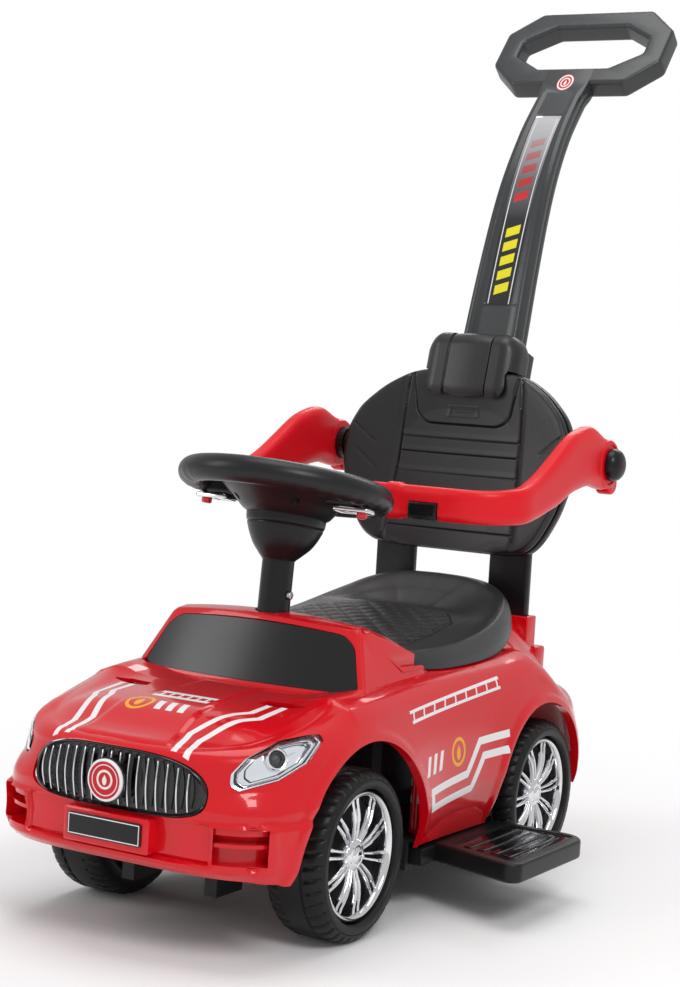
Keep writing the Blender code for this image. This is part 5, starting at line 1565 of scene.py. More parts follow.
@dataclass
class Windscreen:
    """The dark panel and the raised frame and dash that carry it."""

    bottom: tuple = (-0.1560, 0.2090)
    top: tuple = (-0.1333, 0.2552)
    half_bottom: float = 0.115
    half_top: float = 0.096
    thick: float = 0.0020
    sunk: float = 0.0007
    room: float = 0.0004
    bulge: float = 0.0120
    crown: float = 0.0060
    round_low: float = 0.006
    round_high: float = 0.014
    foot_z: float = 0.200
    stations: tuple = ((-0.158, 0.126, 0.123, 0.205), (-0.129, 0.125, 0.102, 0.2605),
                       (-0.118, 0.124, 0.102, 0.2625), (-0.088, 0.123, 0.106, 0.253),
                       (-0.040, 0.122, 0.113, 0.233), (-0.035, 0.122, 0.114, 0.223),
                       (-0.018, 0.122, 0.116, 0.216))

    def bulged(self, x: float) -> float:
        """How far the screen stands forward of its ends."""
        return self.bulge * max(0.0, 1 - (x / self.half_bottom) ** 2)

    def crowned(self, x: float) -> float:
        """How far its upper edge rises above its ends."""
        return self.crown * max(0.0, 1 - (x / self.half_top) ** 2)

    def skin(self, x: float, rise: float, out: float) -> Point:
        """A point across, as a share of the height, and out of the face.

        Args:
            x: Distance from the centre.
            rise: Share of the height.
            out: Distance out of the face.

        Returns:
            The point.
        """
        slope = math.atan2(self.top[1] - self.bottom[1], self.top[0] - self.bottom[0])
        y = self.bottom[0] + (self.top[0] - self.bottom[0]) * rise - self.bulged(x)
        z = self.bottom[1] + (self.top[1] - self.bottom[1]) * rise
        return (x, y - out * math.sin(slope), z + out * math.cos(slope))

    @staticmethod
    def corner_loss(distance: float, radius: float) -> float:
        """What a rounded corner takes from the width at a distance from the end."""
        return radius - math.sqrt(max(radius ** 2 - max(radius - distance, 0.0) ** 2, 0.0))

    def block(self, margin: float, back: float, front: float) -> Mesh:
        """A slab in the screen's outline, between two distances out of its face.

        Args:
            margin: How much wider than the outline.
            back: Inner distance.
            front: Outer distance.

        Returns:
            The slab.
        """
        height = math.dist(self.bottom, self.top)
        ends = [0.0, 0.01, 0.04, 0.08, 0.12]
        rows = ends + [0.12 + (0.72 - 0.12) * k / 8 for k in range(1, 8)]
        rows += [1 - 0.28 * (1 - math.sin(k * math.pi / 16)) for k in range(9)]
        across = [math.sin(math.pi / 2 * k / 16) for k in range(-16, 17)]
        rings = []
        for row in sorted(set(rows)):
            half = self.half_bottom + (self.half_top - self.half_bottom) * row
            half -= self.corner_loss(row * height, self.round_low)
            half -= self.corner_loss((1 - row) * height, self.round_high)
            ring = []
            for out, parts in ((front, across), (back, across[::-1])):
                for part in parts:
                    x = half * part + (margin * part if abs(part) == 1 else 0.0)
                    top = 1 + (self.crowned(x) + margin) / height
                    ring.append(self.skin(x, row * top - (1 - row) * margin / height, out))
            rings.append(ring)
        return Draft.loft(rings, strips=True)

    def cowl(self, inset: float, foot: float, setback: float = 0.0) -> Mesh:
        """The frame and the dash with its arms beside the seat.

        Args:
            inset: Depth below its outside.
            foot: Level of its lowest edge.
            setback: How much further back its front face is.

        Returns:
            A closed block.
        """
        rings = []
        parts = [math.sin(math.pi / 2 * k / 8) for k in range(8, 0, -1)]
        for k, (y, half_low, half_top, top) in enumerate(self.stations):
            low, high, top = half_low - inset, half_top - inset, top - inset
            rise = max(top - self.foot_z, 0.001)
            shoulder, edge = (low + high) / 2, top - min(0.004, 0.4 * rise)
            middle = self.foot_z + (edge - self.foot_z) / 2
            flat = high - 0.006
            half = [(low, foot), (low, self.foot_z), (shoulder, middle), (high, edge)]
            half += [(flat * part, top) for part in parts]
            ring = half + [(0.0, top)] + [(-x, z) for x, z in reversed(half)]
            forward = 1.0 if k < 2 else 0.0
            lift = (0.0, 1.0, 1.0, 0.6, 0.0, 0.0, 0.0)[k]
            rings.append([(x, y + (setback if k < 2 else 0.0) - forward * self.bulged(x),
                           z + (lift * self.crowned(x) if z == top else 0.0)) for x, z in ring])
        return Draft.loft(rings)

    def build(self, car: Car) -> None:
        """Make the dark panel.

        Args:
            car: The car that the pieces go to.
        """
        panel = self.block(0.0, -self.sunk - self.thick, -self.sunk)
        panel = Draft.softened(panel, 0.0006, 2, 50)
        finish = MouldedPlastic("screen_black", (0.006, 0.006, 0.007), 0.22, 0.000004, 500.0, 0.0, 0.12, 0.42)
        car.add("windscreen", panel, "car", finish.material(), "black_satin", ("windscreen_panel",), 40)


@dataclass
class Saddle:
    """The seat and the edge that the body's bed is cut to."""

    edge: tuple = ((0.0, -0.0795, 0.228), (0.075, -0.0785, 0.227), (0.098, -0.066, 0.2245),
                   (0.107, -0.043, 0.2205), (0.1150, -0.018, 0.2180), (0.1200, 0.020, 0.2175),
                   (0.1200, 0.080, 0.2190), (0.114, 0.130, 0.225), (0.102, 0.170, 0.238),
                   (0.084, 0.197, 0.254), (0.052, 0.2125, 0.267), (0.0, 0.2165, 0.270))
    rim: Keys = ((-0.08, 0.236), (0.0, 0.239), (0.05, 0.2425), (0.10, 0.2490), (0.14, 0.2575),
                 (0.17, 0.2650), (0.197, 0.2745), (0.2125, 0.2815), (0.217, 0.2835))
    panel: Keys = ((-0.08, 0.237), (0.0, 0.2415), (0.06, 0.247), (0.13, 0.252))
    hinge: tuple = (-0.0865, 0.2335)
    wall: float = 0.0035
    pin: float = 0.0025
    pitch: float = 0.0235

    def edge_points(self, steps: int) -> list:
        """The seat's lower edge with smooth points between its keys.

        Args:
            steps: Parts between two keys.

        Returns:
            The points from front to rear.
        """
        keys = self.edge
        points = []
        for k in range(len(keys) - 1):
            before, after = keys[max(k - 1, 0)], keys[min(k + 2, len(keys) - 1)]
            for i in range(steps):
                t = i / steps
                blend = []
                for axis in range(3):
                    p0, p1, p2, p3 = before[axis], keys[k][axis], keys[k + 1][axis], after[axis]
                    m1, m2 = (p2 - p0) / 2, (p3 - p1) / 2
                    blend.append((2 * t ** 3 - 3 * t ** 2 + 1) * p1 + (t ** 3 - 2 * t ** 2 + t) * m1
                                 + (3 * t ** 2 - 2 * t ** 3) * p2 + (t ** 3 - t ** 2) * m2)
                points.append(tuple(blend))
        points.append(keys[-1])
        return points

    def bed(self) -> Mesh:
        """Room for the seat's rim in the body.

        Returns:
            A closed block.
        """
        rings = []
        for reach, lift, top in ((0.65, 0.010, None), (0.94, -0.0006, None), (1.009, -0.0006, None),
                                 (1.009, 0.0, 0.33)):
            half = [(x * reach, (y - 0.07) * reach + 0.07, (z + lift) if top is None else top)
                    for x, y, z in self.edge_points(6)]
            rings.append(half + [(-x, y, z) for x, y, z in reversed(half[1:-1])])
        return Draft.loft(rings)

    def rings(self, inset: float, steps: int, levels: int) -> np.ndarray:
        """Rings of the saddle: up its skirt to the rim, down into the dish and in to the middle.

        Args:
            inset: Depth below the outside.
            steps: Parts between two keys of the edge.
            levels: Rings from the skirt to the middle.

        Returns:
            Levels x points x 3.
        """
        columns = []
        shrink = 1 - inset / 0.1
        for x, y, z in self.edge_points(steps):
            rear = min(max((y - 0.11) / 0.10, 0.0), 1.0)
            crest, dish = 0.17 + 0.05 * rear, 0.30 + 0.45 * rear
            y_end = min(max(y, -0.050), 0.125)
            rim, panel = keyed(self.rim, y), keyed(self.panel, y_end)
            keys = ((0.0, z), (0.012, z + 0.30 * (rim - z)), (0.03, z + 0.55 * (rim - z)),
                    (0.09, z + 0.88 * (rim - z)), (crest, rim), ((crest + dish) / 2, (rim + panel) / 2),
                    (dish, panel), (1.0, panel + 0.001))
            column = []
            for k in range(levels + 1):
                u = k / levels
                t = u ** 2.2 if u < 0.35 else 0.0993 + (u - 0.35) / 0.65 * (1 - 0.0993)
                y_here = y + (y_end - y) * t
                column.append((x * (1 - t) * shrink, y_here * shrink + 0.07 * (1 - shrink),
                               keyed(keys, t) - (inset if t > 0 else 0.0)))
            columns.append(column)
        return both_halves(columns)

    def quilting(self, grid: np.ndarray) -> np.ndarray:
        """Depth of the moulded quilting and of the seam round it, in metres.

        Args:
            grid: Points of the seat.

        Returns:
            Heights, negative inwards.
        """
        x, y = grid[..., 0], grid[..., 1]
        half = np.interp(y, (-0.075, -0.02, 0.03, 0.08, 0.12, 0.140), (0.078, 0.086, 0.086, 0.080, 0.055,
                                                                      0.010))
        end = np.minimum(half - np.abs(x), (0.141 - y) * 1.2)
        inside = eased(0.0, 0.004, end)
        u, v = (x + y * 0.90) / self.pitch, (x - y * 0.90) / self.pitch
        puff = np.abs(np.sin(np.pi * u) * np.sin(np.pi * v)) ** 0.6
        seam = groove(end, 0.0030)
        return inside * 0.0018 * puff - 0.0016 * seam

    def build(self, car: Car) -> None:
        """Make the seat with its dish, quilting and hollow.

        Args:
            car: The car that the pieces go to.
        """
        outer = self.rings(0.0, 16, 110)
        normal = grid_normals(outer)
        normal *= np.sign(normal[40:41, :, 2:3])
        fade = eased(0.0, 0.25, normal[..., 2])
        outer = outer + normal * (self.quilting(outer) * fade)[..., None]
        mesh = Draft.shell(list(outer), list(self.rings(self.wall, 16, 24)))
        y, z = self.hinge
        lug = Draft.box((-0.024, y - 0.0045, z - 0.0045), (0.024, y + 0.011, z + 0.0022))
        mesh = Draft.worked(mesh, Join.ADD, [lug])
        bore = Draft.rod((-0.05, y, z), (0.05, y, z), self.pin + GAP)
        mesh = Draft.worked(mesh, Join.CUT, [bore])
        finish = LeatherLook("seat_black", (0.026, 0.026, 0.027), 0.34, self.pitch)
        car.add("saddle", mesh, "lid_seat", finish.material(), "black_matte", ("seat",), 55)


@dataclass
class BodyShell:
    """The red body: skin, cowl, sockets and bosses, with all that is open in them."""

    skin: BodySkin
    screen: Windscreen
    saddle: Saddle
    wall: float = 0.0032
    grille_half: float = 0.088
    grille_z: float = 0.1395
    boss_front: float = -0.3575
    column: tuple = (-0.109, 0.380, math.radians(5.0), 0.0148)
    intake_z: float = 0.0925
    intake_pitch: float = 0.0145
    bosses: tuple = ((0.030, -0.285, 0.0963, 0.1961), (0.118, -0.040, 0.0688, 0.213),
                     (0.118, 0.048, 0.0688, 0.214), (0.060, 0.242, 0.0963, 0.200))

    def grille_span(self, x: float) -> tuple:
        """Lower and upper edge of the grille at a distance from the centre.

        Args:
            x: Distance from the centre.

        Returns:
            The two heights.
        """
        t = min(abs(x) / self.grille_half, 1.0)
        low, top = (1 - t ** 5.0) ** (1 / 2.2), (1 - t ** 3.4) ** (1 / 2.2)
        return self.grille_z - 0.0175 * low, self.grille_z + 0.0335 * top

    def grille_block(self, margin: float, front: float, depth: float, steps: int = 48) -> Mesh:
        """A slab that follows the nose inside the grille's outline.

        Args:
            margin: How much wider than the outline.
            front: How far before the skin it starts.
            depth: Its thickness.
            steps: Strips across.

        Returns:
            The slab.
        """
        rings = []
        for k in range(steps + 1):
            x = self.grille_half * math.sin(math.pi * (k / steps - 0.5))
            low, top = self.grille_span(x * 0.9995)
            low, top = low - margin, top + margin
            x *= 1 + margin / self.grille_half
            y = self.skin.face_y(x, 0.15) - front
            rings.append([(x, y, low), (x, y + depth, low), (x, y + depth, top), (x, y, top)])
        return Draft.loft(rings)

    @staticmethod
    def paired(low: Point, high: Point, side: Side, soft: float = 0.0) -> Mesh:
        """A block on one side, from its left-hand corners, with rounded edges if asked.

        Args:
            low: Lowest corner.
            high: Highest corner.
            side: The side of the car.
            soft: Width of the rounding.

        Returns:
            The block.
        """
        x0, x1 = sorted((side.value * low[0], side.value * high[0]))
        block = Draft.box((x0, low[1], low[2]), (x1, high[1], high[2]))
        return Draft.softened(block, soft, 3) if soft else block

    def intake(self, side: Side, half: float, low: float, high: float, inset: float,
               how: Join) -> Mesh:
        """A block at a front corner, kept to what lies inside or outside of the skin at some depth.

        Args:
            side: The side of the car.
            half: Half of its width.
            low: Its lower level.
            high: Its upper level.
            inset: Depth below the outside.
            how: Whether what lies inside or outside is kept.

        Returns:
            The block.
        """
        block = Draft.box((-half, -0.024, low), (half, 0.020, high))
        Draft.placed(block, posed((side.value * 0.112, -0.326, 0), "Z", side.value * 36))
        return Draft.worked(block, how, [self.skin.solid(inset)])

    @staticmethod
    def upright(side: Side, inner: float, outer: float, line: tuple) -> Mesh:
        """A block with an outline seen from the side, its outer face kept behind the cowl's side.

        Args:
            side: The side of the car.
            inner: Where its inner face is.
            outer: Where its outer face is at most.
            line: Its outline as y and z.

        Returns:
            The block.
        """
        rings = [[(side.value * inner, y, z) for y, z in line],
                 [(side.value * min(outer, 0.1228 - (z - 0.209) * 0.447), y, z) for y, z in line]]
        return Draft.loft(rings)

    def walls(self) -> list:
        """Wall and floor of the ledge outside the cowl's wings.

        Returns:
            The blocks.
        """
        made = []
        for side in Side:
            made.append(self.upright(side, 0.1043, 0.1080, ((-0.112, 0.2185), (-0.044, 0.2185),
                                                            (-0.044, 0.2315), (-0.078, 0.2425),
                                                            (-0.112, 0.2465))))
            made.append(self.upright(side, 0.1046, 0.1165, ((-0.104, 0.2385), (-0.079, 0.2216),
                                                            (-0.040, 0.2196), (-0.040, 0.2230),
                                                            (-0.079, 0.2249), (-0.104, 0.2418))))
        return made

    def additions(self) -> list:
        """What is moulded on the skin.

        Returns:
            The solids.
        """
        cowl = Draft.softened(self.screen.cowl(0.0, 0.188), 0.0034, 4, 24)
        line = ((-0.121, 0.2535), (-0.079, 0.2252), (-0.030, 0.2232), (-0.030, 0.29), (-0.121, 0.29))
        steps = [Draft.loft([[(side.value * x, *point) for point in line] for x in (0.1080, 0.14)])
                 for side in Side]
        cowl = Draft.softened(Draft.worked(cowl, Join.CUT, steps), 0.0008, 2, 30)
        plate = Draft.softened(Draft.box((-0.043, self.boss_front, 0.090), (0.043, -0.338, 0.119)),
                               0.0022, 3)
        added = [cowl, plate]
        for side in Side:
            added.append(self.paired((0.052, -0.3372, 0.0775), (0.068, -0.3200, 0.085), side))
            added.append(self.paired((0.039, 0.2190, 0.185), (0.096, 0.2400, 0.246), side, 0.0016))
            added.append(self.paired((0.066, 0.2350, 0.165), (0.101, 0.2560, 0.214), side, 0.0030))
            low, high = self.intake_z - 0.0035, self.intake_z + 2 * self.intake_pitch - 0.0005
            added.append(self.intake(side, 0.0255, low, high, 0.0014, Join.KEEP))
            for x, y, foot, top in self.bosses:
                added.append(Draft.rod((side.value * x, y, foot), (side.value * x, y, top), 0.006, 20))
        return added

    def fins(self) -> list:
        """Bars and outer frames that stand in the corner intakes.

        Returns:
            The bars.
        """
        made = []
        for side in Side:
            z = self.intake_z + self.intake_pitch - 0.0020
            made.append(self.intake(side, 0.0215, z - 0.0016, z + 0.0016, 0.0022, Join.KEEP))
            top = self.intake_z + 2 * self.intake_pitch - 0.0040
            made.append(self.intake(side, 0.0215, top - 0.0040, top + 0.0010, 0.0034, Join.KEEP))
        return made

    def openings(self) -> list:
        """What is open in the skin.

        Returns:
            The solids that are cut away.
        """
        y0, z0, lean, radius = self.column

        def on_axis(along: float) -> Point:
            """A point of the steering axis."""
            return (0.0, y0 + along * math.sin(lean), z0 + along * math.cos(lean))

        opened = [self.screen.cowl(0.0036, 0.180, 0.0055)]
        for y, z, arch in (self.skin.front_arch, self.skin.rear_arch):
            opened.append(Draft.rod((-0.2, y, z), (0.2, y, z), arch, 128))
            opened.append(Draft.box((-0.2, y - arch, 0.03), (0.2, y + arch, z)))
        x, front, rear = 0.0805, -0.0475, 0.1875
        opened.append(Draft.board([(-x, front), (x, front), (x, rear), (-x, rear)], 0.019, 6, 0.12,
                                  at=(0, 0, 0.255)))
        opened.append(Draft.box((-0.1005, -0.0895, 0.219), (0.1005, -0.02, 0.30)))
        opened.append(self.saddle.bed())
        opened.append(Draft.rod(on_axis(-0.20), on_axis(-0.09), radius + 0.002, 48))
        opened.append(self.grille_block(0.0006, 0.02, 0.05))
        sunk = self.screen.sunk + self.screen.thick + self.screen.room
        opened.append(self.screen.block(0.0005, -sunk, 0.008))
        for side in Side:
            opened.append(self.paired((0.0440, 0.2240, 0.189), (0.0910, 0.2350, 0.32), side))
            low, high = self.intake_z, self.intake_z + 2 * self.intake_pitch - 0.0040
            opened.append(self.intake(side, 0.0225, low - 0.0030, high + 0.0020, 0.0110, Join.CUT))
            outline = [(-0.0225, -0.0062), (-0.0085, -0.0085), (0.0225, 0.0010), (0.0060, 0.0075),
                       (-0.0190, 0.0055)]
            vent = Draft.placed(Draft.board(outline, 0.0012, 2, 0.04), posed((0.08, -0.2205, 0.2), "Z", 4))
            opened.append(Draft.sided(vent, side))
            x = side.value * 0.060
            opened.append(Draft.rod((x, -0.3262, 0.070), (x, -0.3262, 0.0835), 0.0021, 16))
        return opened

    def build(self, car: Car, lamp_pockets: list) -> None:
        """Make the shell.

        Args:
            car: Where the piece goes.
            lamp_pockets: Blocks that open it for the lamps.
        """
        outer = self.skin.rings(0.0, None, (96, 96, 56), 46, 10, 46)
        normal = grid_normals(outer)
        middle = outer[:20].mean((0, 1))
        sign = np.sign(((outer[:20] - middle) * normal[:20]).sum())
        normal *= sign
        outer = outer + normal * self.skin.relief(outer, normal)[..., None]
        outer[-1, :, 0] = 0.0
        inner = self.skin.rings(self.wall, None, (96, 96, 56), 6, 3, 8)
        mesh = Draft.shell(list(outer), list(inner))
        mesh = Draft.worked(mesh, Join.ADD, self.additions())
        mesh = Draft.worked(mesh, Join.CUT, self.openings())
        mesh = Draft.worked(mesh, Join.ADD, self.fins() + self.walls())
        mesh = Draft.worked(mesh, Join.CUT, [self.saddle.bed()])
        mesh = Draft.worked(mesh, Join.CUT, lamp_pockets)
        mesh = self.hinged(mesh)
        car.add("red_body", mesh, "car", RedBody("red_gloss").material(), "red_shell", ("body_shell",), 33)

    def hinged(self, mesh: Mesh) -> Mesh:
        """The shell with the two lugs of the seat's hinge and the bore through them.

        Args:
            mesh: The shell.

        Returns:
            The shell with its hinge.
        """
        y, z = self.saddle.hinge
        lugs = []
        for side in Side:
            profile = ((-0.099, z - 0.0045), (y + 0.0045, z - 0.0045), (y + 0.0045, z + 0.0045),
                       (-0.0895, z + 0.0045), (-0.0895, 0.2560), (-0.099, 0.2560))
            lugs.append(Draft.loft([[(side.value * x, *point) for point in profile]
                                    for x in (0.0265, 0.0350)]))
        mesh = Draft.worked(mesh, Join.ADD, lugs)
        return Draft.worked(mesh, Join.CUT, [Draft.rod((-0.04, y, z), (0.04, y, z), 0.0028, 24)])


@dataclass
class FrontTrim:
    """Grille with its bright slats, round sign and plate."""

    shell: BodyShell
    slats: int = 17
    pitch: float = 0.009
    badge_z: float = 0.146
    badge_radius: float = 0.0175
    plate_half: float = 0.037
    plate_z: tuple = (0.096, 0.115)

    def slat_paths(self) -> list:
        """Middle lines of the slats, bowed like the nose.

        Returns:
            One path for each slat.
        """
        paths = []
        for k in range(self.slats):
            x = (k - self.slats // 2) * self.pitch
            low, top = self.shell.grille_span(x)
            low, top = low + 0.0045, top - 0.0045
            path = []
            for i in range(13):
                z = low + (top - low) * i / 12
                bow = 0.0030 * math.sin(math.pi * i / 12)
                path.append((x * (1 + 0.012 * math.sin(math.pi * i / 12)),
                             self.shell.skin.face_y(x, 0.15) + 0.0012 - bow, z))
            paths.append(path)
        return paths

    def back_panel(self) -> Mesh:
        """The black panel: dished behind the slats, with a rounded rim and the seat of the sign.

        Returns:
            The panel.
        """
        steps, middle = 96, self.shell.grille_z
        rings = []
        for depth, shrink in ((0.0075, 1.0), (-0.0004, 1.0), (-0.0014, 0.990), (-0.0018, 0.975),
                              (-0.0008, 0.955), (0.0035, 0.940), (0.0050, 0.925), (0.0050, 0.5)):
            ring = []
            for k in range(steps):
                a = 2 * math.pi * (k + 0.5) / steps
                x = self.shell.grille_half * 0.9995 * math.cos(a)
                low, top = self.shell.grille_span(x)
                z = top if math.sin(a) > 0 else low
                x, z = x * shrink, middle + (z - middle) * shrink
                ring.append((x, self.shell.skin.face_y(x, 0.15) + depth + 0.0006, z))
            rings.append(ring)
        panel = Draft.loft(rings)
        seat = Draft.turned([(0.0, -0.004), (0.0172, -0.004), (0.0172, 0.0052), (0.0186, 0.0056),
                             (0.0188, 0.0068), (0.0182, 0.0074), (0.0, 0.0072)], 96)
        Draft.placed(seat, posed((0, -0.3520, self.badge_z), "X", 90))
        return Draft.together([panel, seat])

    def build(self, car: Car) -> None:
        """Make the grille, its slats, the sign and the plate.

        Args:
            car: The car that the pieces go to.
        """
        black = MouldedPlastic("grille_black", (0.006, 0.006, 0.007), 0.14, 0.000004, 400.0, 0.5)
        car.add("grille_panel", self.back_panel(), "car", black.material(), "black_gloss", ("grille",), 40)
        chrome = PlatedChrome("slat_chrome").material()
        slats = sweep_tree(0.0013, 0.0062).run(path_mesh(self.slat_paths()), chrome)
        slats = Draft.softened(slats, 0.00035, 2, 40)
        car.add("grille_slats", slats, "car", chrome, "chrome_plastic")
        disc = [(0.0, -0.3593), (self.badge_radius, -0.3593), (self.badge_radius, -0.3610),
                (self.badge_radius - 0.0008, -0.3618), (self.badge_radius - 0.0022, -0.3618),
                (self.badge_radius - 0.0027, -0.3613), (0.0, -0.3617)]
        sign = Draft.turned([(r, -d) for r, d in disc], 96)
        car.add("grille_sign", Draft.placed(sign, posed((0, 0, self.badge_z), "X", 90)), "car",
                BadgeFace("sign_face", self.badge_z, self.badge_radius).material(), "white",
                ("grille_badge",), 30)
        outline = [(-self.plate_half, self.plate_z[0]), (self.plate_half, self.plate_z[0]),
                   (self.plate_half, self.plate_z[1]), (-self.plate_half, self.plate_z[1])]
        plate = Draft.board(outline, 0.0016, 4, 0.0020, 0.0005)
        Draft.placed(plate, posed((0, self.shell.boss_front - 0.0013, 0), "X", 90))
        finish = PlateFace("plate_face", (-self.plate_half, self.plate_z[0]),
                           (self.plate_half, self.plate_z[1]))
        car.add("front_plate", plate, "car", finish.material(), "black_gloss", ("number_plate",), 40)


@dataclass
class Headlamps:
    """Clear lenses that follow the skin, over bright bowls with a light guide and a round projector."""

    skin: BodySkin
    centre: Point = (0.121, -0.286, 0.170)
    facing: Point = (0.80, -0.52, 0.30)
    rise: float = 0.08
    outline: tuple = ((-0.0490, -0.0150), (-0.0430, -0.0207), (-0.0090, -0.0162), (0.0210, -0.0045),
                      (0.0435, 0.0140), (0.0395, 0.0178), (0.0280, 0.0182), (-0.0014, 0.0154),
                      (-0.0345, 0.0042), (-0.0470, -0.0060))
    projector: tuple = (-0.0060, 0.0012)

    def axes(self) -> Matrix:
        """Axes of the left lamp: along to its tip, up, and out of the body.

        Returns:
            The matrix from the lamp's own frame.
        """
        facing = Vector(self.facing).normalized()
        along = Vector((-facing.y, facing.x, 0)).normalized()
        along = (along + Vector((0, 0, self.rise))).normalized()
        upward = facing.cross(along).normalized()
        along = upward.cross(facing).normalized()
        turn = Matrix((along, upward, facing)).transposed().to_4x4()
        return Matrix.Translation(self.centre) @ turn

    def grown(self, margin: float, steps: int = 6) -> list:
        """The outline, wider by a margin, with rounded corners."""
        points = [tuple(Vector(p) * (1 + margin / Vector(p).length)) for p in self.outline]
        return rounded_outline(points, 0.004, steps)

    def pocket(self) -> Mesh:
        """What the body loses for the left lamp."""
        block = Draft.placed(Draft.plate(self.grown(0.0006), 0.060), self.axes())
        return Draft.worked(block, Join.KEEP, [self.skin.solid(-0.006)])

    def depth_map(self) -> BVHTree:
        """The skin, to find how far out it stands over a point of the lamp.

        Returns:
            The search tree of its faces.
        """
        work = bmesh.new()
        work.from_mesh(self.skin.solid(0.0))
        tree = BVHTree.FromBMesh(work)
        work.free()
        return tree

    def surface(self, tree: BVHTree, u: float, v: float, inset: float) -> Point:
        """A point under the skin at a place of the lamp.

        Args:
            tree: The skin.
            u: Along the lamp.
            v: Up the lamp.
            inset: Depth under the skin.

        Returns:
            The point.
        """
        axes = self.axes()
        start, way = axes @ Vector((u, v, 0.08)), -(axes.to_3x3() @ Vector((0, 0, 1)))
        hit, _, _, _ = tree.ray_cast(start, way)
        base = hit if hit is not None else axes @ Vector((u, v, 0.0))
        return tuple(base + way * inset)

    def sheet(self, tree: BVHTree, profile: list) -> list:
        """Rings over the lamp at shares of its outline, each at a depth under the skin.

        Args:
            tree: The skin.
            profile: Pairs of share and depth.

        Returns:
            Rings of points.
        """
        outline = self.grown(0.0)
        middle = Vector((-0.004, -0.0005))
        rings = []
        for share, depth in profile:
            ring = []
            for point in outline:
                u, v = middle + (Vector(point) - middle) * share
                ring.append(self.surface(tree, u, v, depth))
            rings.append(ring)
        return rings

    def bowl(self, tree: BVHTree) -> Mesh:
        """The bright bowl: rim, stepped wall, floor and the raised guide round it.

        Args:
            tree: The skin.

        Returns:
            The bowl.
        """
        rim = self.sheet(tree, [(0.60, 0.0105), (0.985, 0.0105), (0.985, 0.0022), (0.93, 0.0026),
                                (0.90, 0.0042), (0.84, 0.0046), (0.80, 0.0030), (0.74, 0.0030),
                                (0.71, 0.0052), (0.66, 0.0078), (0.50, 0.0084), (0.25, 0.0084)])
        return Draft.loft(rim)

    def lines(self, tree: BVHTree) -> Mesh:
        """Dark bands that lie in the bowl's grooves on either side of the guide.

        Args:
            tree: The skin.

        Returns:
            The bands.
        """
        bands = []
        for band in (((0.930, 0.0050), (0.930, 0.0038), (0.860, 0.0038), (0.860, 0.0050)),
                     ((0.735, 0.0062), (0.735, 0.0040), (0.685, 0.0054), (0.685, 0.0074))):
            bands.append(Draft.loft(self.sheet(tree, list(band + band[:1])), ends=False))
        return Draft.together(bands)

    def projector_parts(self, tree: BVHTree) -> tuple:
        """Ring and glass of the round projector.

        Args:
            tree: The skin.

        Returns:
            The bright ring, the dark ring inside it and the clear dome.
        """
        u, v = self.projector
        base = Vector(self.surface(tree, u, v, 0.0086))
        turn = self.axes().to_3x3().to_4x4()
        place = Matrix.Translation(base) @ turn
        ring = Draft.turned([(0.0062, 0.0), (0.0098, 0.0), (0.0096, 0.0036), (0.0086, 0.0046),
                             (0.0074, 0.0042), (0.0064, 0.0024)], 64)
        dark = Draft.turned([(0.0, 0.0004), (0.0064, 0.0004), (0.0064, 0.0026), (0.0058, 0.0034),
                             (0.0050, 0.0030), (0.0046, 0.0010), (0.0, 0.0010)], 48)
        dome = Draft.turned([(0.0, 0.0014), (0.0040, 0.0014), (0.0038, 0.0026), (0.0028, 0.0036),
                             (0.0014, 0.0041), (0.0, 0.0042)], 48)
        return tuple(Draft.placed(mesh, place) for mesh in (ring, dark, dome))

    def build(self, car: Car) -> None:
        """Make both lamps.

        Args:
            car: The car that the pieces go to.
        """
        tree = self.depth_map()
        chrome = PlatedChrome("lamp_chrome", (0.76, 0.77, 0.79), 0.10).material()
        dark = MouldedPlastic("lamp_dark", (0.015, 0.015, 0.017), 0.16, 0.000004, 500.0, 0.3).material()
        glass = ClearLens("lamp_clear").material()
        lens = Draft.loft(self.sheet(tree, [(0.3, 0.0014), (0.70, 0.0014), (0.95, 0.0014), (1.0, 0.0014),
                                            (1.0, -0.0004), (0.985, -0.0011), (0.95, -0.0013),
                                            (0.70, -0.0012), (0.3, -0.0012)]))
        ring, inner, dome = self.projector_parts(tree)
        bowl = Draft.together([self.bowl(tree), ring])
        socket = Draft.together([inner, self.lines(tree)])
        for side in Side:
            word = side.word
            car.add("lamp_bowl_" + word, Draft.sided(bowl, side), "car", chrome, "chrome_plastic",
                    ("headlight_reflector_" + word,), 40)
            car.add("lamp_socket_" + word, Draft.sided(socket, side), "car", dark, "black_satin")
            car.add("lamp_dome_" + word, Draft.sided(dome, side), "car", glass, "clear")
            car.add("lamp_lens_" + word, Draft.sided(lens, side), "car", glass, "clear",
                    ("headlight_lens_" + word,), 50)


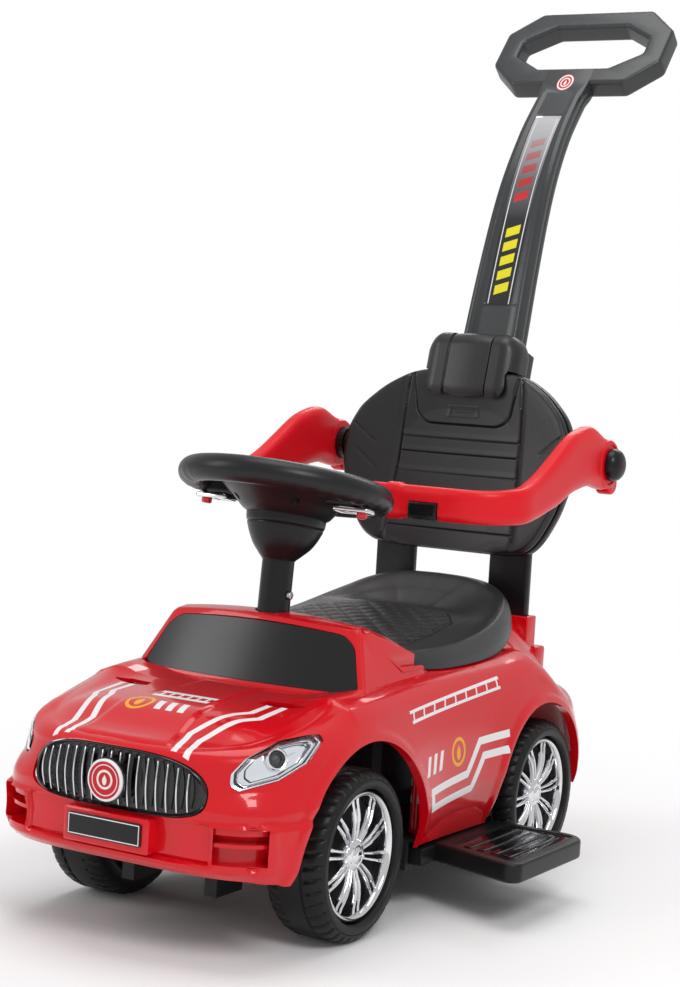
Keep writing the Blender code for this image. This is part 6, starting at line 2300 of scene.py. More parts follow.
@dataclass
class SteeringGear:
    """Column with its funnel and the tilted wheel with hub, trims, buttons and cover."""

    centre: Point = (0.0, -0.109, 0.380)
    lean: float = 5.0
    tilt: float = 7.0
    radius: float = 0.0995
    tube: float = 0.0125
    hub_foot: Point = (0.0090, -0.0265, 0.0368)
    column: float = 0.0148
    rod: float = 0.004

    def axis(self) -> Matrix:
        """The steering axis, with the wheel's middle as its origin."""
        return posed(self.centre, "X", -self.lean)

    def wheel_place(self) -> Matrix:
        """The wheel's own plane."""
        return self.axis() @ posed((0, 0, 0), "X", -self.tilt)

    def funnel(self) -> Mesh:
        """The skirt between the column and the hub, with a moulded line near its top.

        Returns:
            The skirt.
        """
        shift, rise, radius = self.hub_foot
        turn = Matrix.Rotation(math.radians(-self.tilt), 3, "X")
        foot = circle(self.column, 96)
        top = [turn @ Vector((x, shift + y, rise - GAP)) for x, y in circle(radius, 96)]
        keys = ((0.0, 0.03), (0.08, 0.16), (0.35, 0.58), (0.65, 0.85), (0.9, 0.99), (1.0, 1.0))
        rings = []
        for i in range(41):
            t = i / 40
            spread = keyed(keys, t)
            line = 0.0009 * math.exp(-((t - 0.80) / 0.018) ** 2)
            ring = []
            for (x, y), (u, v, w) in zip(foot, top):
                px, py = x + (u - x) * spread, y + (v - y) * spread
                reach = math.hypot(px, py)
                ring.append((px * (1 - line / reach), py * (1 - line / reach), -0.067 + (w + 0.067) * t))
            rings.append(ring)
        return Draft.loft(rings)

    def hub(self) -> Mesh:
        """The bowl of the wheel's hub.

        Returns:
            The bowl.
        """
        shift, rise, radius = self.hub_foot
        keys = ((0.0, radius), (0.12, radius + 0.0040), (0.45, 0.0480), (0.80, 0.0570), (1.0, 0.0600))
        rings = []
        for i in range(33):
            t = i / 32
            height, centre = rise + (-0.002 - rise) * t, shift * (1 - t)
            rings.append([(x, centre + y, height) for x, y in circle(keyed(keys, t), 96)])
        for drop, lift in ((0.98, 0.0015), (0.955, 0.0040), (0.92, 0.0056), (0.88, 0.0060)):
            rings.append([(x * drop, y * drop, lift) for x, y in circle(0.06, 96)])
        return Draft.loft(rings)

    def rim(self) -> Mesh:
        """The rim: round, with shallow finger waves below and a moulded seam on its inner side.

        Returns:
            The rim.
        """
        major = self.radius - self.tube
        turns, around = 240, 40
        rings = []
        for i in range(turns):
            a = 2 * math.pi * i / turns
            ring = []
            for k in range(around):
                b = 2 * math.pi * k / around
                under = max(0.0, -math.sin(b))
                wave = 0.00045 * under * math.cos(a * 36) * (1 if abs(math.sin(a)) < 0.86 else 0)
                seam = 0.0004 * math.exp(-((math.sin((b - math.pi) / 2)) / 0.035) ** 2)
                size = self.tube - 0.00045 * under + wave - seam
                reach = major + size * math.cos(b)
                ring.append((reach * math.cos(a), reach * math.sin(a), size * math.sin(b)))
            rings.append(ring)
        return Draft.round_web(rings)

    def wheel(self) -> Mesh:
        """Rim, hub and spokes as one moulding with its wells.

        Returns:
            The moulding.
        """
        spokes = []
        for angle, low in ((0, -0.0130), (180, -0.0130), (270, -0.0055)):
            web = Draft.box((0.045, -0.0110, low), (0.0800, 0.0110, 0.0045))
            web = Draft.softened(web, 0.0030, 4)
            spokes.append(Draft.placed(web, posed((0, 0, 0), "Z", angle)))
        mesh = Draft.worked(self.rim(), Join.ADD, [self.hub(), *spokes])
        wells = [Draft.rod((0, 0, -0.0150), (0, 0, 0.03), 0.0365, 96)]
        for side in Side:
            x = side.value * 0.031
            wells.append(Draft.rod((x, -0.030, -0.03), (x, -0.030, -0.009), 0.0035, 24))
        return Draft.worked(mesh, Join.CUT, wells)

    def trim(self, side: Side) -> Mesh:
        """The bright strip under one spoke: a dished leaf with a raised edge and the button's well.

        Args:
            side: The side of the car.

        Returns:
            The strip.
        """
        outline = [(0.0560, -0.0105), (0.0930, -0.0080), (0.0930, 0.0080), (0.0560, 0.0105)]
        leaf = Draft.board(outline, 0.004, 8, 0.0045, 0.0014, 5)
        outline = [(0.0600, -0.0072), (0.0745, -0.0062), (0.0745, 0.0062), (0.0600, 0.0072)]
        hollow = Draft.board(outline, 0.0025, 6, 0.0016, 0.0006, at=(0, 0, -0.0024))
        leaf = Draft.worked(leaf, Join.CUT, [hollow])
        well = Draft.rod((0.0835, 0, -0.02), (0.0835, 0, 0.02), 0.0052, 48)
        leaf = Draft.worked(leaf, Join.CUT, [well])
        return Draft.sided(Draft.placed(leaf, posed((0, 0, -0.01555))), side)

    def build(self, car: Car) -> None:
        """Make the steering's visible pieces.

        Args:
            car: The car that the pieces go to.
        """
        axis, place = self.axis(), self.wheel_place()
        satin = MouldedPlastic("column_black", (0.008, 0.008, 0.009), 0.30, 0.00002, 1000.0)
        tube = Draft.rod((0, 0, -0.180), (0, 0, -0.060), self.column, 96)
        column = Draft.worked(tube, Join.ADD, [self.funnel()])
        bores = [Draft.rod((0, 0, -0.2), (0, 0, 0.02), self.rod + GAP, 32),
                 Draft.rod((0.007, 0, -0.098), (0.03, 0, -0.098), 0.0025, 24)]
        column = Draft.worked(column, Join.CUT, bores)
        car.add("column", Draft.placed(column, axis), "steering_gear", satin.material(), "black_satin",
                ("steering_column",), 40)
        grip = MouldedPlastic("wheel_black", (0.010, 0.010, 0.011), 0.34, 0.00004, 620.0, 0.0, 0.12, 0.34)
        car.add("rim_and_hub", Draft.placed(self.wheel(), place), "steering_gear", grip.material(),
                "black_matte", ("steering_wheel",), 40)
        cover = [(0.0, 0.0045), (0.0360, 0.0045), (0.0360, 0.0080), (0.0352, 0.0092), (0.0335, 0.0110),
                 (0.0310, 0.0124), (0.0298, 0.0121), (0.0286, 0.0128), (0.0200, 0.0145), (0.0100, 0.0149),
                 (0.0, 0.0150)]
        car.add("horn_cover", Draft.placed(Draft.turned(cover, 96), place), "steering_gear",
                satin.material(), "black_satin", ("hub_cover",), 30)
        chrome = PlatedChrome("trim_chrome").material()
        button = MouldedPlastic("button_red", (0.62, 0.012, 0.018), 0.25, 0.000005, 500.0, 0.5).material()
        for side in Side:
            car.add("trim_" + side.word, Draft.placed(self.trim(side), place), "steering_gear", chrome,
                    "chrome_plastic", ("wheel_trim_" + side.word,), 40)
            profile = [(0.0, -0.0152), (0.0048, -0.0152), (0.0048, -0.0212), (0.0040, -0.0222),
                       (0.0026, -0.0225), (0.0, -0.0225)]
            knob = Draft.placed(Draft.turned(profile, 48), posed((side.value * 0.0835, 0, 0)))
            car.add("button_" + side.word, Draft.placed(knob, place), side.word + "_button", button,
                    "red_guard", ("sound_button_" + side.word,), 40)
        screw = [(0.0, 0.0001), (0.0042, 0.0001), (0.0042, 0.0014), (0.0034, 0.0025), (0.0018, 0.0028),
                 (0.0, 0.0028)]
        head = Draft.turned([(r, self.column + GAP + h) for r, h in screw], 48)
        turn = posed((0, 0, -0.098), "Y", 90)
        slot = Draft.box((-0.0028, -0.0005, self.column + 0.0020), (0.0028, 0.0005, self.column + 0.006))
        cross = Draft.box((-0.0005, -0.0028, self.column + 0.0020), (0.0005, 0.0028, self.column + 0.006))
        head = Draft.worked(head, Join.CUT, [slot, cross])
        steel = BareSteel("screw_steel").material()
        car.add("column_screw_head", Draft.placed(head, axis @ turn), "steering_gear", steel, "steel",
                ("column_screw",), 40)


@dataclass
class Wheels:
    """Blow-moulded wheels with tread, and their bright caps over a dark back."""

    radius: float = 0.075
    width: float = 0.056
    outer_x: float = 0.1444
    half_wheelbase: float = 0.179
    axle: float = 0.004
    face: float = 0.009
    spokes: int = 10
    lugs: int = 40
    turned_by: tuple = (("front", 7), ("rear", 22))

    def profile(self) -> list:
        """Section of the wheel as radius, height outwards from its middle and share of tread there.

        Returns:
            The closed section.
        """
        half = self.width / 2
        bore, hub, face = self.axle + 0.0004, 0.0125, self.face
        side = [(bore, face, 0), (0.030, face, 0), (0.050, face, 0), (0.0560, face + 0.0030, 0),
                (0.0580, face + 0.0060, 0), (0.0586, face + 0.0100, 0), (0.0588, half - 0.0020, 0),
                (0.0594, half - 0.0006, 0), (0.0606, half, 0), (0.0640, half, 0), (0.0660, half - 0.0002, 0),
                (0.0668, half - 0.0010, 0), (0.0676, half - 0.0004, 0), (0.0690, half - 0.0008, 0.3),
                (0.0706, half - 0.0020, 1), (0.0720, half - 0.0034, 1), (0.0732, half - 0.0052, 1),
                (0.0741, half - 0.0074, 1), (0.0747, half - 0.0100, 1), (0.0750, half - 0.0125, 1)]
        tread = [(self.radius, h, 1) for h in (0.0135, 0.0115)]
        tread += [(self.radius - 0.0016, 0.0106, 0), (self.radius - 0.0016, 0.0090, 0),
                  (self.radius, 0.0080, 0), (self.radius, 0.0010, 0)]
        tread += [(self.radius, -h, s) for _, h, s in tread[::-1]]
        back = [(0.0750, -half + 0.0105, 1), (0.0742, -half + 0.0070, 1), (0.0726, -half + 0.0036, 1),
                (0.0705, -half + 0.0012, 0.5), (0.068, -half, 0), (0.057, -half, 0),
                (0.0545, -half + 0.0020, 0), (hub + 0.006, face - 0.0052, 0),
                (hub + 0.002, face - 0.0075, 0), (hub, -half, 0), (bore, -half, 0)]
        return side + tread + back

    def tyre(self) -> Mesh:
        """The wheel with slanting shoulder blocks and cross cuts.

        Returns:
            The wheel.
        """
        turns, rings = 320, []
        for i in range(turns):
            a = 2 * math.pi * i / turns
            ring = []
            for r, h, share in self.profile():
                phase = (a * self.lugs / (2 * math.pi) + abs(h) * 26.0) % 1.0
                cut = math.exp(-(min(abs(phase - 0.5), 0.5) / 0.11) ** 6)
                r_here = r - 0.0021 * share * cut
                ring.append((r_here * math.cos(a), r_here * math.sin(a), h))
            rings.append(ring)
        return Draft.round_web(rings)

    def spoke_pair(self) -> Mesh:
        """Two slender curved spokes that start together at the hub and part towards the rim.

        Returns:
            The pair.
        """
        bars = []
        for way in (-1, 1):
            rings = []
            for i in range(11):
                t = i / 10
                r = 0.0125 + (0.0510 - 0.0125) * t
                y = way * (0.0019 + 0.0019 * t ** 0.8)
                top = 0.0190 + 0.0026 * math.sin(math.pi * min(t * 1.1, 1.0)) + 0.0008 * t
                wide, low = 0.0013 + 0.0005 * t, top - 0.0044
                rings.append([(r, y - wide, low), (r, y + wide, low), (r, y + wide * 0.9, top - 0.0010),
                              (r, y + wide * 0.35, top), (r, y - wide * 0.35, top),
                              (r, y - wide * 0.9, top - 0.0010)])
            bars.append(Draft.loft(rings))
        return Draft.together(bars)

    def cap(self, chrome: Material) -> Mesh:
        """Rim ring, domed hub with nut and screws, and the spokes.

        Args:
            chrome: Its material.

        Returns:
            The cap.
        """
        lift = self.face + GAP
        ring = Draft.turned([(0.0506, lift + 0.0016), (0.0508, 0.0160), (0.0512, 0.0190),
                             (0.0522, 0.0222), (0.0532, 0.0235), (0.0544, 0.0240), (0.0556, 0.0236),
                             (0.0566, 0.0222), (0.0572, 0.0200), (0.0574, lift + 0.0072),
                             (0.0516, lift + 0.0004)], 160)
        hub = Draft.turned([(0.0088, lift), (0.0088, 0.0195), (0.0, 0.0195), (0.0, 0.0225),
                            (0.0040, 0.0224), (0.0060, 0.0219), (0.0068, 0.0208), (0.0074, 0.0206),
                            (0.0090, 0.0212), (0.0118, 0.0204), (0.0138, 0.0186), (0.0150, 0.0160),
                            (0.0158, 0.0112), (0.0158, lift)], 96)
        bolt = Draft.turned([(0.0, 0.0195), (0.0010, 0.0195), (0.0010, 0.0216), (0.0006, 0.0220),
                             (0.0, 0.0220)], 12)
        Draft.placed(bolt, posed((0.0098, 0, 0)))
        spokes = ring_tree(self.spokes).run(self.spoke_pair(), chrome)
        bolts = ring_tree(5).run(bolt, chrome)
        return Draft.together([ring, hub, spokes, bolts])

    def back(self) -> Mesh:
        """The dark disc seen between the spokes.

        Returns:
            The disc.
        """
        lift = self.face + GAP
        return Draft.turned([(0.0095, lift), (0.0095, lift + 0.0018), (0.0500, lift + 0.0018),
                             (0.0504, lift + 0.0010), (0.0504, lift)], 96)

    def build(self, car: Car) -> None:
        """Make the four wheels.

        Args:
            car: The car that the pieces go to.
        """
        rubber = MouldedPlastic("tyre_black", (0.009, 0.009, 0.009), 0.40, 0.00003, 800.0, 0.0, 0.12, 0.26)
        rubber = rubber.material()
        chrome = PlatedChrome("cap_chrome", (0.80, 0.80, 0.82), 0.06).material()
        dark = MouldedPlastic("cap_dark", (0.004, 0.004, 0.005), 0.55, 0.00001, 700.0, 0.0, 0.1, 0.1)
        dark = dark.material()
        tyre, cap, back = self.tyre(), self.cap(chrome), self.back()
        middle = self.outer_x - self.width / 2
        for end, angle in self.turned_by:
            y = self.half_wheelbase * (-1 if end == "front" else 1)
            for side in Side:
                place = posed((side.value * middle, y, self.radius), "Y", side.value * 90)
                place = place @ posed((0, 0, 0), "Z", angle)
                word = f"{end}_{side.word}"
                car.add("tyre_" + word, Draft.placed(tyre.copy(), place), word + "_wheel", rubber,
                        "black_satin", ("wheel_" + word,), 50)
                car.add("cap_" + word, Draft.placed(cap.copy(), place), word + "_wheel", chrome,
                        "chrome_plastic", ("hubcap_" + word,), 40)
                car.add("cap_back_" + word, Draft.placed(back.copy(), place), word + "_wheel", dark,
                        "black_satin", (), 40)


@dataclass
class Guard:
    """Two red arms that swing up on the backrest, with knobs, spacers and the latch that joins them."""

    pivot: tuple = (0.2405, 0.408)
    x: float = 0.158
    front_y: float = 0.017
    split_x: float = 0.038
    thick: float = 0.0185
    rise: Keys = ((0.017, 0.368), (0.05, 0.370), (0.080, 0.377), (0.120, 0.392), (0.165, 0.411),
                  (0.198, 0.4165), (0.240, 0.408))
    height: Keys = ((0.017, 0.032), (0.05, 0.034), (0.09, 0.041), (0.14, 0.055), (0.19, 0.060),
                    (0.240, 0.052))
    latch: tuple = ((0.064, 0.0062, 0.3530), (0.094, 0.0212, 0.3690))
    pin: float = 0.004

    def path(self, points: int = 91) -> list:
        """Middle line of the left arm from the pivot forwards and round the corner, with its height.

        Args:
            points: How many points.

        Returns:
            Pairs of point and height.
        """
        path = []
        for k in range(points):
            t = k / (points - 1)
            if t < 0.62:
                y = self.pivot[0] - 0.004 - (self.pivot[0] - 0.070) * t / 0.62
                path.append((Vector((self.x, y, keyed(self.rise, y))), keyed(self.height, y)))
            elif t < 0.84:
                a = (t - 0.62) / 0.22 * math.pi / 2
                r = 0.066 - self.front_y
                y = 0.066 - r * math.sin(a)
                path.append((Vector((self.x - r + r * math.cos(a), y, keyed(self.rise, y))),
                             keyed(self.height, y)))
            else:
                f = (t - 0.84 + 0.006) / (0.16 + 0.006)
                start = self.x - (0.066 - self.front_y)
                path.append((Vector((start * (1 - f), self.front_y, self.rise[0][1])), self.height[0][1]))
        return path

    def section(self, centre: Vector, along: Vector, height: float, sides: int = 40) -> list:
        """A rounded rectangle square to the path, slightly hollow on its outer side.

        Args:
            centre: Its middle.
            along: Way of the path.
            height: Its height.
            sides: Points round it.

        Returns:
            The ring.
        """
        lift = Vector((0, 0, 1))
        across = along.cross(lift).normalized()
        up = across.cross(along).normalized()
        ring = []
        for k in range(sides):
            a = 2 * math.pi * (k + 0.5) / sides
            c, s = math.cos(a), math.sin(a)
            squash = (abs(c) ** 3.6 + abs(s) ** 3.6) ** (-1 / 3.6)
            dent = 1 - 0.07 * max(0.0, 1 - (abs(s) * squash / 0.8) ** 2) * (1 if abs(c) > 0.5 else 0)
            ring.append(tuple(centre + across * (c * squash * dent * self.thick / 2)
                              + up * (s * squash * height / 2)))
        return ring

    def half(self, to_centre: float) -> Mesh:
        """The left arm as a loft that ends at a distance from the middle.

        Args:
            to_centre: Where it ends.

        Returns:
            The arm.
        """
        path = [(point, height) for point, height in self.path() if point.x > to_centre + 0.003]
        path.append((Vector((to_centre, self.front_y, self.rise[0][1])), self.height[0][1]))
        rings = []
        for k, (point, height) in enumerate(path):
            before, after = path[max(k - 1, 0)][0], path[min(k + 1, len(path) - 1)][0]
            along = Vector((after.x - before.x, after.y - before.y, 0)).normalized()
            rings.append(self.section(point, along, height))
        return Draft.loft(rings)

    def collar(self) -> Mesh:
        """The raised end of the left arm where the latch takes the right one.

        Returns:
            The collar.
        """
        path = []
        for x in (self.split_x, self.split_x + 0.0010, self.split_x + 0.0120, self.split_x + 0.0145):
            grow = 0.0 if x in (self.split_x, self.split_x + 0.0145) else 0.0016
            point = Vector((x, self.front_y, self.rise[0][1]))
            path.append(self.section_grown(point, grow))
        return Draft.loft(path)

    def section_grown(self, point: Vector, grow: float) -> list:
        """A section of the straight front, larger all round.

        Args:
            point: Its middle.
            grow: How much larger.

        Returns:
            The ring.
        """
        ring = self.section(point, Vector((-1, 0, 0)), self.height[0][1] + 2 * grow)
        return [(x, self.front_y + (y - self.front_y) * (1 + 2 * grow / self.thick), z)
                for x, y, z in ring]

    def arm(self, side: Side) -> Mesh:
        """One arm with its eye and hook, the bore, and on the left the latch's window.

        Args:
            side: The side of the car.

        Returns:
            The arm.
        """
        y, z = self.pivot
        mesh = self.half(self.split_x if side is Side.LEFT else -self.split_x + GAP)
        eye = Draft.softened(Draft.rod((self.x - 0.009, y, z), (self.x + 0.009, y, z), 0.0250, 96),
                             0.0030, 4, 50)
        hook = Draft.softened(Draft.rod((self.x - 0.0082, y + 0.012, z - 0.020),
                                        (self.x + 0.0082, y + 0.012, z - 0.020), 0.0110, 64), 0.0030, 4, 50)
        tools = [eye, hook]
        if side is Side.LEFT:
            tools.append(self.collar())
        mesh = Draft.worked(mesh, Join.ADD, tools)
        bores = [Draft.rod((0.1, y, z), (0.2, y, z), self.pin + GAP, 48),
                 Draft.turned([(0.0172, 0.0), (0.0205, 0.0), (0.0205, 0.006), (0.0172, 0.006)], 96)]
        Draft.placed(bores[1], posed((self.x + 0.009 - 0.0014, y, z), "Y", 90))
        if side is Side.LEFT:
            low, high = self.latch
            bores.append(Draft.box((low[0] - 0.0006, low[1] - 0.004, low[2] - 0.01),
                                   (high[0] + 0.0006, high[1] + 0.0040, high[2] + 0.0006)))
        mesh = Draft.worked(mesh, Join.CUT, bores)
        return Draft.sided(mesh, side)

    def build(self, car: Car) -> None:
        """Make both arms, the knobs, spacers and the latch.

        Args:
            car: The car that the pieces go to.
        """
        y, z = self.pivot
        red = MouldedPlastic("guard_red", (0.74, 0.006, 0.014), 0.32, 0.00001, 700.0, 0.0, 0.05, 0.30)
        red = red.material()
        black = MouldedPlastic("knob_black", (0.007, 0.007, 0.008), 0.28, 0.00001, 800.0).material()
        for side in Side:
            word = side.word
            car.add("arm_" + word, self.arm(side), word + "_guard", red, "red_guard",
                    ("guard_arm_" + word,), 40)
            face = self.x + self.thick / 2 + GAP
            shank = 0.118 - face
            knob = [(0.0, shank), (self.pin, shank), (self.pin, 0.0), (0.0158, 0.0), (0.0165, 0.0008),
                    (0.0165, 0.0040), (0.0160, 0.0062), (0.0146, 0.0088), (0.0122, 0.0110),
                    (0.0090, 0.0126), (0.0050, 0.0133), (0.0, 0.0135)]
            place = posed((side.value * face, y, z), "Y", side.value * 90)
            car.add("knob_" + word, Draft.placed(Draft.turned(knob, 96), place), "car", black,
                    "black_satin", ("guard_knob_" + word,), 40)
        low, high = self.latch
        latch = Draft.softened(Draft.box(low, high), 0.0010, 3)
        grips = []
        for k in range(4):
            at = high[2] - 0.0035 - k * 0.0024
            grips.append(Draft.box((low[0] + 0.003, low[1] - 0.002, at - 0.0006),
                                   (high[0] - 0.003, low[1] + 0.0008, at + 0.0006)))
        latch = Draft.worked(latch, Join.CUT, grips)
        car.add("latch_button", latch, "latch", black, "black_satin", ("guard_latch",), 40)
        car.dress(black, "guard_spacer_left", "guard_spacer_right")


@dataclass
class PushHandle:
    """The curved board behind the backrest with its ring grip, and the bolts that hold it."""

    path: tuple = ((0.2500, 0.347, 0.0360), (0.2574, 0.400, 0.0360), (0.2642, 0.447, 0.0355),
                   (0.2730, 0.490, 0.0350), (0.2850, 0.532, 0.0345), (0.3080, 0.610, 0.0325),
                   (0.3370, 0.691, 0.0300), (0.3740, 0.757, 0.0275), (0.4170, 0.8085, 0.0265),
                   (0.4320, 0.824, 0.0280))
    thick: float = 0.022
    edge: float = 0.004
    ring_centre: Point = (0.0, 0.4780, 0.8600)
    ring_tilt: float = 50.0
    strip_half: float = 0.0150
    strip: tuple = (0.224, 0.461)
    bolts: tuple = (("lower", 0.375), ("upper", 0.430))

    def spine(self, steps: int) -> list:
        """Points of the face's middle line with the board's half width and the way along.

        Args:
            steps: Parts along the board.

        Returns:
            Rows of y, z, half width and way.
        """
        ys = tuple((z, y) for y, z, _ in self.path)
        halves = tuple((z, half) for _, z, half in self.path)
        low, high = self.path[0][1], self.path[-1][1]
        made = []
        for k in range(steps + 1):
            z = low + (high - low) * k / steps
            ahead = keyed(ys, min(z + 0.001, high)) - keyed(ys, max(z - 0.001, low))
            span = min(z + 0.001, high) - max(z - 0.001, low)
            made.append((keyed(ys, z), z, keyed(halves, z), Vector((0, ahead, span)).normalized()))
        return made

    def lengths(self, spine: list) -> list:
        """How far up the board each point of the spine is.

        Args:
            spine: The spine's rows.

        Returns:
            Distances from the foot.
        """
        walked = [0.0]
        for a, b in zip(spine, spine[1:]):
            walked.append(walked[-1] + math.dist(a[:2], b[:2]))
        return walked

    def section(self, half: float, in_strip: bool) -> list:
        """Across and depth of the board's section: raised rims, sunk face, strip and rounded edges.

        Args:
            half: Half of the board's width.
            in_strip: Whether the strip runs there.

        Returns:
            The section's points.
        """
        rim, sunk = half - self.edge - 0.0036, half - self.edge - 0.0058
        deep = 0.0020 if in_strip else 0.0012
        near = [(half, self.edge), (half - 0.0012, 0.0012), (half - self.edge, 0.0), (rim, 0.0),
                (rim - 0.0006, 0.0003), (sunk, 0.0012), (self.strip_half + 0.0007, 0.0012),
                (self.strip_half, deep), (self.strip_half * 0.4, deep)]
        far = self.thick
        back = [(-half * 0.5, far), (-half + self.edge, far), (-half + 0.0012, far - 0.0012),
                (-half, far - self.edge), (-half, far / 2 + 0.0012), (-half + 0.0007, far / 2),
                (-half, far / 2 - 0.0012)]
        front = near + [(-x, d) for x, d in reversed(near)]
        return front[::-1] + [(-x, d) for x, d in reversed(back)] + [(x, d) for x, d in back]

    def board(self) -> Mesh:
        """The board as a fine loft.

        Returns:
            The board.
        """
        spine = self.spine(260)
        walked = self.lengths(spine)
        rings = []
        for (y, z, half, along), length in zip(spine, walked):
            out = Vector((0, along.z, -along.y))
            ring = self.section(half, self.strip[0] < length < self.strip[1])
            rings.append([tuple(Vector((x, y, z)) + out * d) for x, d in ring])
        return Draft.loft(rings)

    def coarse(self, wider: float, front: float, back: float, spare: int) -> Mesh:
        """The board's room, grown at its sides and faces; spare leaves off its upper part.

        Args:
            wider: Growth at the sides.
            front: Growth before the face.
            back: Growth behind.
            spare: How many keys to leave off at the top.

        Returns:
            The block.
        """
        rings = []
        for y, z, half, along in self.spine(36):
            if spare and z > self.path[-1 - spare][1]:
                continue
            out = Vector((0, along.z, -along.y))
            near, far, wide = -front, self.thick + back, half + wider
            rings.append([tuple(Vector((x, y, z)) + out * d) for x, d in
                          ((-wide, near + self.edge), (-wide + self.edge, near), (wide - self.edge, near),
                           (wide, near + self.edge), (wide, far - self.edge), (wide - self.edge, far),
                           (-wide + self.edge, far), (-wide, far - self.edge))])
        return Draft.loft(rings)

    def grip(self) -> Mesh:
        """The ring that is held.

        Returns:
            The ring with its neck.
        """
        half_x, half_y, corner, grip = 0.1025, 0.0601, 0.034, 0.0255
        outer = [(-half_x + corner, -half_y), (half_x - corner, -half_y), (half_x, -half_y + corner),
                 (half_x, half_y - corner), (half_x - corner, half_y), (-half_x + corner, half_y),
                 (-half_x, half_y - corner), (-half_x, -half_y + corner)]
        hole = [(x - math.copysign(grip, x), y - math.copysign(grip if abs(y) > 0.04 else grip * 0.55, y))
                for x, y in outer]
        ring = Draft.plate(rounded_outline(outer, 0.010, 8), 0.024, 0.0045,
                           (rounded_outline(hole, 0.006, 6)[::-1],), 5)
        neck = Draft.board([(-0.0262, -0.0840), (0.0262, -0.0840), (0.0285, -0.0580), (0.0285, -0.0375),
                            (-0.0285, -0.0375), (-0.0285, -0.0580)], 0.003, 6, 0.0100, 0.0012, 4,
                           (0, 0, 0.0073))
        ring = Draft.worked(ring, Join.ADD, [neck])
        return Draft.placed(ring, posed(self.ring_centre, "X", self.ring_tilt))

    def face(self, z: float) -> float:
        """Where the front of the board is at a height."""
        return keyed(tuple((point[1], point[0]) for point in self.path), z)

    def marked(self, mesh: Mesh) -> None:
        """Give each point its place across and along the board, and say what lies in the strip.

        Args:
            mesh: The handle.
        """
        spine = self.spine(400)
        walked = self.lengths(spine)
        line = np.array([(y, z) for y, z, _, _ in spine])
        ways = np.array([(along.y, along.z) for _, _, _, along in spine])
        points = np.zeros(len(mesh.vertices) * 3)
        mesh.vertices.foreach_get("co", points)
        points = points.reshape(-1, 3)
        gap = ((points[:, None, 1] - line[None, :, 0]) ** 2 + (points[:, None, 2] - line[None, :, 1]) ** 2)
        nearest = gap.argmin(1)
        offset = points[:, 1:] - line[nearest]
        depth = offset[:, 0] * ways[nearest, 1] - offset[:, 1] * ways[nearest, 0]
        slide = (offset * ways[nearest]).sum(1)
        along = np.array(walked)[nearest] + slide
        sunk = (depth > 0.0016) & (depth < 0.0030)
        strip = (along < walked[-1]) & sunk & (np.abs(points[:, 0]) < self.strip_half + 0.0001)
        values = {"across": points[:, 0], "along": along, "strip": strip}
        for name, value in values.items():
            layer = mesh.attributes.new(name, "FLOAT", "POINT")
            layer.data.foreach_set("value", value.astype(np.float32))

    def build(self, car: Car) -> None:
        """Make the handle and its bolts.

        Args:
            car: The car that the pieces go to.
        """
        mesh = Draft.worked(self.board(), Join.ADD, [self.grip()], True)
        bores = []
        for _, z in self.bolts:
            y = self.face(z)
            bores.append(Draft.rod((0, y - 0.01, z), (0, y + 0.04, z), 0.003 + GAP, 24))
        mesh = Draft.worked(mesh, Join.CUT, bores, True)
        self.marked(mesh)
        car.add("handle", mesh, "car", HandlePlastic("handle_grey").material(), "handle_grey",
                ("push_handle",), 32)
        steel = BareSteel("bolt_steel").material()
        for word, z in self.bolts:
            seat = self.face(z) + self.thick + 0.0062
            head = Draft.softened(Draft.rod((0, seat, z), (0, seat + 0.0038, z), 0.0063, 6), 0.0005, 2)
            shank = Draft.rod((0, self.face(z) - 0.012, z), (0, seat + 0.001, z), 0.003, 24)
            mesh = Draft.worked(head, Join.ADD, [shank])
            car.add("bolt_" + word, mesh, "car", steel, "steel", ("handle_bolt_" + word,), 30)


